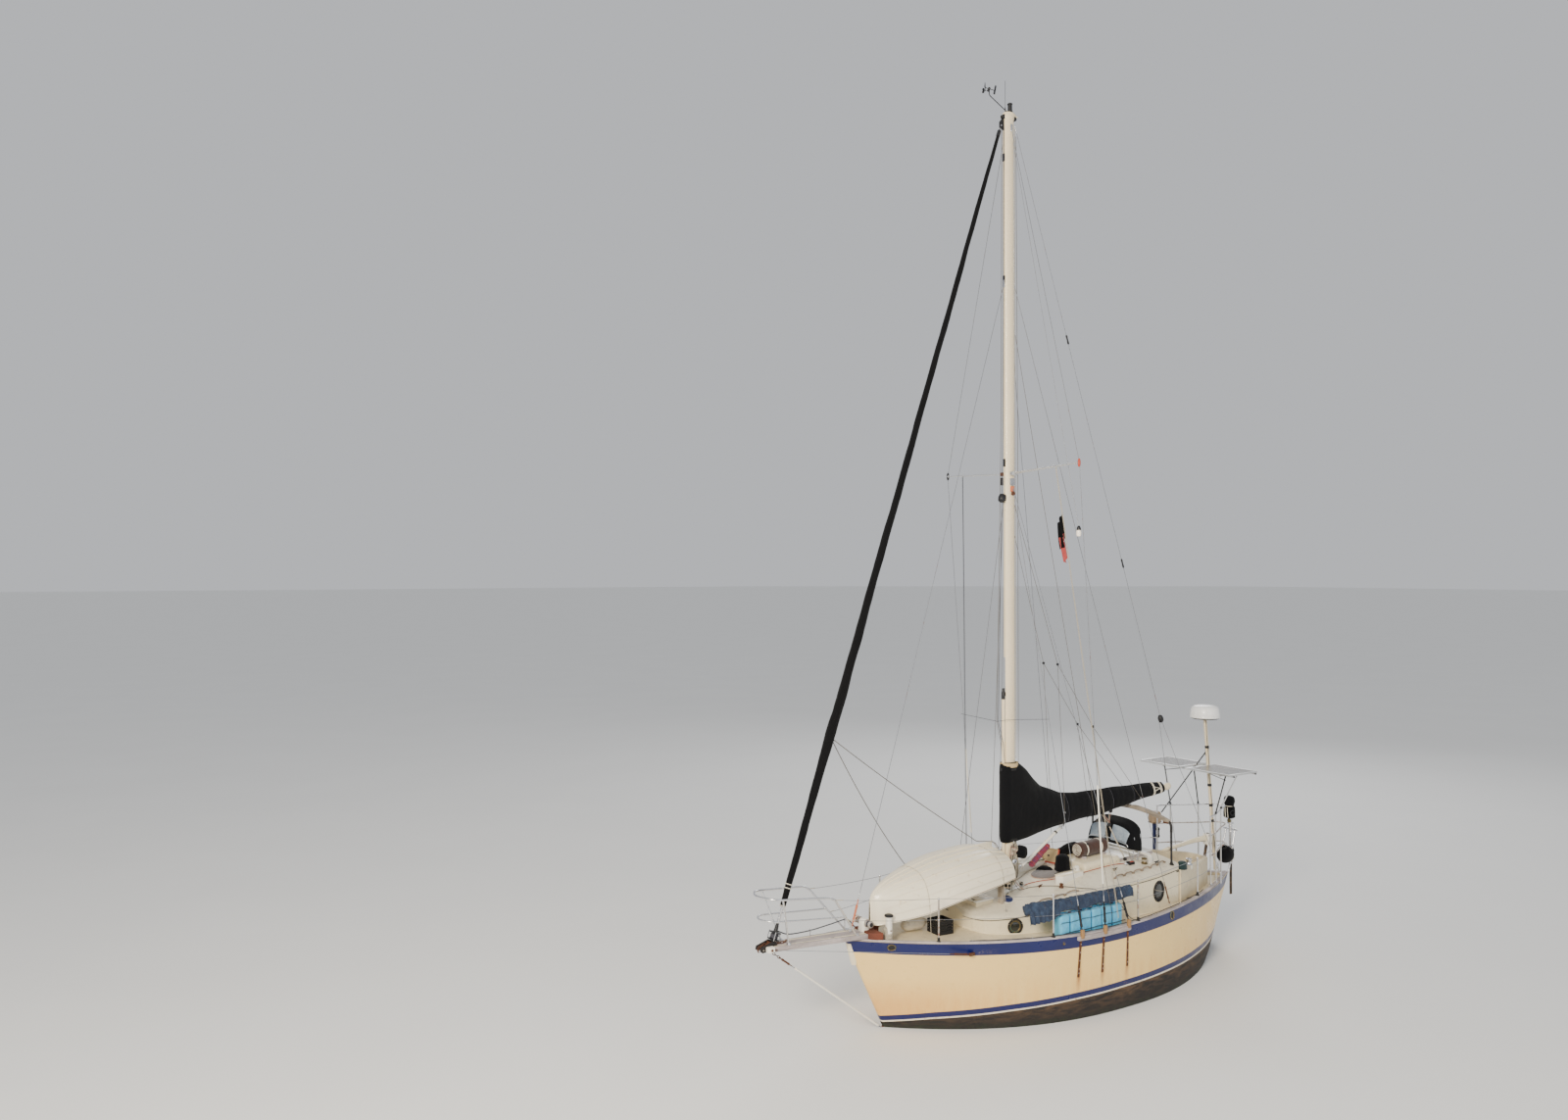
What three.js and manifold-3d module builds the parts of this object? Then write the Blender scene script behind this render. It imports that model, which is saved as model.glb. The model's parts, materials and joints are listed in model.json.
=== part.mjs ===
// Double-ended cruising cutter, about 8.3 m on deck.
// Millimetres. +X to the bow, +Y to port, +Z up. Origin on the waterline, on the
// centreline, amidships between the ends of the deck.
import * as THREE from 'three';
import { mergeVertices } from 'three/addons/utils/BufferGeometryUtils.js';
import Module from 'manifold-3d';

const wasm = await Module();
wasm.setup();

// ---------------------------------------------------------------- driving sizes
const LOD = 8300;                 // length on deck
const HALF = LOD / 2;
const GAP = 0.3;                  // clearance between pieces that touch
const BULWARK = 70;               // deck below the top of the bulwark
const BULWARK_T = 45;
const DECK_CAMBER = 40;
const SHEER = { half: 1403, tm: 0.449, p: 2.039, q: 1.984, zBow: 1347, zLow: 1220, zStern: 1136, tLow: 0.621 };
const CAP = { out: 12, inn: 58, t: 24 };
const WALL = 35;                  // cabin side
const ROOF_T = 35;
const ROOF_CROWN = 80;

const STOCK = { heel: [-2950, -1120], head: [-3660, 1900], r: 25, bore: 34 };   // x, z
const PROP = { x: -2895, z: -735, r: 172, hub: 36, blades: 3, shaft: 14 };
const MAST = { x: 1057, a: 95, b: 63.5, z0: 1660, z1: 13630 };
const GOOSE = { x: 900, z: 2450, pin: 8, eye: 9 };
const BOOM = { end: [-2640, 2835], a: 52, b: 42 };
const SPREADER = { z: 8040, half: 1450, rise: 60 };
const SPRIT = { x0: 3700, x1: 5400, z0: 1352, z1: 1430, t: 68, w0: 165, w1: 120 };
const HATCH = { x0: -1800, x1: -1020, half: 320, t: 28 };
const RADAR = { base: [-3955, -72, 1180], top: [-3720, -100, 3900], r: 25, dome: 255, h: 245 };

// ---------------------------------------------------------------- hull lines
const sheerT = x => (HALF - x) / LOD;
function sheerHalf(x) {
  const t = sheerT(x), s = t < SHEER.tm ? Math.pow((SHEER.tm - t) / SHEER.tm, SHEER.p)
    : Math.pow((t - SHEER.tm) / (1 - SHEER.tm), SHEER.q);
  return SHEER.half * (1 - Math.min(1, s));
}
function sheerZ(x) {
  const t = sheerT(x), s = t < SHEER.tLow ? (SHEER.tLow - t) / SHEER.tLow : (t - SHEER.tLow) / (1 - SHEER.tLow);
  return SHEER.zLow + ((t < SHEER.tLow ? SHEER.zBow : SHEER.zStern) - SHEER.zLow) * s * s;
}
const deckZ = (x, y = 0) => {
  const b = Math.max(60, sheerHalf(x));
  return sheerZ(x) - BULWARK + DECK_CAMBER * (1 - Math.min(1, (y / b) ** 2));
};
const stockX = z => STOCK.heel[0] + (z - STOCK.heel[1]) * (STOCK.head[0] - STOCK.heel[0]) / (STOCK.head[1] - STOCK.heel[1]);

// ---------------------------------------------------------------- mesh helpers
function geo(verts, tris) {
  const g = new THREE.BufferGeometry();
  g.setAttribute('position', new THREE.Float32BufferAttribute(verts.flat(), 3));
  g.setIndex(tris.flat());
  return g;
}
const signedVolume = g => {
  const p = g.attributes.position, ix = g.index; let v = 0;
  for (let i = 0; i < ix.count; i += 3) {
    const [a, b, c] = [0, 1, 2].map(k => new THREE.Vector3().fromBufferAttribute(p, ix.getX(i + k)));
    v += a.dot(b.cross(c));
  }
  return v / 6;
};
// rings: arrays of equal length, each a closed outline in space; ends are capped
function loft(rings, { closed = false, cap = 'fan' } = {}) {
  const n = rings[0].length, v = rings.flat(), t = [], m = rings.length;
  const last = closed ? m : m - 1;
  for (let i = 0; i < last; i++) for (let j = 0; j < n; j++) {
    const a = i * n + j, b = i * n + (j + 1) % n, c = ((i + 1) % m) * n + j, d = ((i + 1) % m) * n + (j + 1) % n;
    t.push([a, b, d], [a, d, c]);
  }
  if (!closed) for (const [o, s] of [[0, 1], [(m - 1) * n, -1]]) {
    const f = (a, b, c) => t.push(s > 0 ? [o + a, o + c, o + b] : [o + a, o + b, o + c]);
    if (cap === 'strip') for (let k = 0; k < n / 2 - 1; k++) { f(k, k + 1, n - 2 - k); f(k, n - 2 - k, n - 1 - k); }
    else for (let k = 1; k < n - 1; k++) f(0, k, k + 1);
  }
  const g = geo(v, t);
  if (signedVolume(g) < 0) g.setIndex(t.map(([a, b, c]) => [a, c, b]).flat());
  return g;
}
function man(g) {
  g = g.clone();
  for (const k of ['normal', 'uv']) if (g.attributes[k]) g.deleteAttribute(k);
  g = mergeVertices(g, 1e-3);
  return new wasm.Manifold(new wasm.Mesh({
    numProp: 3, vertProperties: new Float32Array(g.attributes.position.array),
    triVerts: new Uint32Array(g.index.array),
  }));
}
function unman(m) {
  const q = m.getMesh();
  const g = new THREE.BufferGeometry();
  g.setAttribute('position', new THREE.BufferAttribute(new Float32Array(q.vertProperties), 3));
  g.setIndex([...q.triVerts]);
  return g;
}
const M = g => (g.isBufferGeometry ? man(g) : g);
const join = (...gs) => gs.flat().map(M).reduce((a, b) => a.add(b));
const cut = (a, ...bs) => bs.flat().map(M).reduce((x, b) => x.subtract(b), M(a));
const box = (x0, x1, y0, y1, z0, z1) => new THREE.BoxGeometry(x1 - x0, y1 - y0, z1 - z0).translate((x0 + x1) / 2, (y0 + y1) / 2, (z0 + z1) / 2);
function rod(p, q, r, n = 8, r2 = r) {
  const a = new THREE.Vector3(...p), b = new THREE.Vector3(...q), d = b.clone().sub(a);
  const g = new THREE.CylinderGeometry(r2, r, d.length(), n);
  g.translate(0, d.length() / 2, 0);
  g.applyQuaternion(new THREE.Quaternion().setFromUnitVectors(new THREE.Vector3(0, 1, 0), d.normalize()));
  return g.translate(a.x, a.y, a.z);
}
// a curve through given points with mitred corners
class PolyPath extends THREE.Curve {
  constructor(pts) { super(); this.v = pts.map(p => new THREE.Vector3(...p)); }
  getPoint(t, out = new THREE.Vector3()) {
    const n = this.v.length - 1, f = Math.min(n - 1e-9, Math.max(0, t * n)), i = Math.floor(f);
    return out.copy(this.v[i]).lerp(this.v[i + 1], f - i);
  }
  getPointAt(u, out) { return this.getPoint(u, out); }
  getTangentAt(u, out = new THREE.Vector3()) {
    const n = this.v.length - 1, i = Math.round(u * n), v = this.v;
    const a = i > 0 ? v[i].clone().sub(v[i - 1]).normalize() : null;
    const b = i < n ? v[i + 1].clone().sub(v[i]).normalize() : null;
    return out.copy(a && b ? a.add(b) : (a || b)).normalize();
  }
  getTangent(u, out) { return this.getTangentAt(u, out); }
}
function tube(pts, r, n = 6) {
  const s = new THREE.Shape([...Array(n)].map((_, i) => new THREE.Vector2(r * Math.cos(2 * Math.PI * i / n), r * Math.sin(2 * Math.PI * i / n))));
  return new THREE.ExtrudeGeometry(s, { steps: pts.length - 1, extrudePath: new PolyPath(pts), bevelEnabled: false });
}
// outline of [a, b] pairs pushed along an axis: 'y' takes [x, z], 'z' takes [x, y], 'x' takes [y, z]
function slab(outline, axis, lo, hi) {
  const s = new THREE.Shape(outline.map(p => new THREE.Vector2(...p)));
  const g = new THREE.ExtrudeGeometry(s, { depth: hi - lo, bevelEnabled: false });
  if (axis === 'y') return g.rotateX(Math.PI / 2).translate(0, hi, 0);
  if (axis === 'x') return g.applyMatrix4(new THREE.Matrix4().makeBasis(new THREE.Vector3(0, 1, 0), new THREE.Vector3(0, 0, 1), new THREE.Vector3(1, 0, 0))).translate(lo, 0, 0);
  return g.translate(0, 0, lo);
}
const mirrorY = pts => pts.map(p => [p[0], -p[1], ...p.slice(2)]);
const lerp = (a, b, f) => a + (b - a) * f;
function table(rows, x) {            // rows [x, value] with x falling
  for (let i = 0; i < rows.length - 1; i++) if (x <= rows[i][0] && x >= rows[i + 1][0])
    return lerp(rows[i][1], rows[i + 1][1], (rows[i][0] - x) / (rows[i][0] - rows[i + 1][0]));
  return x > rows[0][0] ? rows[0][1] : rows[rows.length - 1][1];
}
const oval = (n, a, b) => [...Array(n)].map((_, i) => [a * Math.cos(2 * Math.PI * (i + 0.5) / n), b * Math.sin(2 * Math.PI * (i + 0.5) / n)]);

// ---------------------------------------------------------------- output group
const boat = new THREE.Group();
const LOOKS = {                      // colour, roughness, metalness
  gelcoat: [0xe9dcc0, 0.35, 0], deck: [0xe6e2d6, 0.6, 0], steel: [0xb9bcc0, 0.3, 0.9], wire: [0x6f7278, 0.45, 0.8],
  mast: [0xe8e3d6, 0.4, 0.1], canvas: [0x14151a, 0.9, 0], bronze: [0x7a6238, 0.45, 0.8], wood: [0x8a7a66, 0.7, 0],
  dinghy: [0xf0ece2, 0.4, 0], antifoul: [0x1b1c1e, 0.8, 0], can: [0x67b6d8, 0.5, 0], tarp: [0x23365a, 0.8, 0],
  brown: [0x3c211a, 0.85, 0], panel: [0x5a554f, 0.3, 0.1], white: [0xf3f1ea, 0.45, 0], iron: [0x2b2a2a, 0.6, 0.5],
};
function add(name, solid, look) {
  let g = solid.isBufferGeometry ? solid : unman(solid);
  const [c, r, m] = LOOKS[look];
  const mesh = new THREE.Mesh(g, new THREE.MeshStandardMaterial({ color: c, roughness: r, metalness: m }));
  mesh.name = name;
  boat.add(mesh);
  return mesh;
}

// ---------------------------------------------------------------- hull
// level columns: kind ('f' fraction of the sheer height, 'z' fixed height), height at the bow end,
// height at the stern end, x of stem, x of stern, half-breadth, place of greatest breadth, bow power,
// stern power, half thickness at the ends
const topside = f => ['f', f, f, 3490 + 660 * f, -3560 - 590 * Math.pow(f, 0.75), 1350 + 53 * f, 0.503 - 0.054 * f, 2.35 - 0.311 * f, 2.3 - 0.316 * f, 35];
const LEVELS = [
  topside(1), topside(0.865), topside(0.62), topside(0.32), topside(0.1), topside(0),
  ['z', -180, -180, 3330, -3420, 1285, 0.500, 2.10, 2.10, 38],
  ['z', -340, -330, 3090, -3056, 1120, 0.490, 1.90, 1.80, 42],
  ['z', -560, -540, 2640, -3006, 760, 0.470, 1.60, 1.50, 50],
  ['z', -760, -740, 2080, -2959, 330, 0.460, 1.30, 1.30, 55],
  ['z', -930, -960, 1500, -2908, 140, 0.500, 1.60, 1.60, 60],
  ['z', -1010, -1220, 1080, -2850, 118, 0.500, 2.20, 2.20, 60],
];
const STATIONS = 24;
const hullRing = u => {
  const side = LEVELS.map(([kind, zb, zs, xb, xs, hb, tm, p, q, e]) => {
    const x = lerp(xb, xs, u), s = u < tm ? Math.pow((tm - u) / tm, p) : Math.pow((u - tm) / (1 - tm), q);
    const z = kind === 'f' ? zb * sheerZ(x) : lerp(zb, zs, u);
    return [x, e + (hb - e) * (1 - s), z];
  });
  return [...side, ...mirrorY(side).reverse()];
};
const us = [...Array(STATIONS)].map((_, i) => { const k = i / (STATIONS - 1); return 0.55 * k + 0.45 * (0.5 - 0.5 * Math.cos(Math.PI * k)); });
const hullSolid = man(loft(us.map(hullRing), { cap: 'strip' }));

// plan slab bounded by the sheer line moved by off; zb and zt are functions of x and y
function sheerSlab(off, zb, zt, x0, x1, n = 22, min = 8) {
  const xs = [...Array(n)].map((_, i) => lerp(x0, x1, 0.5 - 0.5 * Math.cos(Math.PI * i / (n - 1))));
  return loft(xs.map(x => {
    const h = Math.max(min, sheerHalf(x) + off), ys = [-1, -0.5, 0, 0.5, 1].map(k => k * h);
    return [...ys.map(y => [x, y, zb(x, y)]), [x, h, zt(x, h)], [x, -h, zt(x, -h)]];
  }));
}
const deckWell = sheerSlab(-BULWARK_T, (x, y) => deckZ(x, y), () => 1500, 4045, -4050);
// inside of the cabin, below the deck: columns x, half width at sole, half width at deck
const INNER = [[1950, 260, 420], [1500, 480, 640], [600, 720, 880], [-600, 760, 930], [-1300, 640, 880], [-1760, 520, 790]];
const SOLE = -430;
const cabinVoid = loft(INNER.map(([x, a, b]) => [[x, -a, SOLE], [x, a, SOLE], [x, b, 500], [x, b, 1400], [x, -b, 1400], [x, -b, 500]]));
// cockpit well: x, half width, and its sole height
const WELL = { z: 720, rows: [[-1990, 350], [-2300, 360], [-2800, 300], [-3020, 240]] };
const cockpitVoid = loft(WELL.rows.map(([x, w]) => [[x, -w + 25, WELL.z], [x, w - 25, WELL.z], [x, w, 1400], [x, -w, 1400]]));
const apertureCut = slab([[-3150, -950], [-3150, -520], [-2850, -520], [-2790, -600], [-2790, -870], [-2850, -950]], 'y', -400, 400);
const boreCut = rod([stockX(-700), 0, -700], [stockX(1500), 0, 1500], STOCK.bore, 16);
const shaftBore = rod([-2660, 0, PROP.z], [-2900, 0, PROP.z], 22, 12);
const hull = cut(hullSolid, deckWell, cabinVoid, cockpitVoid, apertureCut, boreCut, shaftBore);
add('hull', hull, 'gelcoat');
const hullUp = hull.translate([0, 0, GAP]);
const seat = (...g) => cut(join(...g), hullUp);          // trims a piece to the deck below it

// rail cap: outer slab less inner slab
const capTop = x => sheerZ(x) + CAP.t;
const capOuter = sheerSlab(CAP.out, x => sheerZ(x) + 1, x => capTop(x), 4160, -4160, 24, 45);
const capInner = sheerSlab(-CAP.inn, () => 1000, () => 1500, 4010, -4020, 24);
add('cap_rail', cut(capOuter, capInner), 'wood');

// ---------------------------------------------------------------- cabin trunk
// plan of the cabin side, columns x, half width
const TRUNK = [[2150, 160], [2120, 360], [2050, 520], [1880, 650], [1650, 752], [1250, 850], [800, 925], [300, 975], [-200, 998], [-700, 998], [-1200, 968], [-1800, 868], [-1830, 820]];
const EDGE = [[2160, 1465], [1650, 1500], [1000, 1560], [-200, 1720], [-1200, 1768], [-1860, 1795]];     // x, height of the roof edge
const trunkHalf = x => table(TRUNK, x);
const roofZ = (x, y = 0) => table(EDGE, x) + ROOF_CROWN * (1 - Math.min(1, (y / Math.max(200, trunkHalf(x))) ** 2));
const trunkOutline = off => {          // plan outline moved in or out along its normals
  const side = TRUNK.map(([x, y], i) => {
    const a = TRUNK[Math.max(0, i - 1)], b = TRUNK[Math.min(TRUNK.length - 1, i + 1)];
    const tx = b[0] - a[0], ty = b[1] - a[1], tl = Math.hypot(tx, ty);
    return [x + off * (ty / tl), y + off * (-tx / tl)];
  });
  return [...side, ...mirrorY(side).reverse()];
};
// roof section from z = lo(x, y) to z = hi(x, y), with flat wings of width w beyond the edge
const roofRing = (x, h, lo, hi, w = 0) => {
  const ys = [-1, -0.66, -0.33, 0, 0.33, 0.66, 1].map(k => k * h), all = w ? [ys[0] - w, ...ys, ys[6] + w] : ys;
  return [...all.map(y => [x, y, lo(x, y)]), ...all.slice().reverse().map(y => [x, y, hi(x, y)])];
};
const ROOF_XS = [2150, 2120, 2050, 1880, 1650, 1250, 1000, 300, -200, -700, -1200, -1800, -1830];
const LIP = 14;
function roofSpan(lo, hi, w = 0, more = 0) {
  const rings = ROOF_XS.map((x, i) => {
    const dx = i === 0 ? LIP : i === ROOF_XS.length - 1 ? -LIP : 0;
    return roofRing(x, trunkHalf(x) + LIP, lo, hi, w).map(p => [p[0] + dx, p[1], p[2]]);
  });
  if (!more) return loft(rings);
  return loft([rings[0].map(p => [p[0] + more, p[1], p[2]]), ...rings, rings[rings.length - 1].map(p => [p[0] - more, p[1], p[2]])]);
}
const roofSlab = roofSpan((x, y) => roofZ(x, y) - ROOF_T, roofZ);
const aboveRoof = roofSpan((x, y) => roofZ(x, y) - ROOF_T - GAP, () => 2400, 60, 40);
const underRoof = man(roofSpan(() => 800, (x, y) => roofZ(x, y) + GAP));
const onRoof = (...g) => cut(join(...g), underRoof);
const outer = slab(trunkOutline(0), 'z', 1000, 1950), inner = slab(trunkOutline(-WALL), 'z', 900, 2000);
// portlights: columns x, height, half width, half height
const PORTS = [[1650, 1320, 100, 100], [300, 1400, 100, 100], [-1210, 1465, 125, 150]];
const portCuts = PORTS.map(([x, z, a, b]) => slab(oval(16, a, b).map(([p, q]) => [x + p, z + q]), 'y', -1200, 1200));
const doorway = box(-1900, -1750, -300, 300, 1260, 1950);
const roofBody = cut(roofSlab, box(HATCH.x0 + 30, HATCH.x1 - 60, -280, 280, 1400, 2100));
add('cabin_trunk', cut(cut(outer, inner), aboveRoof, hullUp, doorway, ...portCuts), 'gelcoat');
// hatch: sliding lid over the companionway, on two runners, and the hood it slides into
const hatchZ = x => roofZ(x) + 14;
add('companionway_hatch', loft([HATCH.x1, -1400, HATCH.x0 - 20].map(x => {
  const z = hatchZ(x);
  return [[x, -HATCH.half, z - 4], [x, HATCH.half, z - 4], [x, HATCH.half, z + 14], [x, 160, z + HATCH.t], [x, -160, z + HATCH.t], [x, -HATCH.half, z + 14]];
})), 'white');
const hoodRing = (x, inn) => {
  const w = inn ? 352 : 384, top = roofZ(x) + (inn ? 62 : 92), bot = roofZ(x, w) - (inn ? 60 : 60);
  return [[x, -w, bot], [x, w, bot], [x, w, top - 22], [x, w - 60, top], [x, -w + 60, top], [x, -w, top - 22]];
};
const hood = cut(loft([-190, -975].map(x => hoodRing(x, false))), loft([-225, -1100].map(x => hoodRing(x, true))), underRoof);
// two runners that the lid slides on, joined to the sides of the hood
const runner = y => loft([-600, -1790].map(x => [[x, y - 12, roofZ(x, y) - 25], [x, y + 12, roofZ(x, y) - 25], [x, y + 12, roofZ(x) + 22], [x, y - 12, roofZ(x) + 22]]));
add('sea_hood', cut(join(hood, runner(342), runner(-342)), underRoof), 'gelcoat');
const dorade = (x, y) => join(box(x - 150, x + 150, y - 150, y + 150, roofZ(x, y) - 20, 1765), rod([x, y, 1750], [x, y, 1840], 45, 12));
add('coach_roof', join(roofBody, dorade(90, 470), dorade(90, -470)), 'deck');
add('washboards', box(-1818, -1796, -299, 299, 1261, 1790), 'wood');

// ---------------------------------------------------------------- cockpit coaming
const COAM = { x0: -1862, x1: -3410, t: 55 };
const coamHalf = x => sheerHalf(x) - 185 - 30 * (COAM.x0 - x) / 1548;
const coamPath = [COAM.x0, -2150, -2500, -2800, -3050, -3230, -3340].map(x => [x, coamHalf(x)]);
const coamLine = [...coamPath, [COAM.x1, 90], [COAM.x1, -90], ...mirrorY(coamPath).reverse()];
const coamTop = x => lerp(1690, 1560, Math.min(1, (COAM.x0 - x) / 1548) ** 1.2);
const coamRings = coamLine.map(([x, y], i) => {
  const a = coamLine[Math.max(0, i - 1)], b = coamLine[Math.min(coamLine.length - 1, i + 1)];
  const tx = b[0] - a[0], ty = b[1] - a[1], l = Math.hypot(tx, ty), nx = ty / l, ny = -tx / l, o = COAM.t;
  const zt = coamTop(x);
  return [[x, y, 1000], [x - nx * o, y - ny * o, 1000], [x - nx * o, y - ny * o, zt], [x, y, zt]];
});
add('cockpit_coaming', cut(loft(coamRings), hullUp), 'gelcoat');

// ---------------------------------------------------------------- rudder and tiller
const ax = new THREE.Vector3(STOCK.head[0] - STOCK.heel[0], 0, STOCK.head[1] - STOCK.heel[1]);
const AXL = ax.length(); ax.normalize();
const aft = new THREE.Vector3(-ax.z, 0, ax.x);                 // across the stock, towards the stern
const onStock = (r, y, h) => [STOCK.heel[0] + aft.x * r + ax.x * h, y, STOCK.heel[1] + aft.z * r + ax.z * h];
// blade sections, columns: height on the stock, slope of the section, trailing edge
const BLADE = [[30, 0.05, 430], [140, 0.02, 490], [450, 0, 520], [700, 0.05, 490], [785, 0.2, 440]];
const blade = loft(BLADE.map(([h, s, te]) => [[-42, 0], [-30, 28], [0, 40], [120, 38], [300, 25], [te, 8], [te, -8], [300, -25], [120, -38], [0, -40], [-30, -28]]
  .map(([r, y]) => onStock(r, y, h + s * Math.max(0, r)))));
add('rudder', join(blade, rod(onStock(0, 0, 600), onStock(0, 0, AXL), STOCK.r, 12), rod(onStock(0, 0, -14), onStock(0, 0, 200), 16, 10)), 'antifoul');
const heelPad = cut(join(box(-3040, -2600, -48, 48, -1262, -1200), rod([-2850, 0, -1240], [-3000, 0, -1200], 30, 8)), rod(onStock(0, 0, -60), onStock(0, 0, 260), 19, 12), slab([[-3200, -1128], [-3200, -900], [-2860, -900], [-2860, -1128]], 'y', -90, 90));
add('rudder_heel', cut(heelPad, hullSolid.translate([0, 0, -GAP])), 'bronze');
const TILL = { head: [-3644, 1800], tip: [-2470, 1742] };
const tillerHead = cut(join(box(-3720, -3590, -48, 48, 1700, 1895)), rod(onStock(0, 0, AXL - 500), onStock(0, 0, AXL + GAP), STOCK.r + GAP, 12));
const tillerBar = loft([[-3600, 1822, 44, 50], [-3300, 1815, 40, 44], [-2900, 1780, 34, 36], [-2480, 1745, 28, 28]].map(([x, z, w, h]) => oval(10, w, h).map(([p, q]) => [x, p, z + q])));
add('tiller', join(tillerHead, tillerBar), 'wood');

// ---------------------------------------------------------------- propeller and shaft
const bladeShape = new THREE.Shape([[0, 20], [30, 56], [46, 100], [40, 148], [10, PROP.r], [-26, 156], [-44, 110], [-32, 60]].map(p => new THREE.Vector2(...p)));
const propBlades = [...Array(PROP.blades)].map((_, i) => new THREE.ExtrudeGeometry(bladeShape, { depth: 10, bevelEnabled: false }).translate(0, 0, -5)
  .rotateY(Math.PI / 2 - 0.6).rotateX(i * 2 * Math.PI / PROP.blades).translate(PROP.x, 0, PROP.z));
add('propeller', join(rod([-2680, 0, PROP.z], [-2960, 0, PROP.z], PROP.shaft, 10), rod([PROP.x + 38, 0, PROP.z], [PROP.x - 38, 0, PROP.z], PROP.hub, 12), ...propBlades), 'bronze');

// ---------------------------------------------------------------- bow platform, rollers, pulpit
const spritZ = x => lerp(SPRIT.z0, SPRIT.z1, (SPRIT.x0 - x) / (SPRIT.x0 - SPRIT.x1));
const spritRing = x => {
  const w = lerp(SPRIT.w0, SPRIT.w1, (x - SPRIT.x0) / (SPRIT.x1 - SPRIT.x0)), z = spritZ(x);
  return [[x, -w, z], [x, w, z], [x, w, z + SPRIT.t], [x, -w, z + SPRIT.t]];
};
const sprit = man(loft([SPRIT.x0, SPRIT.x1].map(spritRing)));
const underSprit = loft([3400, 5700].map(x => { const z = spritZ(x) + SPRIT.t + GAP; return [[x, -500, 900], [x, 500, 900], [x, 500, z], [x, -500, z]]; }));
const onSprit = (...g) => cut(join(...g), underSprit);
add('bowsprit_platform', sprit, 'white');
const rollerFrame = [1, -1].map(s => slab([[5330, 1440], [5560, 1420], [5600, 1450], [5590, 1500], [5400, 1560], [5330, 1530]], 'y', s * 62 - 5, s * 62 + 5));
const bowRoller = cut(join(...rollerFrame, box(5401, 5425, -66, 66, 1425, 1540), rod([5545, -66, 1462], [5545, 66, 1462], 32, 10)), sprit.translate([0, 0, GAP]), sprit.translate([GAP, 0, 0]));
add('bow_roller', bowRoller, 'iron');
const PUL = 15;
const bend = (p, q, r, d = 60) => {        // short chamfer at corner q between p and r
  const v = (a, b) => { const t = new THREE.Vector3(...b).sub(new THREE.Vector3(...a)); return t.normalize(); };
  const a = v(q, p), b = v(q, r);
  return [[q[0] + a.x * d, q[1] + a.y * d, q[2] + a.z * d], [q[0] + b.x * d, q[1] + b.y * d, q[2] + b.z * d]];
};
function rounded(pts, d = 60) {
  const out = [pts[0]];
  for (let i = 1; i < pts.length - 1; i++) out.push(...bend(pts[i - 1], pts[i], pts[i + 1], d));
  out.push(pts[pts.length - 1]);
  return out;
}
const upper = rounded([[4050, 128, 1400], [4600, 340, 2090], [5500, 270, 2170], [5640, 0, 2185], [5500, -270, 2170], [4600, -340, 2090], [4050, -128, 1400]], 80);
const lower = rounded([[4335, 238, 1758], [5480, 190, 1858], [5600, 0, 1868], [5480, -190, 1858], [4335, -238, 1758]], 70);
add('pulpit', onSprit(tube(upper, PUL, 6), tube(lower, 11), ...[1, -1].map(s => tube([[5170, s * 100, 1420], [5370, s * 281, 2158]], 12))), 'steel');
add('bobstay', join(rod([5392, 0, 1395], [5040, 0, 1117], 6, 6), rod([5050, 0, 1125], [3560, 0, 12], 15, 8), rod([3570, 0, 20], [3512, 0, -24], 20, 8)), 'steel');
for (const [side, s] of [['port', 1], ['starboard', -1]])
  add('whisker_stay_' + side, join(rod([5380, s * 128, 1452], [2660, s * 948, 1150], 4, 6), rod([2980, s * 852, 1186], [2670, s * 945, 1151], 11, 6)), 'wire');

// ---------------------------------------------------------------- mast and standing rigging
const mastShape = (a, b, z0, z1) => loft([z0, z1].map(z => oval(14, a, b).map(([p, q]) => [MAST.x + p, q, z])));
const mastBody = man(mastShape(MAST.a, MAST.b, MAST.z0, MAST.z1));
const step = box(MAST.x - 130, MAST.x + 130, -105, 105, 1500, MAST.z0 + 12);
add('mast', join(mastBody, onRoof(step)), 'mast');
const mastKeep = man(mastShape(MAST.a + GAP, MAST.b + GAP, MAST.z0 + 20, MAST.z1 + GAP));
add('masthead_fitting', cut(join(box(900, 1215, -42, 42, 13480, 13560), box(900, 1215, -20, 20, 13560, 13650), box(925, 1190, -75, 75, MAST.z1 + 1, MAST.z1 + 22), rod([1150, 0, 13640], [1150, 0, 13720], 28, 8)), mastKeep), 'mast');
const spreader = join(...[1, -1].map(s => loft([[MAST.b - 8, 30, 12, 0], [SPREADER.half, 18, 9, SPREADER.rise]].map(([y, a, b, dz]) => oval(8, a, b).map(([p, q]) => [MAST.x + p, s * y, SPREADER.z + dz + q])))),
  cut(slab(oval(14, MAST.a + 9, MAST.b + 9).map(([p, q]) => [MAST.x + p, q]), 'z', SPREADER.z - 45, SPREADER.z + 45), mastKeep));
const spreaderM = cut(spreader, mastKeep);
add('spreaders', spreaderM, 'mast');
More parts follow.
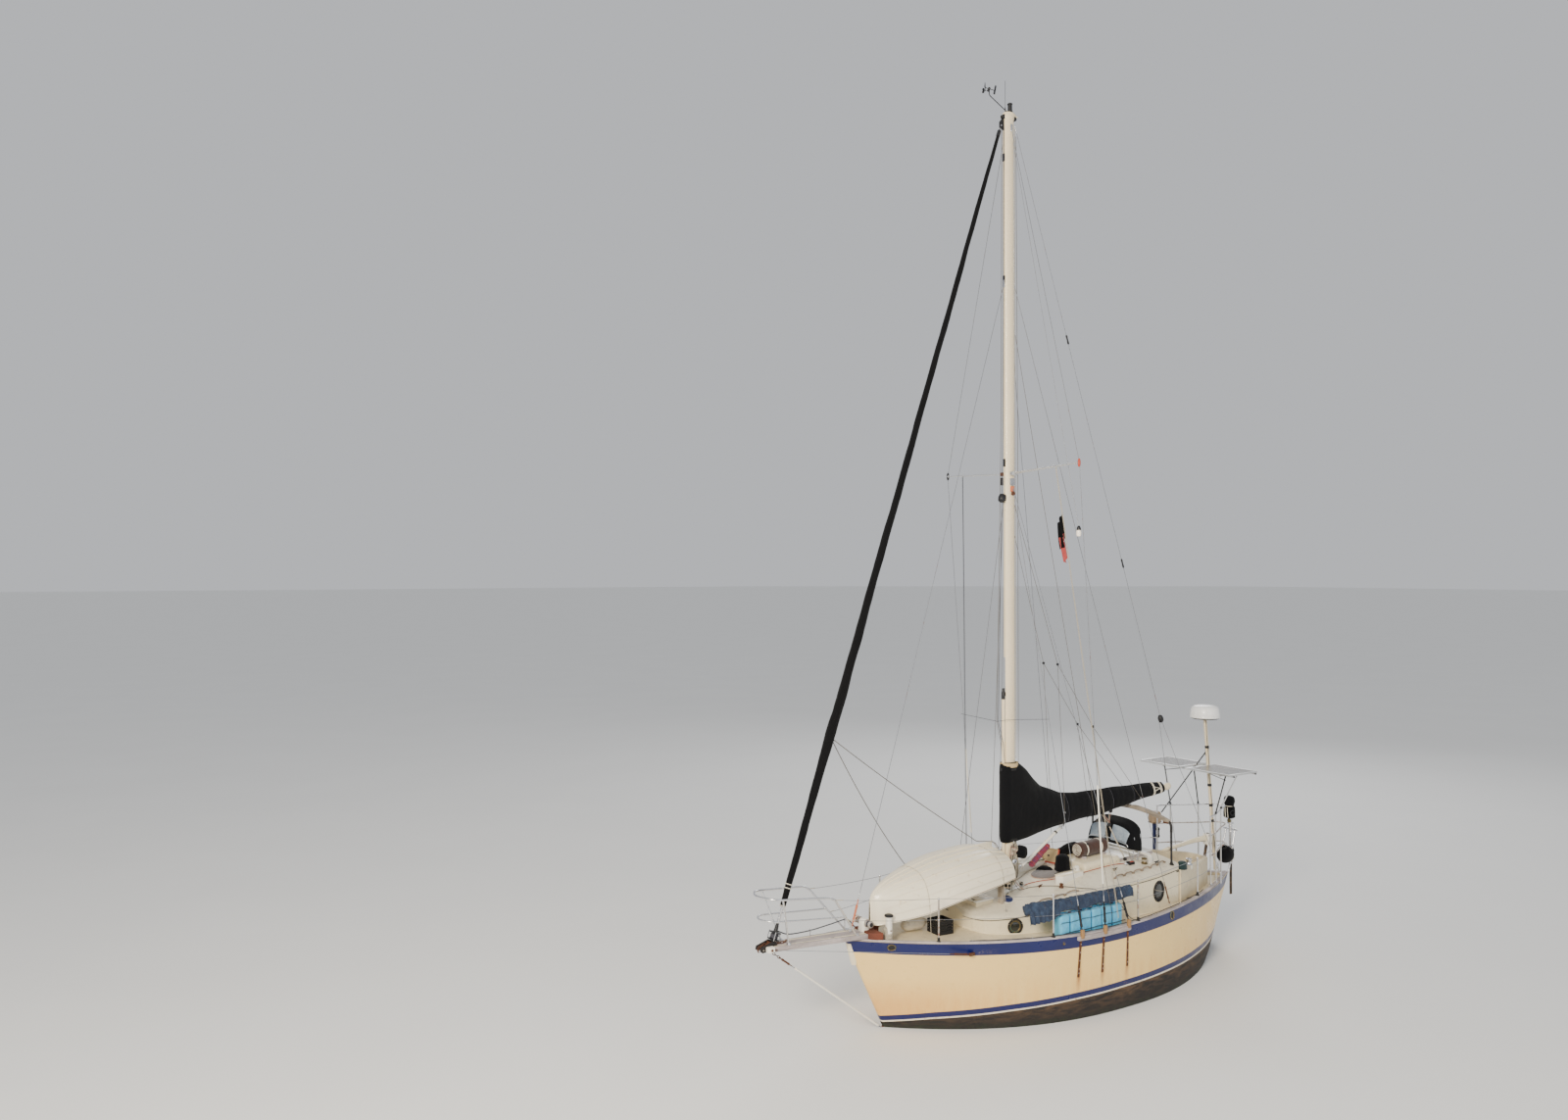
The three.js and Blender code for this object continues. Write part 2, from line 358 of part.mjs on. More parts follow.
// shrouds, columns: name, top x, top y, top z, foot x; feet on plates outside the hull
const WIRE = 4;
const FEET = { fore: 957, cap: 511, aft: -5 };
const foot = (x, s, z = 1290) => [x, s * (sheerHalf(x) + 26), z];
const plate = (x, s) => box(x - 22, x + 22, s > 0 ? sheerHalf(x) + 13 : -sheerHalf(x) - 26, s > 0 ? sheerHalf(x) + 26 : -sheerHalf(x) - 13, 620, 1300);
for (const [side, s] of [['port', 1], ['starboard', -1]]) {
  const tip = [MAST.x, s * (SPREADER.half + 12), SPREADER.z + SPREADER.rise];
  const screw = (p, q) => { const f = 380 / Math.hypot(q[0] - p[0], q[1] - p[1], q[2] - p[2]); return rod(p, p.map((v, i) => lerp(v, q[i], f)), 12, 6); };
  const capFoot = foot(FEET.cap, s);
  add('cap_shroud_' + side, join(tube([capFoot, tip, [MAST.x, s * 69, 13500]], WIRE, 4), screw(capFoot, tip), plate(FEET.cap, s)), 'wire');
  const tang = [MAST.x, s * (MAST.b + 8), 7900];
  const low = ['fore', 'aft'].map(k => { const f = foot(FEET[k], s); return [rod(f, tang, WIRE, 4), screw(f, tang), plate(FEET[k], s)]; }).flat();
  add('lower_shrouds_' + side, join(...low, box(MAST.x - 20, MAST.x + 20, s > 0 ? MAST.b + 1 : -MAST.b - 12, s > 0 ? MAST.b + 12 : -MAST.b - 1, 7840, 7960)), 'wire');
}
const furl = (x0, z0, x1, z1, f) => [lerp(x0, x1, f), 0, lerp(z0, z1, f)];
const STAY = { top: [1216, 13440], foot: [5352, 1560] };
const stayAt = z => [lerp(STAY.foot[0], STAY.top[0], (z - STAY.foot[1]) / (STAY.top[1] - STAY.foot[1])), 0, z];
const along = (z, r) => { const p = stayAt(z), g = oval(8, r, r); const d = new THREE.Vector3(STAY.top[0] - STAY.foot[0], 0, STAY.top[1] - STAY.foot[1]).normalize(); const e = new THREE.Vector3(d.z, 0, -d.x); return g.map(([a, b]) => [p[0] + e.x * a, b, p[2] + e.z * a]); };
// furled headsail, columns: height, radius
const FURL = [[13330, 26], [12400, 34], [10500, 42], [8000, 50], [6000, 58], [4300, 72], [3700, 60], [2500, 48], [1960, 40]];
add('furled_headsail', join(loft(FURL.map(([z, r]) => along(z, r))), rod(stayAt(13320), [1206, 0, 13476], 8, 6)), 'canvas');
add('furling_drum', join(rod(stayAt(1958), stayAt(1800), 16, 8), rod(stayAt(1800), stayAt(1770), 75, 12), rod(stayAt(1780), stayAt(1660), 52, 12), rod(stayAt(1690), stayAt(1660), 75, 12), rod(stayAt(1670), [5352, 0, 1572], 14, 8)), 'iron');
add('inner_forestay', join(rod([4075, 0, 1446], [1156, 0, 10990], WIRE, 4), rod([4062, 0, 1490], [3950, 0, 1850], 13, 6)), 'wire');
const SPLIT = [-2429, 0, 3998];
const BSFOOT = s => [-3416, s * 447, 1300];
const bsPlate = s => box(-3438, -3394, s > 0 ? 441 : -453, s > 0 ? 453 : -441, 800, 1310);
add('backstay', join(rod(SPLIT, [893, 0, 13540], WIRE, 4), ...[1, -1].map(s => join(rod(SPLIT, BSFOOT(s), WIRE, 4), cut(bsPlate(s), hullSolid.translate([0, s * 2, 0]))))), 'wire');

// ---------------------------------------------------------------- boom, gooseneck, vang, covers
add('gooseneck_bracket', cut(join(box(880, 985, -26, 26, GOOSE.z - 92, GOOSE.z - 66), box(880, 985, -26, 26, GOOSE.z + 66, GOOSE.z + 92), box(948, 975, -34, 34, 1800, GOOSE.z + 130), rod([GOOSE.x, 0, GOOSE.z - 90], [GOOSE.x, 0, GOOSE.z + 90], GOOSE.pin, 10), box(872, 985, -22, 22, 1846, 1862)), mastKeep), 'steel');
const boomZ = x => lerp(GOOSE.z, BOOM.end[1], (GOOSE.x - x) / (GOOSE.x - BOOM.end[0]));
const boomRing = (x, a, b) => oval(12, b, a).map(([p, q]) => [x, p, boomZ(x) + q]);
const boom = join(loft([[GOOSE.x - 22, 40, 30], [GOOSE.x - 120, BOOM.a, BOOM.b], [BOOM.end[0] + 60, BOOM.a, BOOM.b], [BOOM.end[0], BOOM.a, BOOM.b]].map(([x, a, b]) => boomRing(x, a, b))), rod([GOOSE.x, 0, GOOSE.z - 60], [GOOSE.x, 0, GOOSE.z + 60], 26, 12));
add('boom', cut(boom, rod([GOOSE.x, 0, GOOSE.z - 100], [GOOSE.x, 0, GOOSE.z + 100], GOOSE.eye, 12)), 'mast');
// sail cover on the boom, columns: x, top, bottom, half width
const COVER = [[735, 3420, 2370, 118], [415, 3137, 2425, 138], [7, 2990, 2478, 138], [-389, 2945, 2520, 132], [-908, 2950, 2545, 128], [-1300, 2950, 2600, 118], [-1777, 2940, 2672, 100], [-2215, 2935, 2722, 85], [-2440, 2915, 2745, 76]];
const coverRing = ([x, t, b, w]) => [[0, 1], [0.55, 0.86], [0.85, 0.55], [1, 0.25], [0.9, 0.06], [0.4, 0], [-0.4, 0], [-0.9, 0.06], [-1, 0.25], [-0.85, 0.55], [-0.55, 0.86]].map(([k, f]) => [x, k * w, lerp(b, t, f)]);
const boomKeep = loft([[GOOSE.x, 0], [BOOM.end[0] - 100, 0]].map(([x]) => oval(12, BOOM.b + 2, BOOM.a + 2).map(([p, q]) => [x, p, boomZ(x) + q])));
add('boom_sail_cover', cut(loft(COVER.map(coverRing)), boomKeep), 'canvas');
const vangTop = [-150, 0, boomZ(-150) - BOOM.a - 2];
add('boom_vang', join(rod([845, 0, 1905], [-60, 0, 2442], 22, 10), rod([300, 0, 2228], [845, 0, 1905], 30, 10), box(830, 900, -10, 10, 1868, 1930), box(-130, -40, -14, 14, 2420, 2468)), 'white');
const POLE = { x: 1184, r: 27, z0: 1712, z1: 4640 };
add('luff_cover', cut(loft([[2345, 160, 80], [2420, 160, 104], [3200, 158, 112], [3480, 152, 98], [3575, 146, 76]].map(([z, a, b]) => oval(14, a, b).map(([p, q]) => [Math.max(947, 1064 + p), q, z]))), mastKeep, box(800, 990, -60, 60, 2300, 2600), rod([POLE.x, 0, 2200], [POLE.x, 0, 3700], POLE.r + 2, 12)), 'canvas');
add('whisker_pole', cut(join(rod([POLE.x, 0, POLE.z0], [POLE.x, 0, POLE.z1], POLE.r, 10), box(POLE.x - 14, POLE.x + 14, -12, 12, POLE.z1 - 5, POLE.z1 + 95), box(1100, 1180, -18, 18, POLE.z1 + 50, POLE.z1 + 90), box(1100, 1180, -18, 18, 1780, 1820)), mastKeep), 'white');

// ---------------------------------------------------------------- guard rails
const STANCHIONS = [3050, 1420, -290, -2216];     // x of each post
for (const [side, s] of [['port', 1], ['starboard', -1]]) {
  const base = x => [x, s * (sheerHalf(x) - 24), capTop(x) + GAP];
  const at = (x, h) => [x, s * (sheerHalf(x) - 24), capTop(x) + h];
  const posts = STANCHIONS.map(x => rod([base(x)[0], base(x)[1], base(x)[2] + 1], at(x, 612), 12.5, 6));
  const top = [[4565, s * 326, 2046], ...STANCHIONS.map(x => at(x, 602)), [-3000, s * 560, 1790]];
  const mid = [[4290, s * 221, 1702], ...STANCHIONS.map(x => at(x, 310)), [-3000, s * 560, 1490]];
  add('lifelines_' + side, cut(join(...posts, tube(top, 3.5, 4), tube(mid, 3.5, 4)), tube(upper, PUL + GAP), rod([-3000, s * 560, 1100], [-3000, s * 560, 2500], 13 + GAP, 6)), 'steel');
}
// stern rail: posts and three curved rails
const RAIL = [[-3000, 560], [-3250, 474], [-3700, 236], [-4000, 110]];      // x, half width
const railAt = z => [...RAIL.map(([x, y]) => [x, y, z]), [-4085, 0, z], ...RAIL.slice().reverse().map(([x, y]) => [x, -y, z])];
const RAILS = [[2360, 13], [2040, 11], [1700, 11]];
const postAt = i => [1, -1].map(s => rod([RAIL[i][0], s * RAIL[i][1], capTop(RAIL[i][0]) + 2], [RAIL[i][0], s * RAIL[i][1], RAILS[0][0]], 13, 6));
add('stern_rail', join(...RAILS.map(([z, r]) => tube(railAt(z), r)), ...postAt(0), ...postAt(1), ...postAt(2)), 'steel');

// ---------------------------------------------------------------- stern gear
add('radar_pole', cut(join(rod(RADAR.base, RADAR.top, RADAR.r, 12), rod([-3790, -100, 3300], [-3480, -400, 2400], 11, 6))), 'steel');
const domeProfile = [[0, 0], [200, 0], [240, 24], [255, 60], [250, 150], [225, 215], [160, 243], [0, 250]].map(p => new THREE.Vector2(...p));
add('radar_dome', new THREE.LatheGeometry(domeProfile, 24).rotateX(Math.PI / 2).translate(RADAR.top[0], RADAR.top[1], RADAR.top[2] + 3), 'white');
const PANEL = { x0: -3150, x1: -3900, z: 3060, t: 32, tilt: -0.06 };
for (const [side, y0, y1] of [['port', -30, 820], ['starboard', -1060, -210]])
  add('solar_panel_' + side, box(PANEL.x1, PANEL.x0, y0, y1, PANEL.z, PANEL.z + PANEL.t), 'panel');
const strut = (x, y, x2, y2) => rod([x, y, 2374], [x2, y2, PANEL.z - 20], 11, 6);
add('solar_frame', cut(join(rod([-3300, -1040, PANEL.z - 16], [-3300, 800, PANEL.z - 16], 15, 6), rod([-3880, -1040, PANEL.z - 16], [-3880, 800, PANEL.z - 16], 15, 6), ...[-600, 600].map(y => rod([-3200, y, PANEL.z - 16], [-3870, y, PANEL.z - 16], 12, 6)),
  strut(-3250, 474, -3300, 640), strut(-3250, -474, -3300, -640), strut(-3700, 236, -3880, 480), strut(-3700, -236, -3880, -480)), box(-5000, -2000, -1000, 1000, PANEL.z - GAP, PANEL.z + 60), box(-5000, -2000, -1000, 1000, 2000, 2373.5)), 'steel');
const vaneLegs = [1, -1].map(s => join(rod([-4120, -60 + s * 120, 1000], [-4370, -60 + s * 90, 1900], 16, 8), rod([-4115, -60 + s * 125, 1572], [-4290, -60 + s * 100, 1620], 14, 8)));
add('wind_vane_gear', cut(join(...vaneLegs, rod([-4360, -200, 1880], [-4360, 80, 1880], 18, 8), rod([-4360, -60, 1250], [-4360, -60, 2150], 34, 10), box(-4420, -4240, -170, 60, 2080, 2300), rod([-4330, -60, 2290], [-4330, -60, 2480], 95, 10), box(-4400, -4330, -75, -45, 700, 1300)), hull, hullUp, cut(capOuter, capInner), cut(capOuter, capInner).translate([0, 0, GAP]), man(tube(railAt(1700), 12)), man(tube(railAt(2040), 12))), 'iron');
add('stern_bag', new THREE.SphereGeometry(1, 12, 8).rotateX(Math.PI / 2).scale(196, 140, 150).rotateZ(0.08).translate(-3906, 172, 1532), 'canvas');
const motor = join(box(-3200, -2960, -760, -600, 2020, 2230), rod([-3080, -690, 2030], [-3080, -690, 1500], 42, 10), box(-3190, -3050, -700, -680, 1330, 1520), rod([-3150, -690, 1390], [-3030, -690, 1390], 40, 8), box(-3110, -3050, -660, -585, 1760, 1960));
add('outboard_motor', motor, 'white');

// ---------------------------------------------------------------- deck gear
const dz = (x, y) => deckZ(x, y);
// upturned dinghy, columns: x, keel height, gunwale height, half breadth, fullness
const DINGHY = [[3745, 1830, 1500, 14], [3660, 1960, 1505, 130], [3420, 2090, 1560, 275], [3050, 2200, 1645, 450], [2600, 2300, 1765, 560], [2150, 2345, 1850, 590], [1760, 2360, 1895, 560], [1420, 2300, 1930, 500]];
const dinghyRing = ([x, k, g, b], t = 0) => [[0, 1], [0.42, 0.93], [0.76, 0.72], [0.95, 0.36], [1, 0.0]].map(([y, f]) => [x, y * (b - t), lerp(g, k - t, f)]);
const dinghyShell = (t, drop) => loft(DINGHY.map(([x, k, g, b], i) => {
  const port = dinghyRing([x - (x > 3500 ? t : 0) + (i === DINGHY.length - 1 ? t : 0), k, g, Math.max(b, t + 4)], t).map(([X, Y, Z], j) => [X, Y, j === 4 ? Z - drop : Z]);
  return [...port.slice().reverse(), ...mirrorY(port).slice(1)];
}));
const skeg = slab([[1424, 2290], [1430, 2362], [1700, 2410], [2150, 2372], [2700, 2300], [3000, 2190]], 'y', -9, 9);
const dinghySolid = join(cut(dinghyShell(0, 0), dinghyShell(14, 60)), cut(skeg, dinghyShell(14, 60)));
add('dinghy', dinghySolid, 'dinghy');
add('dinghy_chock', onRoof(box(1560, 1620, -560, 560, 1830, 1894), box(1565, 1615, -420, -340, 1400, 1840), box(1565, 1615, 340, 420, 1400, 1840)), 'wood');
add('dinghy_bow_block', seat(box(3490, 3570, -220, -120, 1150, 1520)), 'wood');
add('windlass', onSprit(rod([3850, -190, 1555], [3850, 190, 1555], 54, 10), box(3785, 3915, -80, 80, 1390, 1590)), 'white');
add('bollard', seat(rod([3600, 262, 1150], [3600, 262, 1655], 48, 10), rod([3600, 262, 1650], [3600, 262, 1685], 60, 10)), 'white');
add('fender', new THREE.LatheGeometry([[0, 0], [36, 12], [88, 70], [95, 130], [95, 330], [80, 400], [34, 450], [0, 462]].map(p => new THREE.Vector2(...p)), 14).rotateZ(Math.PI / 2).translate(3130, -60, 1362), 'white');
add('deck_crate', seat(join(cut(box(2470, 2750, 60, 330, 1180, 1450), box(2485, 2735, 75, 315, 1275, 1500)))), 'canvas');
add('forehatch', onRoof(box(1640, 2000, -290, 290, 1400, 1640)), 'gelcoat');
const rollZ = x => roofZ(x) + 92 + 135;
add('roof_roll', loft([[-330, 105], [-350, 128], [-920, 128], [-940, 105]].map(([x, r]) => oval(12, r, r).map(([p, q]) => [x, 70 + p, rollZ(-340) + (x + 340) * -0.04 + q + 4]))), 'brown');
// traveller arch over the hatch
const archX = -1420, archTop = 1965;
add('traveller_arch', onRoof(loft([-640, -500, 0, 500, 640].map((y, i) => { const z = [1905, 1945, 1962, 1945, 1905][i]; return [[archX - 30, y, z - 34], [archX + 30, y, z - 34], [archX + 30, y, z], [archX - 30, y, z]]; })), ...[1, -1].map(s => box(archX - 30, archX + 30, s > 0 ? 590 : -640, s > 0 ? 640 : -590, 1600, 1895))), 'white');
// dodger: open behind and below, columns: x, top, half width
const DODGE = [[-962, 1985, 430], [-1000, 2130, 440], [-1080, 2330, 455], [-1200, 2430, 470], [-1370, 2460, 480]];
const dodgeRing = (x, t, w, o) => [[x, -w + o, 1500], [x, -w + o, t - 130], [x, -w * 0.72 + o, t - o - 20], [x, 0, t - o], [x, w * 0.72 - o, t - o - 20], [x, w - o, t - 130], [x, w - o, 1500]];
const dodgeOuter = loft(DODGE.map(([x, t, w]) => dodgeRing(x, t, w, 0)));
const dodgeInner = loft([[-977, 1965, 430], [-1015, 2115, 440], [-1092, 2322, 455], [-1205, 2424, 470], [-1460, 2457, 480]].map(([x, t, w]) => dodgeRing(x, t, w, 14)));
add('dodger', cut(dodgeOuter, dodgeInner, underRoof, loft([-190, -1100].map(x => hoodRing(x, false))).translate(0, 0, GAP)), 'canvas');
// boom gallows: arched beam on two posts
const gal = y => 2625 - 135 * (Math.abs(y) / 850) ** 2;
add('boom_gallows', cut(join(loft([-880, -600, -300, 0, 300, 600, 880].map(y => { const z = gal(y); return [[-1700, y, z - 62], [-1640, y, z - 62], [-1640, y, z], [-1700, y, z]]; })), ...[1, -1].map(s => rod([-1670, s * 835, 1600], [-1670, s * 835, 2460], 19, 8))), underRoof), 'wood');
// water cans lashed to a board along the port side deck
const CANX = [1140, 920, 700, 480, 260, 40];
const canY = 1163;
const canBoard = loft([1250, 600, -70].map(x => [[x, canY + 92, 1190], [x, canY + 110, 1190], [x, canY + 110, 1330], [x, canY + 92, 1330]]));
const can = x => slab([[x - 100, 1100], [x + 100, 1100], [x + 100, 1500], [x + 60, 1545], [x - 60, 1545], [x - 100, 1500]], 'y', canY - 88, canY + 93);
add('water_cans', cut(join(...CANX.map(can), canBoard), hullUp), 'can');
// rolled awning on top of them, columns: x, y, radius
add('tarp_roll', loft([[1790, 1070, 40], [1740, 1080, 80], [1420, 1160, 88], [1100, 1190, 92], [500, 1195, 86], [-200, 1195, 92], [-310, 1195, 40]].map(([x, y, r]) => oval(10, r, r).map(([p, q]) => [x, y + p * 0.9, 1668 + q]))), 'tarp');

export default boat;
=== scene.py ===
import bpy, bmesh, math, random, json
import numpy as np
from mathutils import Vector, Matrix, noise
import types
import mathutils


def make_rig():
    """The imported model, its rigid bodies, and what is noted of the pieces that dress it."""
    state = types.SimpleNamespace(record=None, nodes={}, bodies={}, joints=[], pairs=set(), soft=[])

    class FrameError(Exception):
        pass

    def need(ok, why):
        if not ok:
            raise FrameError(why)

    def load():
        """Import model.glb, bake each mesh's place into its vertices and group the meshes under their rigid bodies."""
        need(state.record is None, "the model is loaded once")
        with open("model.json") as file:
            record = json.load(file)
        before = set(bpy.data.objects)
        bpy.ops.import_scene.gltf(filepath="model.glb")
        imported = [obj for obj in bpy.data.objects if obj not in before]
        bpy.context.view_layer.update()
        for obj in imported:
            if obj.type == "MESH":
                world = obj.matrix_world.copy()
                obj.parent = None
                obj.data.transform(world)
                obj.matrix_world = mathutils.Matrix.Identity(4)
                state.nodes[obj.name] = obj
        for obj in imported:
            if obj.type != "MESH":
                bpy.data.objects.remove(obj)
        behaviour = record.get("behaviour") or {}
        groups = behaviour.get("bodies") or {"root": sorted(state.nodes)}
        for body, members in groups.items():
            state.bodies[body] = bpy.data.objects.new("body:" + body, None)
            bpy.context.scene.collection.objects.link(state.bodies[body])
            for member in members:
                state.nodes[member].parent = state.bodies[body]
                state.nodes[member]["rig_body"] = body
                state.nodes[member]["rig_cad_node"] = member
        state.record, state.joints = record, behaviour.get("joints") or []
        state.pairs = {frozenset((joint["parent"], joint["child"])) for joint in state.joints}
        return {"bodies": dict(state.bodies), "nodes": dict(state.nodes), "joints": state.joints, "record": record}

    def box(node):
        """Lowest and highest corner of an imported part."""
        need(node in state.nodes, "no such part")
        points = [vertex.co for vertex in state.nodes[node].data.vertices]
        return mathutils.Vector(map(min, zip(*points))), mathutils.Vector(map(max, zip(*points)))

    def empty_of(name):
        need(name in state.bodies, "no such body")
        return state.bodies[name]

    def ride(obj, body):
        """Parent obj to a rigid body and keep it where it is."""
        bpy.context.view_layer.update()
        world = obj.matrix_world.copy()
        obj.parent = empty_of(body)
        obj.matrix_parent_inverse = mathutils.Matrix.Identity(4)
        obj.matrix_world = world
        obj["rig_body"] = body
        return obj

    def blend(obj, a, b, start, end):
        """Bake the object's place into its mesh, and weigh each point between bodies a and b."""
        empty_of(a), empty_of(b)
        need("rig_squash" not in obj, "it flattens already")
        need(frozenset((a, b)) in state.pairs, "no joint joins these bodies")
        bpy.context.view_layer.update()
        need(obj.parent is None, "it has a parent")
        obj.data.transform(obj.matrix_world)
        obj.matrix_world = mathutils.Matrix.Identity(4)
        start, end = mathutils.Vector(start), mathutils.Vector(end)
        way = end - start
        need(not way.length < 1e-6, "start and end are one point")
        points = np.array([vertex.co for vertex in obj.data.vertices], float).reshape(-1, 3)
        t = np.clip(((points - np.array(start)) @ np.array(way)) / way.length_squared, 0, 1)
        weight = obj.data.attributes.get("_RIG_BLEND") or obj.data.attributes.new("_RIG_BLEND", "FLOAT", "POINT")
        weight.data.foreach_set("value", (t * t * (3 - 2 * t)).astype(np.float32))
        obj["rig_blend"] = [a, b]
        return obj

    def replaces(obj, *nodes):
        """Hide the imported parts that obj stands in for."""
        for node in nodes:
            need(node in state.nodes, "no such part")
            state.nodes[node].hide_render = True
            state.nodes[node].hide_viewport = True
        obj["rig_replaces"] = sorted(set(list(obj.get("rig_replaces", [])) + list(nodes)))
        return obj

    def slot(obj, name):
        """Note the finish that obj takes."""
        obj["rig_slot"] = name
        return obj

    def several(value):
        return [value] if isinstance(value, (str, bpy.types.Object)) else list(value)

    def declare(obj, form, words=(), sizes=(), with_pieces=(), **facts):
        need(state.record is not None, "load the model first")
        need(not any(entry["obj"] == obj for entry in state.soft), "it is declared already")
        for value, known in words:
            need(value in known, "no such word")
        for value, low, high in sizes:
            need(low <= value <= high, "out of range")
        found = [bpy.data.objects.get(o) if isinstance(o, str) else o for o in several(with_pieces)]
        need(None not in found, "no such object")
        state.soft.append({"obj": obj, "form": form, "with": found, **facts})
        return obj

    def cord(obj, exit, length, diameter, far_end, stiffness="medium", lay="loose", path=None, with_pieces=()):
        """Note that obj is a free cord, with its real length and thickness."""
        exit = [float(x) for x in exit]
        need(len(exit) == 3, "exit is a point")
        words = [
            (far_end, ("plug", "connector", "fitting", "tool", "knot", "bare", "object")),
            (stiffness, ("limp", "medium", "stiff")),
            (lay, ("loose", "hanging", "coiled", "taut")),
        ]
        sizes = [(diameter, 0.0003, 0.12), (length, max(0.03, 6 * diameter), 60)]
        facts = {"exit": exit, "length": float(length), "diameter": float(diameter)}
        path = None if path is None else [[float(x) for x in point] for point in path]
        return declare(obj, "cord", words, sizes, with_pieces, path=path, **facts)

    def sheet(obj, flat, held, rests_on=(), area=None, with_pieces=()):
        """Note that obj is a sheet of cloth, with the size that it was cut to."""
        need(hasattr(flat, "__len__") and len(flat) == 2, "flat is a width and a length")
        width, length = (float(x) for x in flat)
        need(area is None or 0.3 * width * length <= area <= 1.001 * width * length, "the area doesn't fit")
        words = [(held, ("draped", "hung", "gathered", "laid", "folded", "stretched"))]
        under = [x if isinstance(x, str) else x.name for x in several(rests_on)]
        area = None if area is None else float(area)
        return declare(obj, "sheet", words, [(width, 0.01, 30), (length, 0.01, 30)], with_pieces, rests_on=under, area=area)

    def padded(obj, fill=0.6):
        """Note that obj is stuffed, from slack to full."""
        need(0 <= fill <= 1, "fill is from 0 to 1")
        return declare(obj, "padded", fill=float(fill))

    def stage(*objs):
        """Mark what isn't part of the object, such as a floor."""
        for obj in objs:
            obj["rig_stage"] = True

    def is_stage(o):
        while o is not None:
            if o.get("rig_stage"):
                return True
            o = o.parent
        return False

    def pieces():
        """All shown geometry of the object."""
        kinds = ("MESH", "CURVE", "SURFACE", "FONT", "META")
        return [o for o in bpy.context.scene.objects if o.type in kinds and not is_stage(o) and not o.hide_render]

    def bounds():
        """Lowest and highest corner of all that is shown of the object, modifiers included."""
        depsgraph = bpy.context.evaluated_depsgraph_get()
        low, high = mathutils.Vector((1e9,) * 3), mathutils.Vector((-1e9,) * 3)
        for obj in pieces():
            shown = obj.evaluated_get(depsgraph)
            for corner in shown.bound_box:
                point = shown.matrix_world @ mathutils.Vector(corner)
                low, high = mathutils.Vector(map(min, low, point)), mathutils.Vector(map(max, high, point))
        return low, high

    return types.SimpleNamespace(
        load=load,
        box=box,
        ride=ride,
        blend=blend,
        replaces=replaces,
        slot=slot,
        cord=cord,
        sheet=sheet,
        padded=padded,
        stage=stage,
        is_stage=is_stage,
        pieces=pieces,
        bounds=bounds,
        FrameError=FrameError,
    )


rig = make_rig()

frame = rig.load()
first_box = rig.bounds()

# ------------------------------------------------------------------ camera, taken from the photograph
FOCAL_PX, CAM = 1162.6, Vector((13.401, 13.158, 6.526))
YAW, PITCH = 4.154, 0.010
look = Vector((math.cos(YAW) * math.cos(PITCH), math.sin(YAW) * math.cos(PITCH), math.sin(PITCH)))
cam_data = bpy.data.cameras.new("camera")
cam_data.sensor_width = 36
cam_data.lens = FOCAL_PX / 1600 * 36
cam_data.clip_end = 500
cam = bpy.data.objects.new("camera", cam_data)
cam.location = CAM
cam.rotation_mode = "QUATERNION"
cam.rotation_quaternion = look.to_track_quat("-Z", "Y")
bpy.context.scene.collection.objects.link(cam)
bpy.context.scene.camera = cam

# ------------------------------------------------------------------ small helpers
def lerp(a, b, f):
    return a + (b - a) * f

def table(rows, x):
    rows = sorted(rows)
    return float(np.interp(x, [r[0] for r in rows], [r[1] for r in rows]))

def catmull(pts, n):
    """a smooth open curve through pts, n steps a span"""
    p = [np.array(q, float) for q in pts]
    p = [2 * p[0] - p[1]] + p + [2 * p[-1] - p[-2]]
    out = []
    for i in range(1, len(p) - 2):
        for k in range(n):
            t = k / n
            a, b, c, d = p[i - 1], p[i], p[i + 1], p[i + 2]
            out.append(0.5 * (2 * b + (c - a) * t + (2 * a - 5 * b + 4 * c - d) * t * t + (3 * b - a - 3 * c + d) * t ** 3))
    out.append(p[-2])
    return [tuple(float(x) for x in q) for q in out]

def circle(n, a, b=None, start=0.0):
    b = a if b is None else b
    return [(a * math.cos(start + 2 * math.pi * i / n), b * math.sin(start + 2 * math.pi * i / n)) for i in range(n)]

def basis(d, up=(0, 0, 1)):
    d = Vector(d).normalized()
    u = Vector(up)
    if abs(d.dot(u)) > 0.98:
        u = Vector((1, 0, 0))
    s = d.cross(u).normalized()
    return d, s, s.cross(d).normalized()

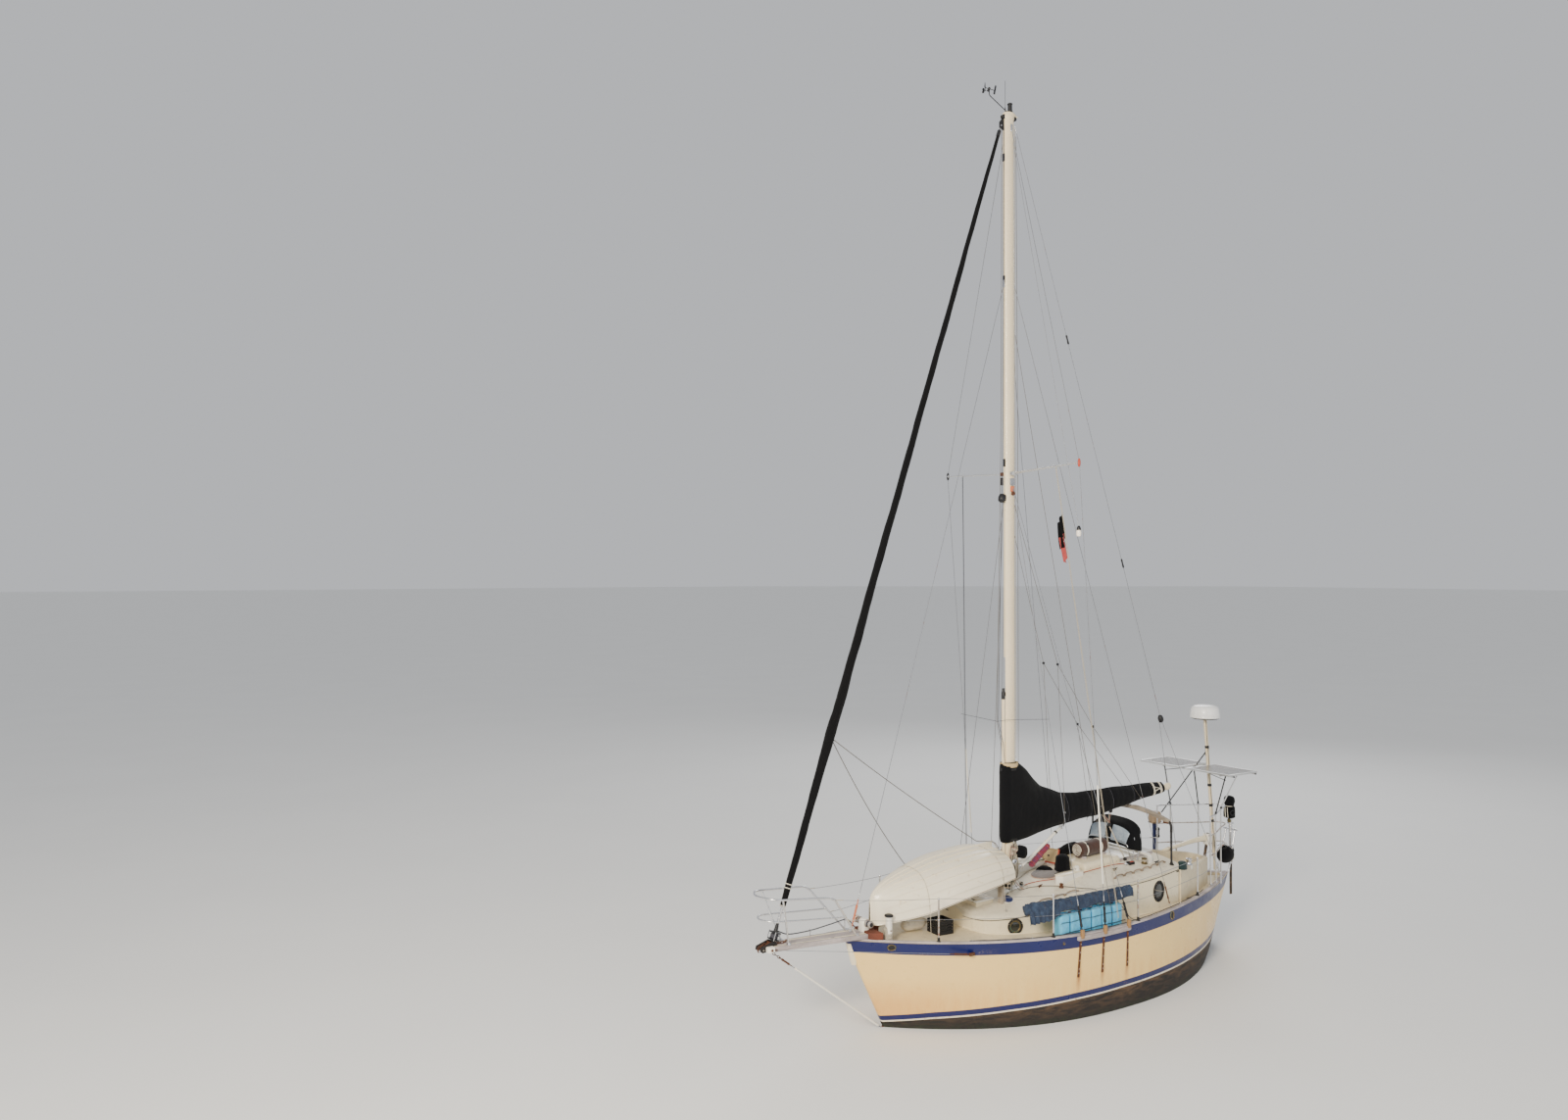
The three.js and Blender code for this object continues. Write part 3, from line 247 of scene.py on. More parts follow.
class Piece:
    """collects shapes with their materials, and makes one mesh object that rides on a body"""
    def __init__(self, name, body="hull_body", angle=38):
        self.name, self.body, self.angle = name, body, angle
        self.v, self.f, self.m, self.mats = [], [], [], []

    def slot(self, mat):
        if mat not in self.mats:
            self.mats.append(mat)
        return self.mats.index(mat)

    def add(self, verts, faces, mat):
        o, k = len(self.v), self.slot(mat)
        self.v += [tuple(p) for p in verts]
        self.f += [tuple(i + o for i in q) for q in faces]
        self.m += [k] * len(faces)
        return self

    def loft(self, rings, mat, caps=True, closed=True, wrap=False):
        n, m = len(rings[0]), len(rings)
        v = [p for r in rings for p in r]
        f = []
        for i in range(m if wrap else m - 1):
            for j in range(n if closed else n - 1):
                a, b = i * n + j, i * n + (j + 1) % n
                c, d = ((i + 1) % m) * n + j, ((i + 1) % m) * n + (j + 1) % n
                f.append((a, b, d, c))
        if caps and closed and not wrap:
            f.append(tuple(range(n - 1, -1, -1)))
            f.append(tuple((m - 1) * n + i for i in range(n)))
        return self.add(v, f, mat)

    def tube(self, pts, r, mat, n=10, caps=True, wrap=False):
        """round tube along pts; r is one radius or one for each point"""
        P = [Vector(p) for p in pts]
        R = [r] * len(P) if not hasattr(r, "__len__") else list(r)
        tang = []
        for i in range(len(P)):
            a = P[i] - P[i - 1] if (i or wrap) else P[1] - P[0]
            b = P[(i + 1) % len(P)] - P[i] if (i < len(P) - 1 or wrap) else P[-1] - P[-2]
            tang.append((a.normalized() + b.normalized()).normalized())
        _, s, u = basis(tang[0])
        rings = []
        for i, (p, t) in enumerate(zip(P, tang)):
            s = (s - t * s.dot(t)).normalized()
            u = s.cross(t).normalized()
            rings.append([p + s * (R[i] * c) + u * (R[i] * q) for c, q in circle(n, 1)])
        return self.loft(rings, mat, caps=caps, wrap=wrap)

    def rod(self, p, q, r, mat, n=10, r2=None):
        return self.tube([p, q], [r, r if r2 is None else r2], mat, n)

    def lathe(self, prof, at, axis, mat, n=24):
        """prof is (radius, height) along axis from at"""
        d, s, u = basis(axis)
        at = Vector(at)
        rings = [[at + d * h + s * (max(r, 1e-4) * c) + u * (max(r, 1e-4) * q) for c, q in circle(n, 1)] for r, h in prof]
        return self.loft(rings, mat)

    def ball(self, at, rad, mat, n=16, m=10):
        rad = (rad,) * 3 if not hasattr(rad, "__len__") else rad
        rings = []
        for i in range(m + 1):
            th = math.pi * (i / m)
            rr = max(math.sin(th), 1e-3)
            rings.append([(at[0] + rad[0] * rr * c, at[1] + rad[1] * rr * q, at[2] + rad[2] * math.cos(th)) for c, q in circle(n, 1)])
        return self.loft(rings, mat)

    def box(self, lo, hi, mat, bevel=0.004, seg=2, turn=None):
        """a block with rounded edges; turn is a matrix applied about its centre"""
        bm = bmesh.new()
        bmesh.ops.create_cube(bm, size=1)
        c = [(a + b) / 2 for a, b in zip(lo, hi)]
        size = [abs(b - a) for a, b in zip(lo, hi)]
        for v in bm.verts:
            v.co = Vector((v.co.x * size[0], v.co.y * size[1], v.co.z * size[2]))
        b = min(bevel, 0.45 * min(size))
        if b > 0:
            bmesh.ops.bevel(bm, geom=list(bm.edges), offset=b, segments=seg, profile=0.5, affect="EDGES")
        if turn is not None:
            bm.transform(turn)
        bmesh.ops.translate(bm, verts=bm.verts, vec=c)
        bm.verts.index_update()
        self.add([tuple(v.co) for v in bm.verts], [tuple(v.index for v in f.verts) for f in bm.faces], mat)
        bm.free()
        return self

    def slab(self, outline, axis, lo, hi, mat, bevel=0.0, seg=2):
        """flat outline of [a, b] pushed along an axis: 'y' takes (x, z), 'z' takes (x, y), 'x' takes (y, z)"""
        put = {"y": lambda a, b, h: (a, h, b), "z": lambda a, b, h: (a, b, h), "x": lambda a, b, h: (h, a, b)}[axis]
        bm = bmesh.new()
        base = bm.faces.new([bm.verts.new(put(a, b, lo)) for a, b in outline])
        out = bmesh.ops.extrude_face_region(bm, geom=[base])
        d = Vector(put(0, 0, hi - lo))
        bmesh.ops.translate(bm, verts=[g for g in out["geom"] if isinstance(g, bmesh.types.BMVert)], vec=d)
        bmesh.ops.recalc_face_normals(bm, faces=bm.faces)
        if bevel > 0:
            bmesh.ops.bevel(bm, geom=list(bm.edges), offset=bevel, segments=seg, profile=0.5, affect="EDGES")
        bm.verts.index_update()
        self.add([tuple(v.co) for v in bm.verts], [tuple(v.index for v in f.verts) for f in bm.faces], mat)
        bm.free()
        return self

    def ring(self, at, axis, R, r, mat, n=20, k=8):
        d, s, u = basis(axis)
        at = Vector(at)
        return self.tube([at + s * (R * c) + u * (R * q) for c, q in circle(n, 1)], r, mat, n=k, wrap=True)

    def done(self, replaces=(), slot=None, ride=True, fix=True):
        me = bpy.data.meshes.new(self.name)
        me.from_pydata([tuple(float(x) for x in p) for p in self.v], [], self.f)
        for m in self.mats:
            me.materials.append(m)
        me.polygons.foreach_set("material_index", self.m)
        me.update()
        if fix:
            bm = bmesh.new()
            bm.from_mesh(me)
            bmesh.ops.recalc_face_normals(bm, faces=bm.faces)
            bm.to_mesh(me)
            bm.free()
        me.polygons.foreach_set("use_smooth", [True] * len(me.polygons))
        me.set_sharp_from_angle(angle=math.radians(self.angle))
        o = bpy.data.objects.new(self.name, me)
        bpy.context.scene.collection.objects.link(o)
        if ride:
            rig.ride(o, self.body)
        if replaces:
            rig.replaces(o, *replaces)
        if slot:
            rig.slot(o, slot)
        return o

# ------------------------------------------------------------------ materials
class Mat:
    def __init__(self, name):
        self.m = bpy.data.materials.new(name)
        self.m.use_nodes = True
        self.t = self.m.node_tree
        self.b = self.t.nodes["Principled BSDF"]
        self.co = self.t.nodes.new("ShaderNodeTexCoord").outputs["Object"]

    def node(self, kind, **kw):
        n = self.t.nodes.new(kind)
        for k, v in kw.items():
            if k in n.inputs:
                n.inputs[k].default_value = v
            else:
                setattr(n, k, v)
        return n

    def link(self, a, b):
        self.t.links.new(a, b)

    def scaled(self, sx, sy, sz, co=None):
        n = self.node("ShaderNodeMapping")
        n.inputs["Scale"].default_value = (sx, sy, sz)
        self.link(co or self.co, n.inputs["Vector"])
        return n.outputs["Vector"]

    def noise(self, scale, detail=4, rough=0.55, co=None, dist=0.0):
        n = self.node("ShaderNodeTexNoise")
        n.inputs["Scale"].default_value = scale
        n.inputs["Detail"].default_value = detail
        n.inputs["Roughness"].default_value = rough
        n.inputs["Distortion"].default_value = dist
        self.link(co or self.co, n.inputs["Vector"])
        return n.outputs["Fac"]

    def wave(self, scale, co=None, axis="X", dist=0.0, kind="BANDS"):
        n = self.node("ShaderNodeTexWave")
        n.wave_type = kind
        if kind == "BANDS":
            n.bands_direction = axis
        n.inputs["Scale"].default_value = scale
        n.inputs["Distortion"].default_value = dist
        self.link(co or self.co, n.inputs["Vector"])
        return n.outputs["Fac"]

    def ramp(self, fac, stops):
        """stops are (place, colour or grey)"""
        n = self.node("ShaderNodeValToRGB")
        while len(n.color_ramp.elements) < len(stops):
            n.color_ramp.elements.new(0.5)
        for e, (p, c) in zip(n.color_ramp.elements, stops):
            e.position = p
            e.color = (c, c, c, 1) if not hasattr(c, "__len__") else (*c, 1)
        self.link(fac, n.inputs["Fac"])
        return n.outputs["Color"]

    def mix(self, fac, a, b, mode="MIX"):
        n = self.node("ShaderNodeMix")
        n.data_type = "RGBA"
        n.blend_type = mode
        for sock, val in ((n.inputs[0], fac), (n.inputs[6], a), (n.inputs[7], b)):
            if hasattr(val, "links"):
                self.link(val, sock)
            elif hasattr(val, "__len__"):
                sock.default_value = (*val, 1)
            else:
                sock.default_value = val if sock is n.inputs[0] else (val, val, val, 1)
        return n.outputs[2]

    def math(self, op, a, b=0.0, clamp=False):
        n = self.node("ShaderNodeMath")
        n.operation = op
        n.use_clamp = clamp
        for sock, val in ((n.inputs[0], a), (n.inputs[1], b)):
            if hasattr(val, "links"):
                self.link(val, sock)
            else:
                sock.default_value = val
        return n.outputs[0]

    def span(self, val, lo, hi, a=0.0, b=1.0):
        n = self.node("ShaderNodeMapRange")
        n.clamp = True
        for k, x in zip((1, 2, 3, 4), (lo, hi, a, b)):
            n.inputs[k].default_value = x
        self.link(val, n.inputs[0])
        return n.outputs[0]

    def xyz(self):
        n = self.node("ShaderNodeSeparateXYZ")
        self.link(self.co, n.inputs[0])
        return n.outputs[0], n.outputs[1], n.outputs[2]

    def bump(self, height, strength=0.3, dist=0.01, over=None):
        n = self.node("ShaderNodeBump")
        n.inputs["Strength"].default_value = strength
        n.inputs["Distance"].default_value = dist
        self.link(height, n.inputs["Height"])
        if over is not None:
            self.link(over, n.inputs["Normal"])
        return n.outputs["Normal"]

    def out(self, color=None, rough=None, normal=None, metal=0.0, **fixed):
        b = self.b
        if color is not None:
            if hasattr(color, "links"):
                self.link(color, b.inputs["Base Color"])
            else:
                b.inputs["Base Color"].default_value = (*color, 1)
        if rough is not None:
            if hasattr(rough, "links"):
                self.link(rough, b.inputs["Roughness"])
            else:
                b.inputs["Roughness"].default_value = rough
        if normal is not None:
            self.link(normal, b.inputs["Normal"])
        b.inputs["Metallic"].default_value = metal
        for k, v in fixed.items():
            b.inputs[k.replace("_", " ")].default_value = v
        return self.m

def srgb(r, g, b):
    return tuple((c / 255 / 12.92) if c / 255 <= 0.04045 else ((c / 255 + 0.055) / 1.055) ** 2.4 for c in (r, g, b))

def shade(c, k):
    return tuple(min(1, x * k) for x in c)

def paint(name, c, var=0.08, scale=3.0, rough=0.35, grain=220, bump=0.05, dirt=None, dirt_at=0.62, coat=0.0, metal=0.0):
    """painted or moulded surface: broad uneven colour, fine grain, optional dirt patches"""
    m = Mat(name)
    col = m.mix(m.noise(scale, 5), shade(c, 1 - var), shade(c, 1 + var * 0.6))
    if dirt is not None:
        mask = m.span(m.noise(scale * 3.1, 8, 0.68, dist=0.4), dirt_at, dirt_at + 0.16)
        col = m.mix(mask, col, dirt)
    rg = m.span(m.noise(scale * 5, 4), 0.3, 0.75, rough * 0.8, min(1, rough * 1.3))
    nm = m.bump(m.noise(grain, 3), bump, 0.002)
    return m.out(col, rg, nm, metal, Coat_Weight=coat)

def wood(name, c, c2, axis="X", rough=0.7):
    m = Mat(name)
    s = {"X": (1.2, 26, 26), "Y": (26, 1.2, 26), "Z": (26, 26, 1.2)}[axis]
    g = m.noise(3.0, 8, 0.65, m.scaled(*s), 0.3)
    col = m.mix(m.ramp(g, [(0.3, 0.0), (0.7, 1.0)]), c, c2)
    col = m.mix(m.span(m.noise(2.2, 5), 0.45, 0.75), col, shade(c, 1.35))
    nm = m.bump(g, 0.45, 0.004, m.bump(m.noise(160, 4), 0.15, 0.001))
    return m.out(col, m.span(g, 0.3, 0.7, rough, rough + 0.2), nm)

def cloth(name, c, c2=None, weave=900, folds=7.0, rough=0.9, fade=0.35, stripes=None, sheen=0.25, spec=0.5):
    """woven fabric: two crossed threads, soft creases, and crease ridges painted lighter as a highlight, which leaves
    the creases darker as painted shade
    """
    m = Mat(name)
    c2 = c2 or shade(c, 1.6)
    w = m.math("MULTIPLY", m.wave(weave, m.scaled(1, 1, 0.0)), m.wave(weave, m.scaled(0.0, 0.3, 1), "Z"))
    big = m.noise(folds, 6, 0.6, m.scaled(1, 1, 0.7), 0.6)
    # painted highlight on the folds: fade sets how far the colour lifts towards c2 where the crease noise, also used as
    # the bump, is high
    col = m.mix(m.math("MULTIPLY", m.span(big, 0.4, 0.8), fade), c, c2)
    col = m.mix(m.math("MULTIPLY", w, 0.35), col, shade(c2, 1.1))
    if stripes:
        col = m.mix(m.span(m.wave(stripes[1], None, "X"), 0.80, 0.86), col, stripes[0])
    nm = m.bump(w, 0.25, 0.0012, m.bump(big, 0.55, 0.02, m.bump(m.noise(folds * 5, 5), 0.35, 0.005)))
    return m.out(col, rough, nm, 0.0, Sheen_Weight=sheen, Sheen_Roughness=0.5, Specular_IOR_Level=spec)

def steel(name, c, rough=0.22, rust=0.66, rust_c=None, metal=1.0, scale=9.0):
    m = Mat(name)
    rc = rust_c or srgb(120, 62, 30)
    mask = m.span(m.noise(scale, 9, 0.7, dist=0.6), rust, rust + 0.10)
    fine = m.noise(140, 4)
    col = m.mix(mask, m.mix(fine, shade(c, 0.8), shade(c, 1.1)), m.mix(fine, shade(rc, 0.6), rc))
    rg = m.span(m.math("ADD", mask, m.math("MULTIPLY", fine, 0.25)), 0.0, 1.0, rough, 0.75)
    me = m.span(mask, 0, 1, metal, 0.1)
    out = m.out(col, rg, m.bump(m.math("ADD", mask, m.math("MULTIPLY", fine, 0.1)), 0.25, 0.002), metal)
    m.link(me, m.b.inputs["Metallic"])
    return out

def rope(name, c, c2, turns=70):
    m = Mat(name)
    x, y, z = m.xyz()
    tw = m.wave(turns, m.scaled(1, 1, 1), "DIAGONAL", 1.0)
    col = m.mix(tw, c, c2)
    col = m.mix(m.span(m.noise(20, 4), 0.4, 0.8), col, shade(c, 0.75))
    return m.out(col, 0.85, m.bump(tw, 0.8, 0.004))

CREAM = srgb(250, 212, 134)
CREAM2 = srgb(233, 222, 196)
NAVY = srgb(6, 19, 82)
WHITE = srgb(238, 234, 222)
BLACK = srgb(22, 22, 26)

def hull_topside():
    """cream gelcoat: chalky patches, yellow stain near the water, brown weeps below the chain plates"""
    m = Mat("hull_gelcoat")
    x, y, z = m.xyz()
    col = m.mix(m.noise(1.3, 6, 0.6), shade(CREAM, 0.93), shade(CREAM, 1.04))
    runs = m.noise(3.0, 7, 0.7, m.scaled(3.2, 3.2, 0.18), 0.3)
    low = m.span(z, 0.78, 0.36)
    col = m.mix(m.math("MULTIPLY", m.math("MULTIPLY", low, m.span(runs, 0.36, 0.72)), 0.55), col, srgb(226, 160, 72))
    bow = m.span(x, 1.9, 3.5)
    col = m.mix(m.math("MULTIPLY", m.math("MULTIPLY", low, bow), 0.5), col, srgb(224, 158, 76))
    weep = None
    for at in (0.957, 0.511, -0.005):
        d = m.math("ABSOLUTE", m.math("ADD", m.math("SUBTRACT", x, at), m.math("MULTIPLY", m.math("SUBTRACT", m.noise(5.0, 3, 0.5, m.scaled(0, 0, 1)), 0.5), 0.07)))
        s = m.math("MULTIPLY", m.span(d, 0.055, 0.004), m.math("MULTIPLY", m.span(z, 0.36, 0.62), m.span(z, 1.02, 0.60)))
        weep = s if weep is None else m.math("MAXIMUM", weep, s)
    col = m.mix(m.math("MULTIPLY", weep, m.span(runs, 0.2, 0.6, 0.35, 0.9)), col, srgb(158, 92, 42))
    scuff = m.span(m.noise(26, 9, 0.75, m.scaled(0.5, 0.5, 2.2)), 0.67, 0.73)
    col = m.mix(m.math("MULTIPLY", scuff, 0.25), col, srgb(178, 148, 106))
    rg = m.span(m.noise(4, 5), 0.3, 0.7, 0.22, 0.42)
    return m.out(col, rg, m.bump(m.noise(2.2, 3), 0.05, 0.02), 0.0, Coat_Weight=0.12, Coat_Roughness=0.2)

def hull_band(name, scratch):
    m = Mat(name)
    x, y, z = m.xyz()
    col = m.mix(m.noise(2.0, 6, 0.6), shade(NAVY, 0.8), shade(NAVY, 1.3))
    if scratch:
        n = m.noise(34, 9, 0.8, m.scaled(0.55, 0.55, 2.0), 0.5)
        at = m.math("MULTIPLY", m.span(m.math("ABSOLUTE", m.math("SUBTRACT", x, 2.45)), 0.22, 0.05), m.span(m.math("ABSOLUTE", m.math("SUBTRACT", z, 1.155)), 0.05, 0.01))
        mask = m.math("MULTIPLY", at, m.span(n, 0.52, 0.62, 0.0, 0.7))
        col = m.mix(mask, col, m.mix(m.noise(60, 3), srgb(96, 52, 34), srgb(190, 178, 160)))
    else:
        mask = m.span(m.noise(9, 9, 0.75, m.scaled(1, 1, 3)), 0.64, 0.67)
        col = m.mix(m.math("MULTIPLY", mask, 0.8), col, m.mix(m.noise(30, 3), srgb(150, 60, 40), srgb(120, 110, 100)))
    return m.out(col, m.span(m.noise(6, 5), 0.3, 0.7, 0.25, 0.45), m.bump(m.noise(3, 3), 0.05, 0.01), 0.0, Coat_Weight=0.08)

def antifoul():
    m = Mat("bottom_paint")
    x, y, z = m.xyz()
    n = m.noise(7, 9, 0.7, m.scaled(0.5, 0.5, 2.2), 0.4)
    top = m.span(z, 0.02, 0.34)
    col = m.mix(n, srgb(14, 14, 16), srgb(44, 38, 34))
    col = m.mix(m.math("MULTIPLY", m.span(n, 0.42, 0.68), m.math("MULTIPLY", top, 0.8)), col, srgb(112, 84, 56))
    col = m.mix(m.math("MULTIPLY", m.span(z, 0.10, 0.0), m.span(m.noise(16, 6), 0.4, 0.7)), col, srgb(40, 50, 30))
    return m.out(col, 0.75, m.bump(n, 0.4, 0.006, m.bump(m.noise(120, 4), 0.2, 0.002)))

def nonskid(name, c):
    m = Mat(name)
    col = m.mix(m.noise(2.5, 6, 0.6), shade(c, 0.88), shade(c, 1.05))
    col = m.mix(m.math("MULTIPLY", m.span(m.noise(9, 9, 0.72, dist=0.5), 0.50, 0.72), 0.4), col, srgb(150, 126, 96))
    return m.out(col, 0.55, m.bump(m.noise(420, 2), 0.2, 0.0015))

def hull_core():
    """the CAD hull inside the painted skin: deck finish above the water, bottom paint below it"""
    m = Mat("hull_core")
    x, y, z = m.xyz()
    top = m.mix(m.noise(2.5, 6, 0.6), shade(srgb(226, 212, 180), 0.88), shade(srgb(226, 212, 180), 1.05))
    top = m.mix(m.math("MULTIPLY", m.span(m.noise(9, 9, 0.72, dist=0.5), 0.50, 0.72), 0.4), top, srgb(150, 126, 96))
    n = m.noise(7, 9, 0.7, m.scaled(0.5, 0.5, 2.2), 0.4)
    low = m.mix(n, srgb(14, 14, 16), srgb(44, 38, 34))
    low = m.mix(m.math("MULTIPLY", m.span(z, 0.10, 0.0), m.span(m.noise(16, 6), 0.4, 0.7)), low, srgb(40, 50, 30))
    return m.out(m.mix(m.span(z, 0.14, 0.12), top, low), m.span(z, 0.12, 0.14, 0.75, 0.55), m.bump(m.noise(420, 2), 0.2, 0.0015))

M = {
    "topside": hull_topside(), "band": hull_band("sheer_band", True), "boot": hull_band("boot_stripe", False),
    "pin": paint("white_line", srgb(232, 222, 200), 0.1, 8, 0.4, dirt=srgb(150, 120, 80), dirt_at=0.55), "antifoul": antifoul(),
    "deck": nonskid("deck_paint", srgb(226, 212, 180)), "roof": nonskid("roof_paint", srgb(228, 219, 196)),
    "house": paint("house_gelcoat", srgb(236, 223, 190), 0.07, 2.2, 0.3, dirt=srgb(196, 170, 124), dirt_at=0.66, coat=0.2),
    "white": paint("white_gelcoat", WHITE, 0.07, 3.5, 0.35, dirt=srgb(176, 160, 130), dirt_at=0.66, coat=0.1),
    "dinghy": paint("dinghy_gelcoat", srgb(240, 230, 206), 0.09, 2.6, 0.35, dirt=srgb(188, 160, 112), dirt_at=0.60, coat=0.15),
    "cap": wood("cap_rail_wood", srgb(184, 174, 172), srgb(136, 126, 124), "X"),
    "teak": wood("weathered_teak", srgb(150, 132, 112), srgb(98, 84, 70), "X"),
    "teak_y": wood("weathered_beam", srgb(158, 146, 130), srgb(104, 94, 84), "Y"),
    "rust_wood": wood("red_brown_block", srgb(106, 54, 36), srgb(66, 34, 24), "Y"),
    "steel": steel("stainless", (0.72, 0.72, 0.73), 0.2, 0.66), "wire": steel("stay_wire", (0.33, 0.34, 0.36), 0.4, 0.58),
    "strap": steel("rusty_strap", srgb(96, 74, 56), 0.55, 0.36, srgb(96, 54, 30), 0.4, 16), "screw": steel("rusty_screw", (0.55, 0.5, 0.45), 0.35, 0.50, srgb(132, 84, 52)),
    "orange": paint("faded_orange", srgb(200, 112, 74), 0.2, 30, 0.6), "bronze": steel("bronze", srgb(120, 104, 72), 0.4, 0.52, srgb(70, 96, 82), 0.8),
    "mast": paint("mast_paint", srgb(232, 216, 184), 0.07, 1.6, 0.35, dirt=srgb(190, 162, 118), dirt_at=0.66, coat=0.1),
    "black": paint("black_plastic", BLACK, 0.25, 12, 0.5), "canvas": cloth("black_canvas", srgb(5, 6, 9), srgb(15, 16, 21), 900, 6.0, sheen=0.05, spec=0.18),
    "canvas2": cloth("furled_cloth", srgb(5, 5, 7), srgb(14, 14, 17), 900, 10.0, sheen=0.05, spec=0.18), "brown": cloth("brown_canvas", srgb(50, 27, 21), srgb(88, 52, 38), 700, 9.0),
    "tarp": cloth("blue_tarp", srgb(20, 34, 58), srgb(62, 84, 112), 800, 12.0, 0.75, 0.6, sheen=0.08), "sail": cloth("sail_cloth", srgb(224, 216, 196), srgb(240, 236, 226), 900, 12.0),
    "red_net": cloth("red_blue_roll", srgb(132, 30, 34), srgb(52, 56, 110), 400, 26.0, 0.85, 0.9), "navy_cloth": cloth("navy_cloth", srgb(24, 40, 96), srgb(60, 84, 140), 900, 9.0),
    "rope": rope("pale_rope", srgb(216, 206, 186), srgb(150, 138, 118)), "rope2": rope("grey_rope", srgb(126, 118, 108), srgb(70, 66, 62)),
    "rope_red": rope("red_flecked_rope", srgb(190, 120, 104), srgb(206, 196, 180)), "rope_dark": rope("dark_rope", srgb(44, 44, 52), srgb(90, 90, 100)),
    "rubber": paint("dark_rubber", srgb(28, 27, 27), 0.2, 20, 0.8), "fender": paint("fender_vinyl", srgb(226, 216, 194), 0.08, 6, 0.45, dirt=srgb(160, 140, 110), dirt_at=0.55),
    "radome": paint("dome_plastic", srgb(238, 238, 236), 0.03, 3, 0.3, coat=0.2), "dark_metal": steel("dark_screw", srgb(34, 31, 30), 0.5, 0.68, srgb(96, 62, 42), 0.3, 18), "alloy": steel("alloy_edge", (0.80, 0.80, 0.79), 0.35, 0.82),
    "beige": paint("cowl_paint", srgb(184, 156, 124), 0.1, 12, 0.4), "blue_leg": paint("blue_leg", srgb(22, 34, 84), 0.15, 12, 0.4), "teal": cloth("winch_cover_cloth", srgb(14, 38, 40), srgb(26, 62, 60), 800, 10.0),
    "grey_cover": cloth("grey_round_cover", srgb(104, 98, 96), srgb(140, 132, 128), 800, 14.0), "red_cloth": cloth("red_flag_cloth", srgb(160, 60, 60), srgb(190, 90, 84), 900, 12.0), "red_line": rope("red_line", srgb(196, 84, 60), srgb(150, 52, 40)),
    "tan_block": steel("tan_toggle", srgb(168, 128, 82), 0.45, 0.62, srgb(96, 58, 34), 0.2, 22), "lamp": paint("lamp_lens", srgb(250, 240, 226), 0.03, 6, 0.25), "red": paint("red_trim", srgb(176, 70, 52), 0.15, 25, 0.6), "tan": paint("tan_board", srgb(196, 172, 128), 0.1, 10, 0.6),
}

def glass(name, c, rough=0.08):
    m = Mat(name)
    col = m.mix(m.noise(9, 5), shade(c, 0.7), shade(c, 1.5))
    return m.out(col, m.span(m.noise(30, 4), 0.3, 0.8, rough, rough + 0.18), None, 0.0, Coat_Weight=0.6)

def clear_vinyl():
    m = Mat("clear_vinyl")
    # painted reflection: pale streaks mixed into the base colour of the clear panes
    col = m.mix(m.noise(14, 6, 0.6, dist=1.0), srgb(92, 116, 140), srgb(190, 202, 210))
    return m.out(col, 0.14, m.bump(m.noise(12, 4, dist=0.8), 0.6, 0.02), 0.0, Alpha=0.72)

def can_plastic():
    m = Mat("blue_can_plastic")
    base = srgb(96, 188, 226)
    col = m.mix(m.noise(5, 5), shade(base, 0.85), shade(base, 1.08))
    col = m.mix(m.math("MULTIPLY", m.span(m.noise(22, 7, 0.7), 0.55, 0.75), 0.35), col, srgb(60, 120, 160))
    return m.out(col, 0.38, m.bump(m.noise(60, 3), 0.1, 0.003), 0.0, Subsurface_Weight=0.1)

def solar_cells():
    """dusty cells with pale grid lines"""
    m = Mat("solar_cells")
    x, y, z = m.xyz()
    lx = m.math("ABSOLUTE", m.math("SUBTRACT", m.math("FRACT", m.math("MULTIPLY", x, 8.0)), 0.5))
    ly = m.math("ABSOLUTE", m.math("SUBTRACT", m.math("FRACT", m.math("MULTIPLY", y, 8.0)), 0.5))
    line = m.math("MAXIMUM", m.span(lx, 0.47, 0.49), m.span(ly, 0.47, 0.49))
    col = m.mix(m.noise(3, 5), srgb(70, 66, 62), srgb(104, 98, 90))
    col = m.mix(line, col, srgb(150, 146, 138))
    col = m.mix(m.math("MULTIPLY", m.span(m.noise(6, 7, 0.7), 0.4, 0.7), 0.5), col, srgb(146, 132, 112))
    return m.out(col, 0.28, None, 0.0, Coat_Weight=0.5)

M["glass"] = glass("window_glass", srgb(34, 38, 36))
M["vinyl"], M["can"], M["cells"] = clear_vinyl(), can_plastic(), solar_cells()

# ------------------------------------------------------------------ hull lines, the same as in the CAD
LOD, HALF = 8.3, 4.15
CAP_OUT, CAP_IN, CAP_T = 0.012, 0.058, 0.024

def sheer_half(x):
    t = min(1, max(0, (HALF - x) / LOD))
    s = ((0.449 - t) / 0.449) ** 2.039 if t < 0.449 else ((t - 0.449) / 0.551) ** 1.984
    return 1.403 * (1 - min(1, s))

def sheer_z(x):
    t = (HALF - x) / LOD
    s, end = ((0.621 - t) / 0.621, 1.347) if t < 0.621 else ((t - 0.621) / 0.379, 1.136)
    return 1.220 + (end - 1.220) * s * s

def deck_z(x, y=0.0):
    b = max(0.06, sheer_half(x))
    return sheer_z(x) - 0.070 + 0.040 * (1 - min(1, (y / b) ** 2))

def side(f):
    return ("f", f, f, 3.49 + 0.66 * f, -3.56 - 0.59 * f ** 0.75, 1.350 + 0.053 * f, 0.503 - 0.054 * f, 2.35 - 0.311 * f, 2.3 - 0.316 * f, 0.035)

LEVELS = [side(1), side(0.865), side(0.62), side(0.32), side(0.1), side(0),
          ("z", -0.18, -0.18, 3.33, -3.42, 1.285, 0.500, 2.10, 2.10, 0.038), ("z", -0.34, -0.33, 3.09, -3.056, 1.12, 0.490, 1.90, 1.80, 0.042),
          ("z", -0.56, -0.54, 2.64, -3.006, 0.76, 0.470, 1.60, 1.50, 0.050), ("z", -0.76, -0.74, 2.08, -2.959, 0.33, 0.460, 1.30, 1.30, 0.055),
          ("z", -0.93, -0.96, 1.50, -2.908, 0.14, 0.500, 1.60, 1.60, 0.060), ("z", -1.01, -1.22, 1.08, -2.850, 0.118, 0.500, 2.20, 2.20, 0.060)]

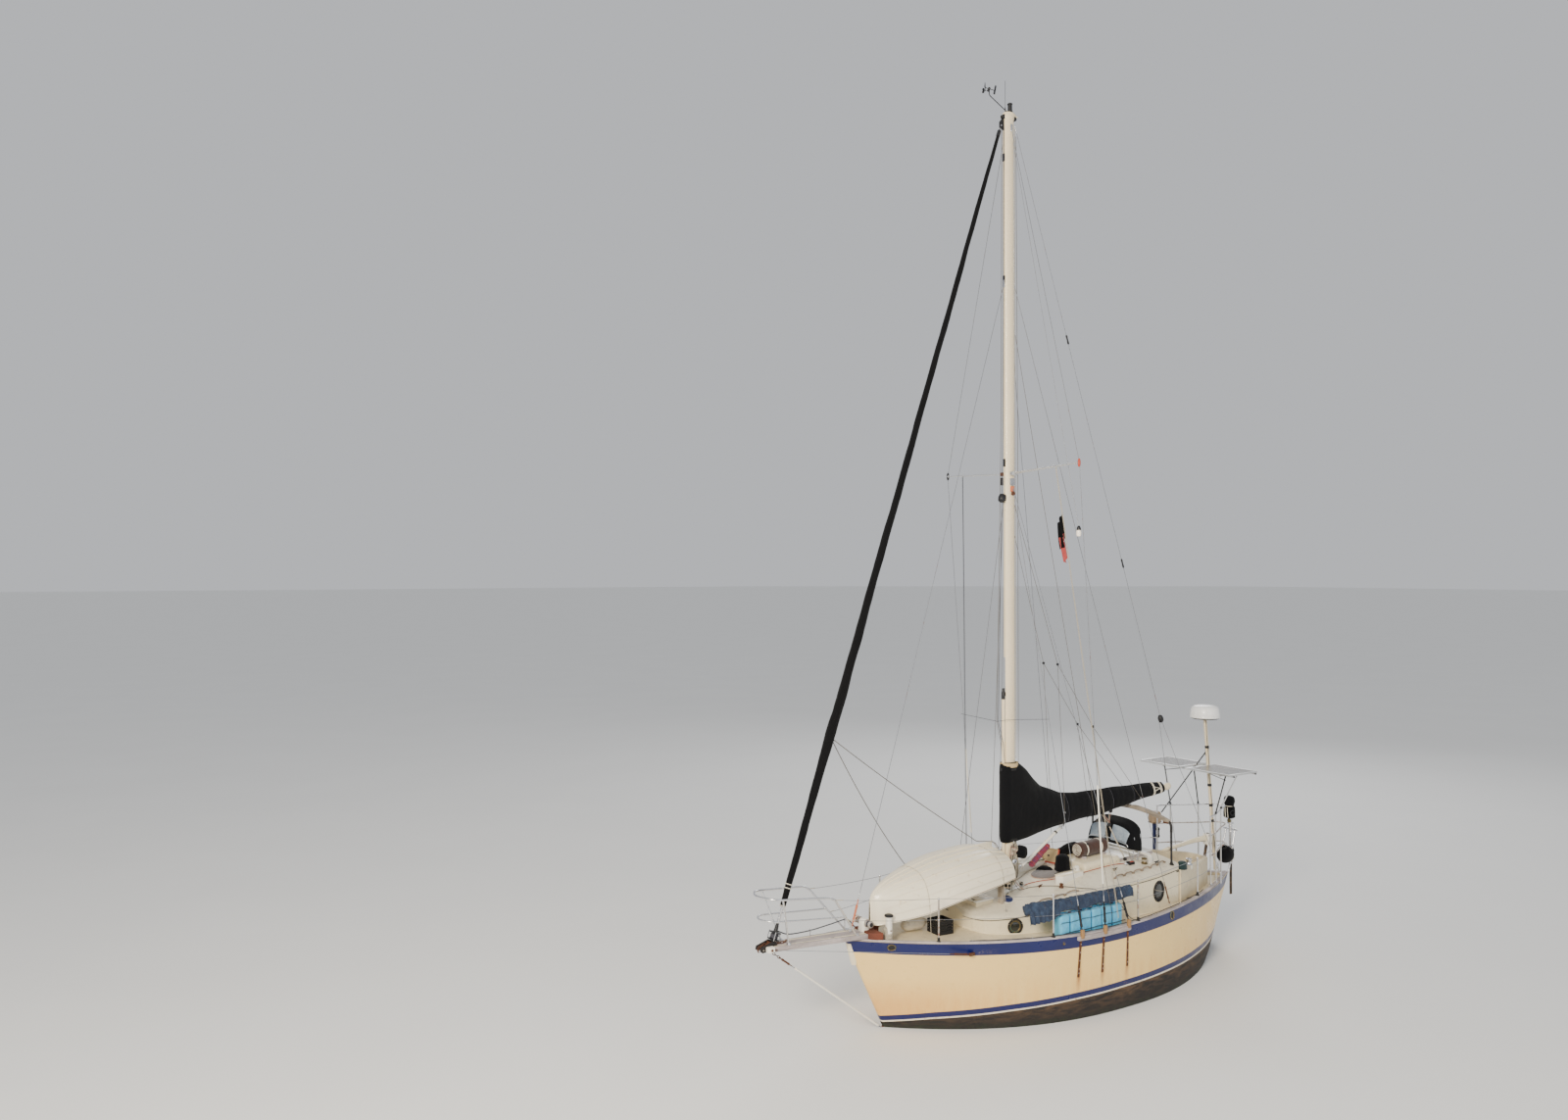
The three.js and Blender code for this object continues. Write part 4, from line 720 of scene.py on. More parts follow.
def hull_column(u):
    out = []
    for kind, zb, zs, xb, xs, hb, tm, p, q, e in LEVELS:
        x = lerp(xb, xs, u)
        s = ((tm - u) / tm) ** p if u < tm else ((u - tm) / (1 - tm)) ** q
        out.append((x, e + (hb - e) * (1 - s), zb * sheer_z(x) if kind == "f" else lerp(zb, zs, u)))
    return np.array(catmull(out, 10))

BOOT = [(3.7, 0.165), (3.0, 0.262), (2.0, 0.345), (1.0, 0.398), (0.0, 0.425), (-1.0, 0.44), (-2.0, 0.44), (-3.0, 0.42), (-3.7, 0.39)]
boot_top = lambda x: table(BOOT, x)
# rows of the skin, from the rail down: height above the water as a function of x, and the look below that row
ROWS = [(lambda x: sheer_z(x) + 0.0005, "band"), (lambda x: sheer_z(x) - 0.055, "band"), (lambda x: sheer_z(x) - 0.11, "band"), (lambda x: sheer_z(x) - 0.168, "topside")]
for k in range(1, 12):
    ROWS.append((lambda x, k=k: lerp(sheer_z(x) - 0.168, boot_top(x), k / 12), "topside"))
ROWS += [(boot_top, "boot"), (lambda x: boot_top(x) - 0.04, "boot"), (lambda x: boot_top(x) - 0.078, "pin"), (lambda x: boot_top(x) - 0.102, "antifoul"),
         (lambda x: (boot_top(x) - 0.102) * 0.66, "antifoul"), (lambda x: (boot_top(x) - 0.102) * 0.33, "antifoul"), (lambda x: 0.0, "antifoul")]
UNDER = 16

def skin_point(u, xa, off):
    pass

def hull_skin():
    p = Piece("hull_skin", angle=60)
    n = 150
    us = [0.6 * (i / n) + 0.4 * (0.5 - 0.5 * math.cos(math.pi * i / n)) for i in range(n + 1)]
    cols = []
    for u in us:
        c = hull_column(u)
        zs = c[:, 2]
        order = np.argsort(zs)
        zz, xx, yy = zs[order], c[order, 0], c[order, 1]
        pts = []
        for g, _ in ROWS:
            x = float(xx[-1])
            for _ in range(4):
                z = g(x)
                x = float(np.interp(z, zz, xx))
            pts.append((x, float(np.interp(z, zz, yy)) + 0.0018, z))
        below = c[zs < 0.0]
        line = np.vstack([np.array(pts[-1]) - [0, 0.0018, 0], below])
        seg = np.linalg.norm(np.diff(line, axis=0), axis=1)
        cum = np.concatenate([[0], np.cumsum(seg)])
        for k in range(1, UNDER + 1):
            s = cum[-1] * k / UNDER
            q = [float(np.interp(s, cum, line[:, j])) for j in range(3)]
            off = 0.005 if q[0] > -2.6 else 0.0005
            pts.append((q[0], q[1] + off, q[2] - (0.002 if k == UNDER else 0)))
        cols.append(pts)
    m = len(cols[0])
    looks = [l for _, l in ROWS] + ["antifoul"] * UNDER
    def hole(q):
        return -3.17 < q[0] < -2.76 and -0.975 < q[2] < -0.495
    ends = []
    for col, s in ((cols[0], 1), (cols[-1], -1)):
        nose = []
        for a in (60, 30, 0, -30, -60):
            r = math.radians(a)
            nose.append([(x + s * 0.012 * math.cos(r), y * math.sin(r), z) for x, y, z in col])
        ends.append(nose)
    port = cols
    star = [[(x, -y, z) for x, y, z in col] for col in cols]
    loop = port[::-1] + ends[0] + star + ends[1][::-1]
    verts = [q for col in loop for q in col]
    k = len(loop)
    by = {}
    for i in range(k):
        for j in range(m - 1):
            a, b, c, d = i * m + j, ((i + 1) % k) * m + j, ((i + 1) % k) * m + j + 1, i * m + j + 1
            mid = [sum(verts[q][t] for q in (a, b, c, d)) / 4 for t in range(3)]
            if hole(mid):
                continue
            by.setdefault(looks[j], []).append((a, b, c, d))
    o = len(p.v)
    p.v += verts
    for l, fs in by.items():
        s = p.slot(M[l])
        p.f += [tuple(i + o for i in q) for q in fs]
        p.m += [s] * len(fs)
    # keel sole
    bottom = [col[-1] for col in port]
    p.loft([bottom, [(x, -y, z) for x, y, z in bottom]], M["antifoul"], caps=False, closed=False)
    return p.done(slot="gelcoat")

hull_skin()

def give(names, mat):
    for n in names:
        o = frame["nodes"][n]
        o.data.materials.clear()
        o.data.materials.append(mat)

give(["hull"], hull_core())
give(["cockpit_coaming"], M["deck"])

# ------------------------------------------------------------------ rail cap
def cap_rail():
    p = Piece("rail_cap_wood", angle=45)
    n = 170
    xs = [4.16 * math.cos(math.pi * i / n) for i in range(n + 1)]
    for s in (1, -1):
        rings = []
        for x in xs:
            o = max(0.045, sheer_half(x) + CAP_OUT)
            i = 0.0 if abs(x) > 4.0 else max(0.0, sheer_half(x) - CAP_IN)
            z = sheer_z(x) + 0.0012
            t = CAP_T
            sec = [(i, z), (o - 0.006, z), (o, z + 0.006), (o, z + t - 0.008), (o - 0.008, z + t), ((i + o) / 2, z + t + 0.001), (i + (0.006 if i else 0), z + t), (i, z + t - 0.006)]
            rings.append([(x, s * y, zz) for y, zz in sec])
        p.loft(rings, M["cap"])
    return p.done(["cap_rail"], "wood")

cap_rail()

# ------------------------------------------------------------------ cabin top
TRUNK = [(2.150, 0.160), (2.120, 0.360), (2.050, 0.520), (1.880, 0.650), (1.650, 0.752), (1.250, 0.850), (0.800, 0.925), (0.300, 0.975), (-0.200, 0.998), (-0.700, 0.998), (-1.200, 0.968), (-1.800, 0.868), (-1.830, 0.820)]
EDGE = [(2.160, 1.465), (1.650, 1.500), (1.000, 1.560), (-0.200, 1.720), (-1.200, 1.768), (-1.860, 1.795)]
CROWN, ROOF_T = 0.080, 0.035
trunk_half = lambda x: table(TRUNK, x)
_edge = catmull([(x, 0, z) for x, z in sorted(EDGE)], 12)
edge_z = lambda x: table([(a, c) for a, _, c in _edge], x) * 0.5 + table(EDGE, x) * 0.5

def roof_z(x, y=0.0):
    return edge_z(x) + CROWN * (1 - min(1, (y / max(0.2, trunk_half(x))) ** 2))

def cabin_roof():
    """roof moulding with a rounded shoulder, a turned-down edge and the companionway cut out"""
    p = Piece("cabin_roof", angle=40)
    breaks = [-1.844, -1.835, -1.77, -1.5, -1.3, -1.08]
    xs = sorted(set(breaks + [round(-1.08 + 3.2 * i / 44, 4) for i in range(1, 45)] + [2.135, 2.15, 2.160, 2.164]))
    ys = [i / 14 for i in range(-14, 15)]
    def half(x):
        if x > 2.05:
            f = min(1, (x - 2.05) / 0.114)
            return lerp(0.520, 0.12, 1 - math.sqrt(max(0, 1 - f * f))) + 0.014
        return trunk_half(x) + 0.014
    def ring(x):
        h = half(x)
        top = []
        for k in ys:
            if abs(x) < 1.8 and -1.78 < x < -1.07 and 0.0 < abs(k) * h < 0.40:
                pass
            y = k * h
            z = roof_z(x, y)
            drop = max(0, (abs(k) - 0.9) / 0.1) ** 2.2 * 0.016
            top.append((x, y, z - drop))
        lip = 0.012
        star = [(x, -h - 0.002, top[0][2] - 0.012), (x, -h - 0.002, top[0][2] - 0.030), (x, -h + 0.012, top[0][2] - 0.034)]
        port = [(x, h - 0.0 + 0.002, top[-1][2] - 0.012), (x, h + 0.002, top[-1][2] - 0.030), (x, h - 0.012, top[-1][2] - 0.034)]
        low = [(x, k * (h - 0.03), roof_z(x, k * h) - ROOF_T) for k in reversed(ys)]
        return top + port + low + star[::-1]
    rings = [ring(x) for x in xs]
    n, N = len(ys), len(rings[0])
    o, s = len(p.v), p.slot(M["roof"])
    p.v += [q for r in rings for q in r]
    def open_cell(i, j):
        xm = (xs[i] + xs[i + 1]) / 2
        if not -1.77 < xm < -1.08:
            return False
        if j < n - 1:
            k = (ys[j] + ys[j + 1]) / 2
        elif n + 3 <= j < n + 3 + n - 1:
            jj = j - n - 3
            k = -(ys[jj] + ys[jj + 1]) / 2
        else:
            return False
        return abs(k) * half(xm) < 0.285
    for i in range(len(xs) - 1):
        for j in range(N):
            if open_cell(i, j):
                continue
            a, b = i * N + j, i * N + (j + 1) % N
            p.f.append((a + o, b + o, b + N + o, a + N + o))
            p.m.append(s)
    for e in (0, len(xs) - 1):
        p.f.append(tuple(e * N + j + o for j in range(N)))
        p.m.append(s)
    ob = p.done(["coach_roof"], "deck", fix=False)
    # rims of the hole
    bm = bmesh.new()
    bm.from_mesh(ob.data)
    border = [e for e in bm.edges if e.is_boundary]
    up, lo = [], []
    for e in border:
        (up if min(v.co.z - roof_z(v.co.x, v.co.y) for v in e.verts) > -0.012 else lo).append(e)
    try:
        bmesh.ops.bridge_loops(bm, edges=up + lo)
    except Exception:
        pass
    bmesh.ops.recalc_face_normals(bm, faces=bm.faces)
    bm.to_mesh(ob.data)
    bm.free()
    ob.data.polygons.foreach_set("use_smooth", [True] * len(ob.data.polygons))
    ob.data.set_sharp_from_angle(angle=math.radians(40))

cabin_roof()

def cabin_sides():
    """smooth coaming of the cabin with real window holes is the CAD node; this adds a black line under the roof edge,
    painted as the shadow cast by the roof overhang along the joint, and the base fillet
    """
    p = Piece("cabin_trim", angle=50)
    pts = catmull([(x, y, 0) for x, y in TRUNK[:-1]], 6)
    for s in (1, -1):
        # black tube under the roof edge: the joint line, painted black as the shadow line cast by the roof overhang
        for dz, r, mat in ((-0.060, 0.0045, "black"),):
            line = []
            for x, y, _ in pts:
                k = 1 + 0.0015 / max(0.3, y)
                line.append((x, s * (y * k + 0.001), edge_z(x) + dz - 0.03 * min(1, max(0, (1.2 - x) / 3))))
            p.tube(line, r, M[mat], n=6)
        # fillet where the cabin meets the side deck
        line = [(x, s * (y + 0.004), deck_z(x, y) + 0.006) for x, y, _ in pts]
        p.tube(line, 0.012, M["house"], n=8)
    for s in (1, -1):
        for x in (-1.75, -1.79):
            p.ball((x, s * (trunk_half(x) + 0.004), edge_z(x) - 0.11), (0.014, 0.006, 0.014), M["black"], 10, 6)
    return p.done(slot="gelcoat")

cabin_sides()
give(["cabin_trunk"], M["house"])

PORTS = [(1.650, 1.320, 0.100, 0.100), (0.300, 1.400, 0.100, 0.100), (-1.210, 1.465, 0.125, 0.150)]

def portlights():
    p = Piece("portlights", angle=40)
    for x, z, a, b in PORTS:
        for s in (1, -1):
            dx = 0.06
            y0, y1 = trunk_half(x - dx), trunk_half(x + dx)
            t = Vector((2 * dx, s * (y1 - y0), 0)).normalized()
            n = Vector((-t.y, t.x, 0)) * (1 if s > 0 else -1)
            if n.y * s < 0:
                n = -n
            c = Vector((x, s * (y0 + y1) / 2, z))
            def ringv(a_, b_, d):
                return [c + t * (a_ * math.cos(q)) + Vector((0, 0, b_ * math.sin(q))) + n * d for q in [2 * math.pi * i / 40 for i in range(40)]]
            big = b > 0.12
            frame_mat = M["rubber"] if big else M["bronze"]
            # outer frame, stepped, standing on the wall and lining the hole
            prof = [(-0.004, -0.020), (-0.004, 0.004), (-0.006, 0.010), (0.004, 0.013), (0.016, 0.011), (0.020, 0.006), (0.020, -0.002)]
            p.loft([ringv(a + e, b + e, d) for e, d in prof], M["rubber"], caps=False)
            prof = [(-0.034, 0.000), (-0.030, 0.006), (-0.020, 0.009), (-0.010, 0.006), (-0.006, -0.002)]
            p.loft([ringv(a + e, b + e, d) for e, d in prof], frame_mat, caps=False)
            g = [ringv((a - 0.03) * k, (b - 0.03) * k, 0.001 + 0.006 * (1 - k * k)) for k in (1.0, 0.7, 0.4, 0.05)]
            p.loft(g, M["glass"], caps=True)
            for i in range(8 if not big else 10):
                q = 2 * math.pi * (i + 0.5) / (8 if not big else 10)
                p.lathe([(0.0055, 0), (0.0055, 0.002), (0.003, 0.0035)], c + t * ((a + 0.010) * math.cos(q)) + Vector((0, 0, (b + 0.010) * math.sin(q))) + n * 0.012, n, M["screw"], 8)
            if big:      # curtain rod seen through the glass
                p.rod(c + t * (-a * 0.86) + n * 0.010 + Vector((0, 0, -0.02)), c + t * (a * 0.86) + n * 0.010 + Vector((0, 0, 0.035)), 0.004, M["rope"], 8)
    return p.done()

portlights()

# sliding hatch, its hood and runners
HATCH_X0, HATCH_X1, HATCH_H = -1.020, -1.820, 0.320

def sliding_hatch():
    p = Piece("hatch_lid", "hatch_body", 40)
    hz = lambda x: roof_z(x) + 0.014
    xs = [HATCH_X1, HATCH_X1 + 0.012, -1.6, -1.4, -1.2, HATCH_X0 - 0.012, HATCH_X0 - 0.0005]
    rings = []
    for i, x in enumerate(xs):
        e = 0.006 if i in (0, len(xs) - 1) else 0.0
        z = hz(x)
        top = [(y, 0.014 + 0.014 * (1 - (y / HATCH_H) ** 2) - e) for y in [HATCH_H * (1 - 2 * j / 16) for j in range(17)]]
        top[0] = (HATCH_H - 0.008, top[0][1]); top[-1] = (-HATCH_H + 0.008, top[-1][1])
        sec = [(HATCH_H, 0.004), (HATCH_H, 0.010)] + top + [(-HATCH_H, 0.010), (-HATCH_H, 0.004), (-HATCH_H + 0.03, -0.004), (HATCH_H - 0.03, -0.004)]
        rings.append([(x, y, z + h) for y, h in sec])
    p.loft(rings, M["white"])
    return p.done(["companionway_hatch"], "white")

sliding_hatch()

def rounded_hood():
    p = Piece("hood_moulding", angle=40)
    def sec(w, top, bot, r, n=6):
        out = [(w, bot)]
        for i in range(n + 1):
            q = math.pi / 2 * i / n
            out.append((w - r + r * math.cos(q), top - 0.022 * (1 - i / n) - r + r * math.sin(q)))
        return out + [(-y, z) for y, z in reversed(out)]
    rings = []
    for x, k in ((-0.190, 0.80), (-0.194, 0.90), (-0.205, 0.96), (-0.225, 0.99), (-0.26, 1), (-0.6, 1), (-0.9, 1), (-0.970, 1), (-0.975, 0.985)):
        w, top, bot = 0.384 - (1 - k) * 0.06, roof_z(x) + 0.092 - (1 - k) * 0.10, min(roof_z(x, 0.384), roof_z(x, 0.40)) - 0.004
        rings.append([(x, y, z) for y, z in sec(w, top, bot, 0.055)])
    inner = []
    for x in (-0.975, -0.6, -0.235):
        w, top, bot = 0.352, roof_z(x) + 0.062, roof_z(x, 0.352) - 0.004
        inner.append([(x, y, z) for y, z in sec(w, top, bot, 0.03)])
    p.loft(rings + inner, M["house"])
    for s in (1, -1):      # runners that the lid slides on
        xs = [-0.99, -1.2, -1.5, -1.79]
        p.loft([[(x, s * 0.330, roof_z(x, 0.34) - 0.004), (x, s * 0.354, roof_z(x, 0.34) - 0.004), (x, s * 0.354, roof_z(x) + 0.016), (x, s * 0.350, roof_z(x) + 0.021), (x, s * 0.334, roof_z(x) + 0.021), (x, s * 0.330, roof_z(x) + 0.016)] for x in xs], M["cap"])
    # base flange with bolts
    for s in (1, -1):
        for x in (-0.3, -0.5, -0.7, -0.9):
            p.lathe([(0.007, 0), (0.007, 0.003), (0.003, 0.005)], (x, s * 0.3845, roof_z(x, 0.384) + 0.03), (0, s, 0), M["screw"], 8)
    return p.done(["sea_hood"], "gelcoat")

rounded_hood()

def dorades():
    """ventilator boxes ahead of the hood: pale, square cornered, with a low cowl"""
    p = Piece("dorade_boxes", angle=40)
    for s in (1, -1):
        out = [(0.430, 0.516), (0.060, 0.462), (-0.055, 0.470), (-0.055, 0.330), (0.260, 0.330), (0.470, 0.380), (0.500, 0.425)]
        out = [(x, s * y) for x, y in out]
        zb = min(roof_z(x, y) for x, y in out) - 0.004
        for (dz0, dz1, k, m) in ((0, 1.826, 1.0, "white"), (1.822, 1.840, 1.03, "house")):
            cx, cy = 0.20, s * 0.42
            o2 = [(cx + (x - cx) * k, cy + (y - cy) * k) for x, y in out]
            p.slab(o2 if s > 0 else o2[::-1], "z", zb if not dz0 else dz0, dz1, M[m], 0.008)
        x, y = 0.020, s * 0.400
        p.lathe([(0.048, 0), (0.052, 0.006), (0.044, 0.012), (0.040, 0.03), (0.043, 0.05), (0.040, 0.066), (0.026, 0.073), (0.002, 0.075)], (x, y, 1.838), (0, 0, 1), M["white"], 24)
        p.ring((x + 0.036, y, 1.880), (1, 0, 0.15), 0.030, 0.006, M["white"], 20, 8)
        # black disc in the cowl's mouth: painted shade standing for the dark inside of the vent
        p.lathe([(0.027, 0), (0.024, 0.002), (0.001, 0.001)], (x + 0.036, y, 1.880), (1, 0, 0.15), M["black"], 18)
        p.tube([(0.455, s * 0.370, 1.838), (0.30, s * 0.345, 1.842), (0.10, s * 0.345, 1.842), (-0.03, s * 0.352, 1.842)], 0.010, M["rubber"], 8)
        # white peg on the side
        p.lathe([(0.012, 0), (0.012, 0.05), (0.010, 0.058), (0.002, 0.060)], (0.100, s * 0.470, 1.725), (0, s, 0.1), M["white"], 14)
    return p.done(slot="deck")

dorades()

def grab_rails():
    p = Piece("grab_rails", angle=50)
    for s in (1, -1):
        for x0, x1 in ((1.15, 0.42), (-0.35, -1.62)):
            n = int(round(abs(x1 - x0) / 0.21))
            xs = [lerp(x0, x1, i / n) for i in range(n + 1)]
            yy = lambda x: s * (trunk_half(x) - 0.16)
            pts, rad = [], []
            for i in range(n * 8 + 1):
                f = i / (n * 8)
                x = lerp(x0, x1, f)
                ph = (f * n) % 1
                lift = 0.030 * (1 - abs(2 * ph - 1) ** 3)
                if i in (0, n * 8):
                    lift = 0
                pts.append((x, yy(x), roof_z(x, yy(x)) + 0.012 + lift))
                rad.append(0.011)
            p.tube(pts, rad, M["teak"], n=8)
            for x in xs:
                p.box((x - 0.024, yy(x) - 0.011, roof_z(x, yy(x)) - 0.005), (x + 0.024, yy(x) + 0.011, roof_z(x, yy(x)) + 0.022), M["teak"], 0.005)
    return p.done(slot="wood")

grab_rails()

def washboards():
    p = Piece("wash_boards", angle=40)
    zs = [1.2615, 1.435, 1.61, 1.7895]
    for a, b in zip(zs, zs[1:]):
        p.box((-1.8175, -0.2985, a + 0.001), (-1.7965, 0.2985, b - 0.001), M["teak_y"], 0.003)
    for z in (1.50, 1.525, 1.55):
        p.box((-1.8195, -0.11, z), (-1.7990, 0.11, z + 0.008), M["black"], 0.002)
    return p.done(["washboards"], "wood")

washboards()

def deck_vents():
    """dark vent in the roof forward, and the round blue-green cover by the cabin end"""
    p = Piece("deck_vents", angle=40)
    x, y = 1.452, 0.359
    z = roof_z(x, y)
    p.lathe([(0.100, -0.008), (0.104, 0.006), (0.096, 0.014), (0.084, 0.016)], (x, y, z), (0.12, 0.25, 1), M["white"], 32)
    p.lathe([(0.086, 0.012), (0.088, 0.026), (0.074, 0.040), (0.040, 0.046), (0.001, 0.047)], (x, y, z), (0.12, 0.25, 1), M["blue_leg"], 32)
    # rounded blue-green winch cover on the end of the side coaming
    x, y = -1.93, 0.84
    p.lathe([(0.072, 0.0), (0.078, 0.02), (0.069, 0.06), (0.071, 0.09), (0.066, 0.112), (0.045, 0.126), (0.002, 0.130)], (x, y, 1.690), (0, 0, 1), M["teal"], 28)
    return p.done()

# winches, cleats and deck hardware
def winch(p, at, axis, r, h, mat=None, drum=None):
    a, b = mat or M["steel"], drum or M["steel"]
    p.lathe([(r * 1.15, 0), (r * 1.18, h * 0.08), (r * 1.0, h * 0.14), (r * 0.82, h * 0.22), (r * 0.76, h * 0.45), (r * 0.84, h * 0.72), (r * 1.02, h * 0.80), (r * 1.02, h * 0.90), (r * 0.7, h * 0.96), (r * 0.3, h)], at, axis, a, 28)
    d = Vector(axis).normalized()
    p.lathe([(r * 0.28, h * 0.95), (r * 0.28, h * 1.04), (r * 0.12, h * 1.05)], at, axis, M["black"], 12)

def cleat(p, at, yaw, L=0.16, mat=None):
    m = mat or M["bronze"]
    d = Vector((math.cos(yaw), math.sin(yaw), 0))
    at = Vector(at)
    for s in (-1, 1):
        p.lathe([(0.013, 0), (0.009, 0.008), (0.008, 0.024)], at + d * (s * L * 0.17), (0, 0, 1), m, 10)
    p.tube([at + d * (-L / 2) + Vector((0, 0, 0.034)), at + d * (-L * 0.3) + Vector((0, 0, 0.030)), at + Vector((0, 0, 0.028)), at + d * (L * 0.3) + Vector((0, 0, 0.030)), at + d * (L / 2) + Vector((0, 0, 0.034))], [0.004, 0.008, 0.010, 0.008, 0.004], m, 10)

def roof_hardware():
    p = Piece("roof_hardware", angle=40)
    on = lambda x, y, h=0.0: (x, y, roof_z(x, y) + h)
    winch(p, on(-1.28, 0.62), (0, 0, 1), 0.045, 0.10, M["bronze"])
    winch(p, on(-1.28, -0.62), (0, 0, 1), 0.045, 0.10, M["bronze"])
    cleat(p, on(-0.62, 0.60), 0.2, 0.15)
    cleat(p, on(-0.62, -0.60), -0.2, 0.15)
    cleat(p, on(-1.48, 0.70), 0.1, 0.15, M["black"])
    cleat(p, on(-1.48, -0.70), 0.1, 0.15, M["black"])
    # rope clutches
    for s in (1, -1):
        for k in (0, 1):
            y = s * (0.50 + 0.05 * k)
            p.box((-1.12, y - 0.018, roof_z(-1.08, y) - 0.004), (-1.00, y + 0.018, roof_z(-1.08, y) + 0.040), M["black"], 0.006)
            p.box((-1.10, y - 0.010, roof_z(-1.08, y) + 0.036), (-1.03, y + 0.010, roof_z(-1.08, y) + 0.052), M["red"] if k else M["white"], 0.004)
    return p.done(slot="iron")

roof_hardware()


# ------------------------------------------------------------------ rig
MX, MA, MB = 1.057, 0.095, 0.0635
MAST0, MAST1 = 1.672, 13.630

def mast():
    p = Piece("mast_section", angle=40)
    n = 36
    def sec(z, k=1.0):
        out = []
        for i in range(n):
            q = 2 * math.pi * i / n
            out.append((MX + MA * k * math.copysign(abs(math.cos(q)) ** 0.92, math.cos(q)), MB * k * math.copysign(abs(math.sin(q)) ** 0.92, math.sin(q)), z))
        return out
    zs = [MAST0 - 0.02] + [lerp(MAST0, MAST1, i / 40) for i in range(41)]
    p.loft([sec(z) for z in zs], M["mast"])
    # foot casting and step plate
    p.lathe([(0.14, -0.012), (0.14, 0.0), (0.118, 0.006), (0.108, 0.03), (0.100, 0.036)], (MX, 0, roof_z(MX) + 0.012), (0, 0, 1), M["white"], 36)
    p.box((MX - 0.17, -0.13, roof_z(MX) - 0.03), (MX + 0.17, 0.13, roof_z(MX) + 0.006), M["white"], 0.008)
    # sail track up the aft face
    p.box((MX - MA - 0.010, -0.012, 2.60), (MX - MA + 0.006, 0.012, 13.50), M["alloy"], 0.003)
    for z in np.arange(2.7, 13.4, 0.45):
        p.lathe([(0.004, 0), (0.003, 0.002)], (MX - MA - 0.010, 0, float(z)), (-1, 0, 0), M["screw"], 6)
    # exits, cleats and winches low on the mast
    for s in (1, -1):
        winch(p, (MX + 0.01, s * (MB - 0.004), 2.05), (0.1, s, 0.1), 0.042, 0.085)
        for z in (1.86, 2.32):
            cc = Vector((MX, s * (MB + 0.002), z))
            for d in (-0.028, 0.028):
                p.lathe([(0.008, -0.01), (0.007, 0.02)], cc + Vector((0, 0, d)), (0, s, 0), M["alloy"], 8)
            p.tube([cc + Vector((0, s * 0.022, -0.075)), cc + Vector((0, s * 0.018, 0)), cc + Vector((0, s * 0.022, 0.075))], [0.004, 0.009, 0.004], M["alloy"], 8)
    # pole track on the front
    p.box((MX + MA - 0.005, -0.016, 3.9), (MX + MA + 0.008, 0.016, 5.2), M["alloy"], 0.003)
    # exit boxes for the halyards
    for z, s in ((11.0, 0), (12.9, 0), (8.15, 0)):
        p.box((MX + MA - 0.012, -0.02, z), (MX + MA + 0.012, 0.02, z + 0.12), M["black"], 0.004)
    return p.done(["mast"], "mast")

mast()

def masthead():
    p = Piece("masthead_gear", angle=40)
    z = MAST1
    def sec(k, zz, dx=0.0, kb=None):
        kb = k if kb is None else kb
        return [(MX + dx + MA * k * c, MB * kb * s, zz) for c, s in circle(28, 1)]
    p.loft([sec(1.02, z - 0.07), sec(1.10, z - 0.06), sec(1.12, z - 0.01), sec(1.30, z + 0.0, -0.02, 1.12), sec(1.32, z + 0.022, -0.02, 1.12), sec(1.05, z + 0.040, -0.01), sec(0.6, z + 0.052), sec(0.1, z + 0.056)], M["mast"])
    p.box((MX - 0.175, -0.030, z - 0.004), (MX - 0.04, 0.030, z + 0.016), M["mast"], 0.006)
    # stay fitting to the front
    p.slab([(MX + 0.06, z - 0.26), (MX + 0.185, z - 0.22), (MX + 0.185, z - 0.13), (MX + 0.09, z - 0.02), (MX + 0.06, z - 0.02)], "y", -0.010, 0.010, M["black"], 0.003)
    p.lathe([(0.012, -0.02), (0.012, 0.02)], (MX + 0.160, 0, z - 0.185), (0, 1, 0), M["steel"], 12)
    # sheaves
    for s in (0.022, -0.022):
        p.lathe([(0.034, -0.007), (0.028, 0.0), (0.034, 0.007)], (MX + 0.105, s, z - 0.035), (0, 1, 0), M["black"], 20)
        p.lathe([(0.034, -0.007), (0.028, 0.0), (0.034, 0.007)], (MX - 0.115, s, z - 0.035), (0, 1, 0), M["black"], 20)
    return p

def spreader(s):
    """one tapered spreader, rising outwards"""
    p = Piece("spreader_" + ("port" if s > 0 else "starboard"), angle=40)
    rings = []
    for i in range(13):
        f = i / 12
        y, z = lerp(MB - 0.012, 1.452, f), 8.04 + 0.060 * f
        a, b = lerp(0.050, 0.028, f), lerp(0.019, 0.012, f)
        rings.append([(MX + a * c, s * y, z + b * q) for c, q in circle(20, 1)])
    p.loft(rings, M["alloy"])
    p.box((MX - 0.055, min(s * 0.052, s * 0.15), 8.012), (MX + 0.055, max(s * 0.052, s * 0.15), 8.018 + 0.052), M["strap"] if s < 0 else M["alloy"], 0.01)
    tipm = M["red"] if s > 0 else M["black"]
    p.lathe([(0.010, -0.06), (0.018, -0.045), (0.022, -0.01), (0.022, 0.02), (0.014, 0.055), (0.008, 0.06)], (MX, s * 1.455, 8.10), (0, 0, 1), tipm, 16)
    p.box((MX - 0.02, min(s * 1.42, s * 1.462), 8.085), (MX + 0.02, max(s * 1.42, s * 1.462), 8.118), M["alloy"], 0.006)
    return p

sp = spreader(1).done(["spreaders"], "mast")
spreader(-1).done(slot="mast")

WIRE = 0.0042

def turnbuckle(p, a, b, mat=None, r=0.011):
    """body, two screws and forks between a and b"""
    a, b = Vector(a), Vector(b)
    m = mat or M["dark_metal"]
    L = (b - a).length
    q = lambda f: a + (b - a) * f
    p.tube([q(0), q(0.08)], r * 0.9, m, 8)
    p.lathe([(r * 0.55, 0), (r * 0.55, L * 0.2), (r * 1.15, L * 0.22), (r * 1.2, L * 0.30), (r * 1.0, L * 0.34), (r * 1.0, L * 0.66), (r * 1.2, L * 0.70), (r * 1.15, L * 0.78), (r * 0.55, L * 0.80), (r * 0.5, L)], a, b - a, m, 12)

def swage(p, at, d, L=0.09, r=0.0075):
    p.lathe([(r, 0), (r, L * 0.7), (r * 0.65, L)], at, d, M["steel"], 10)

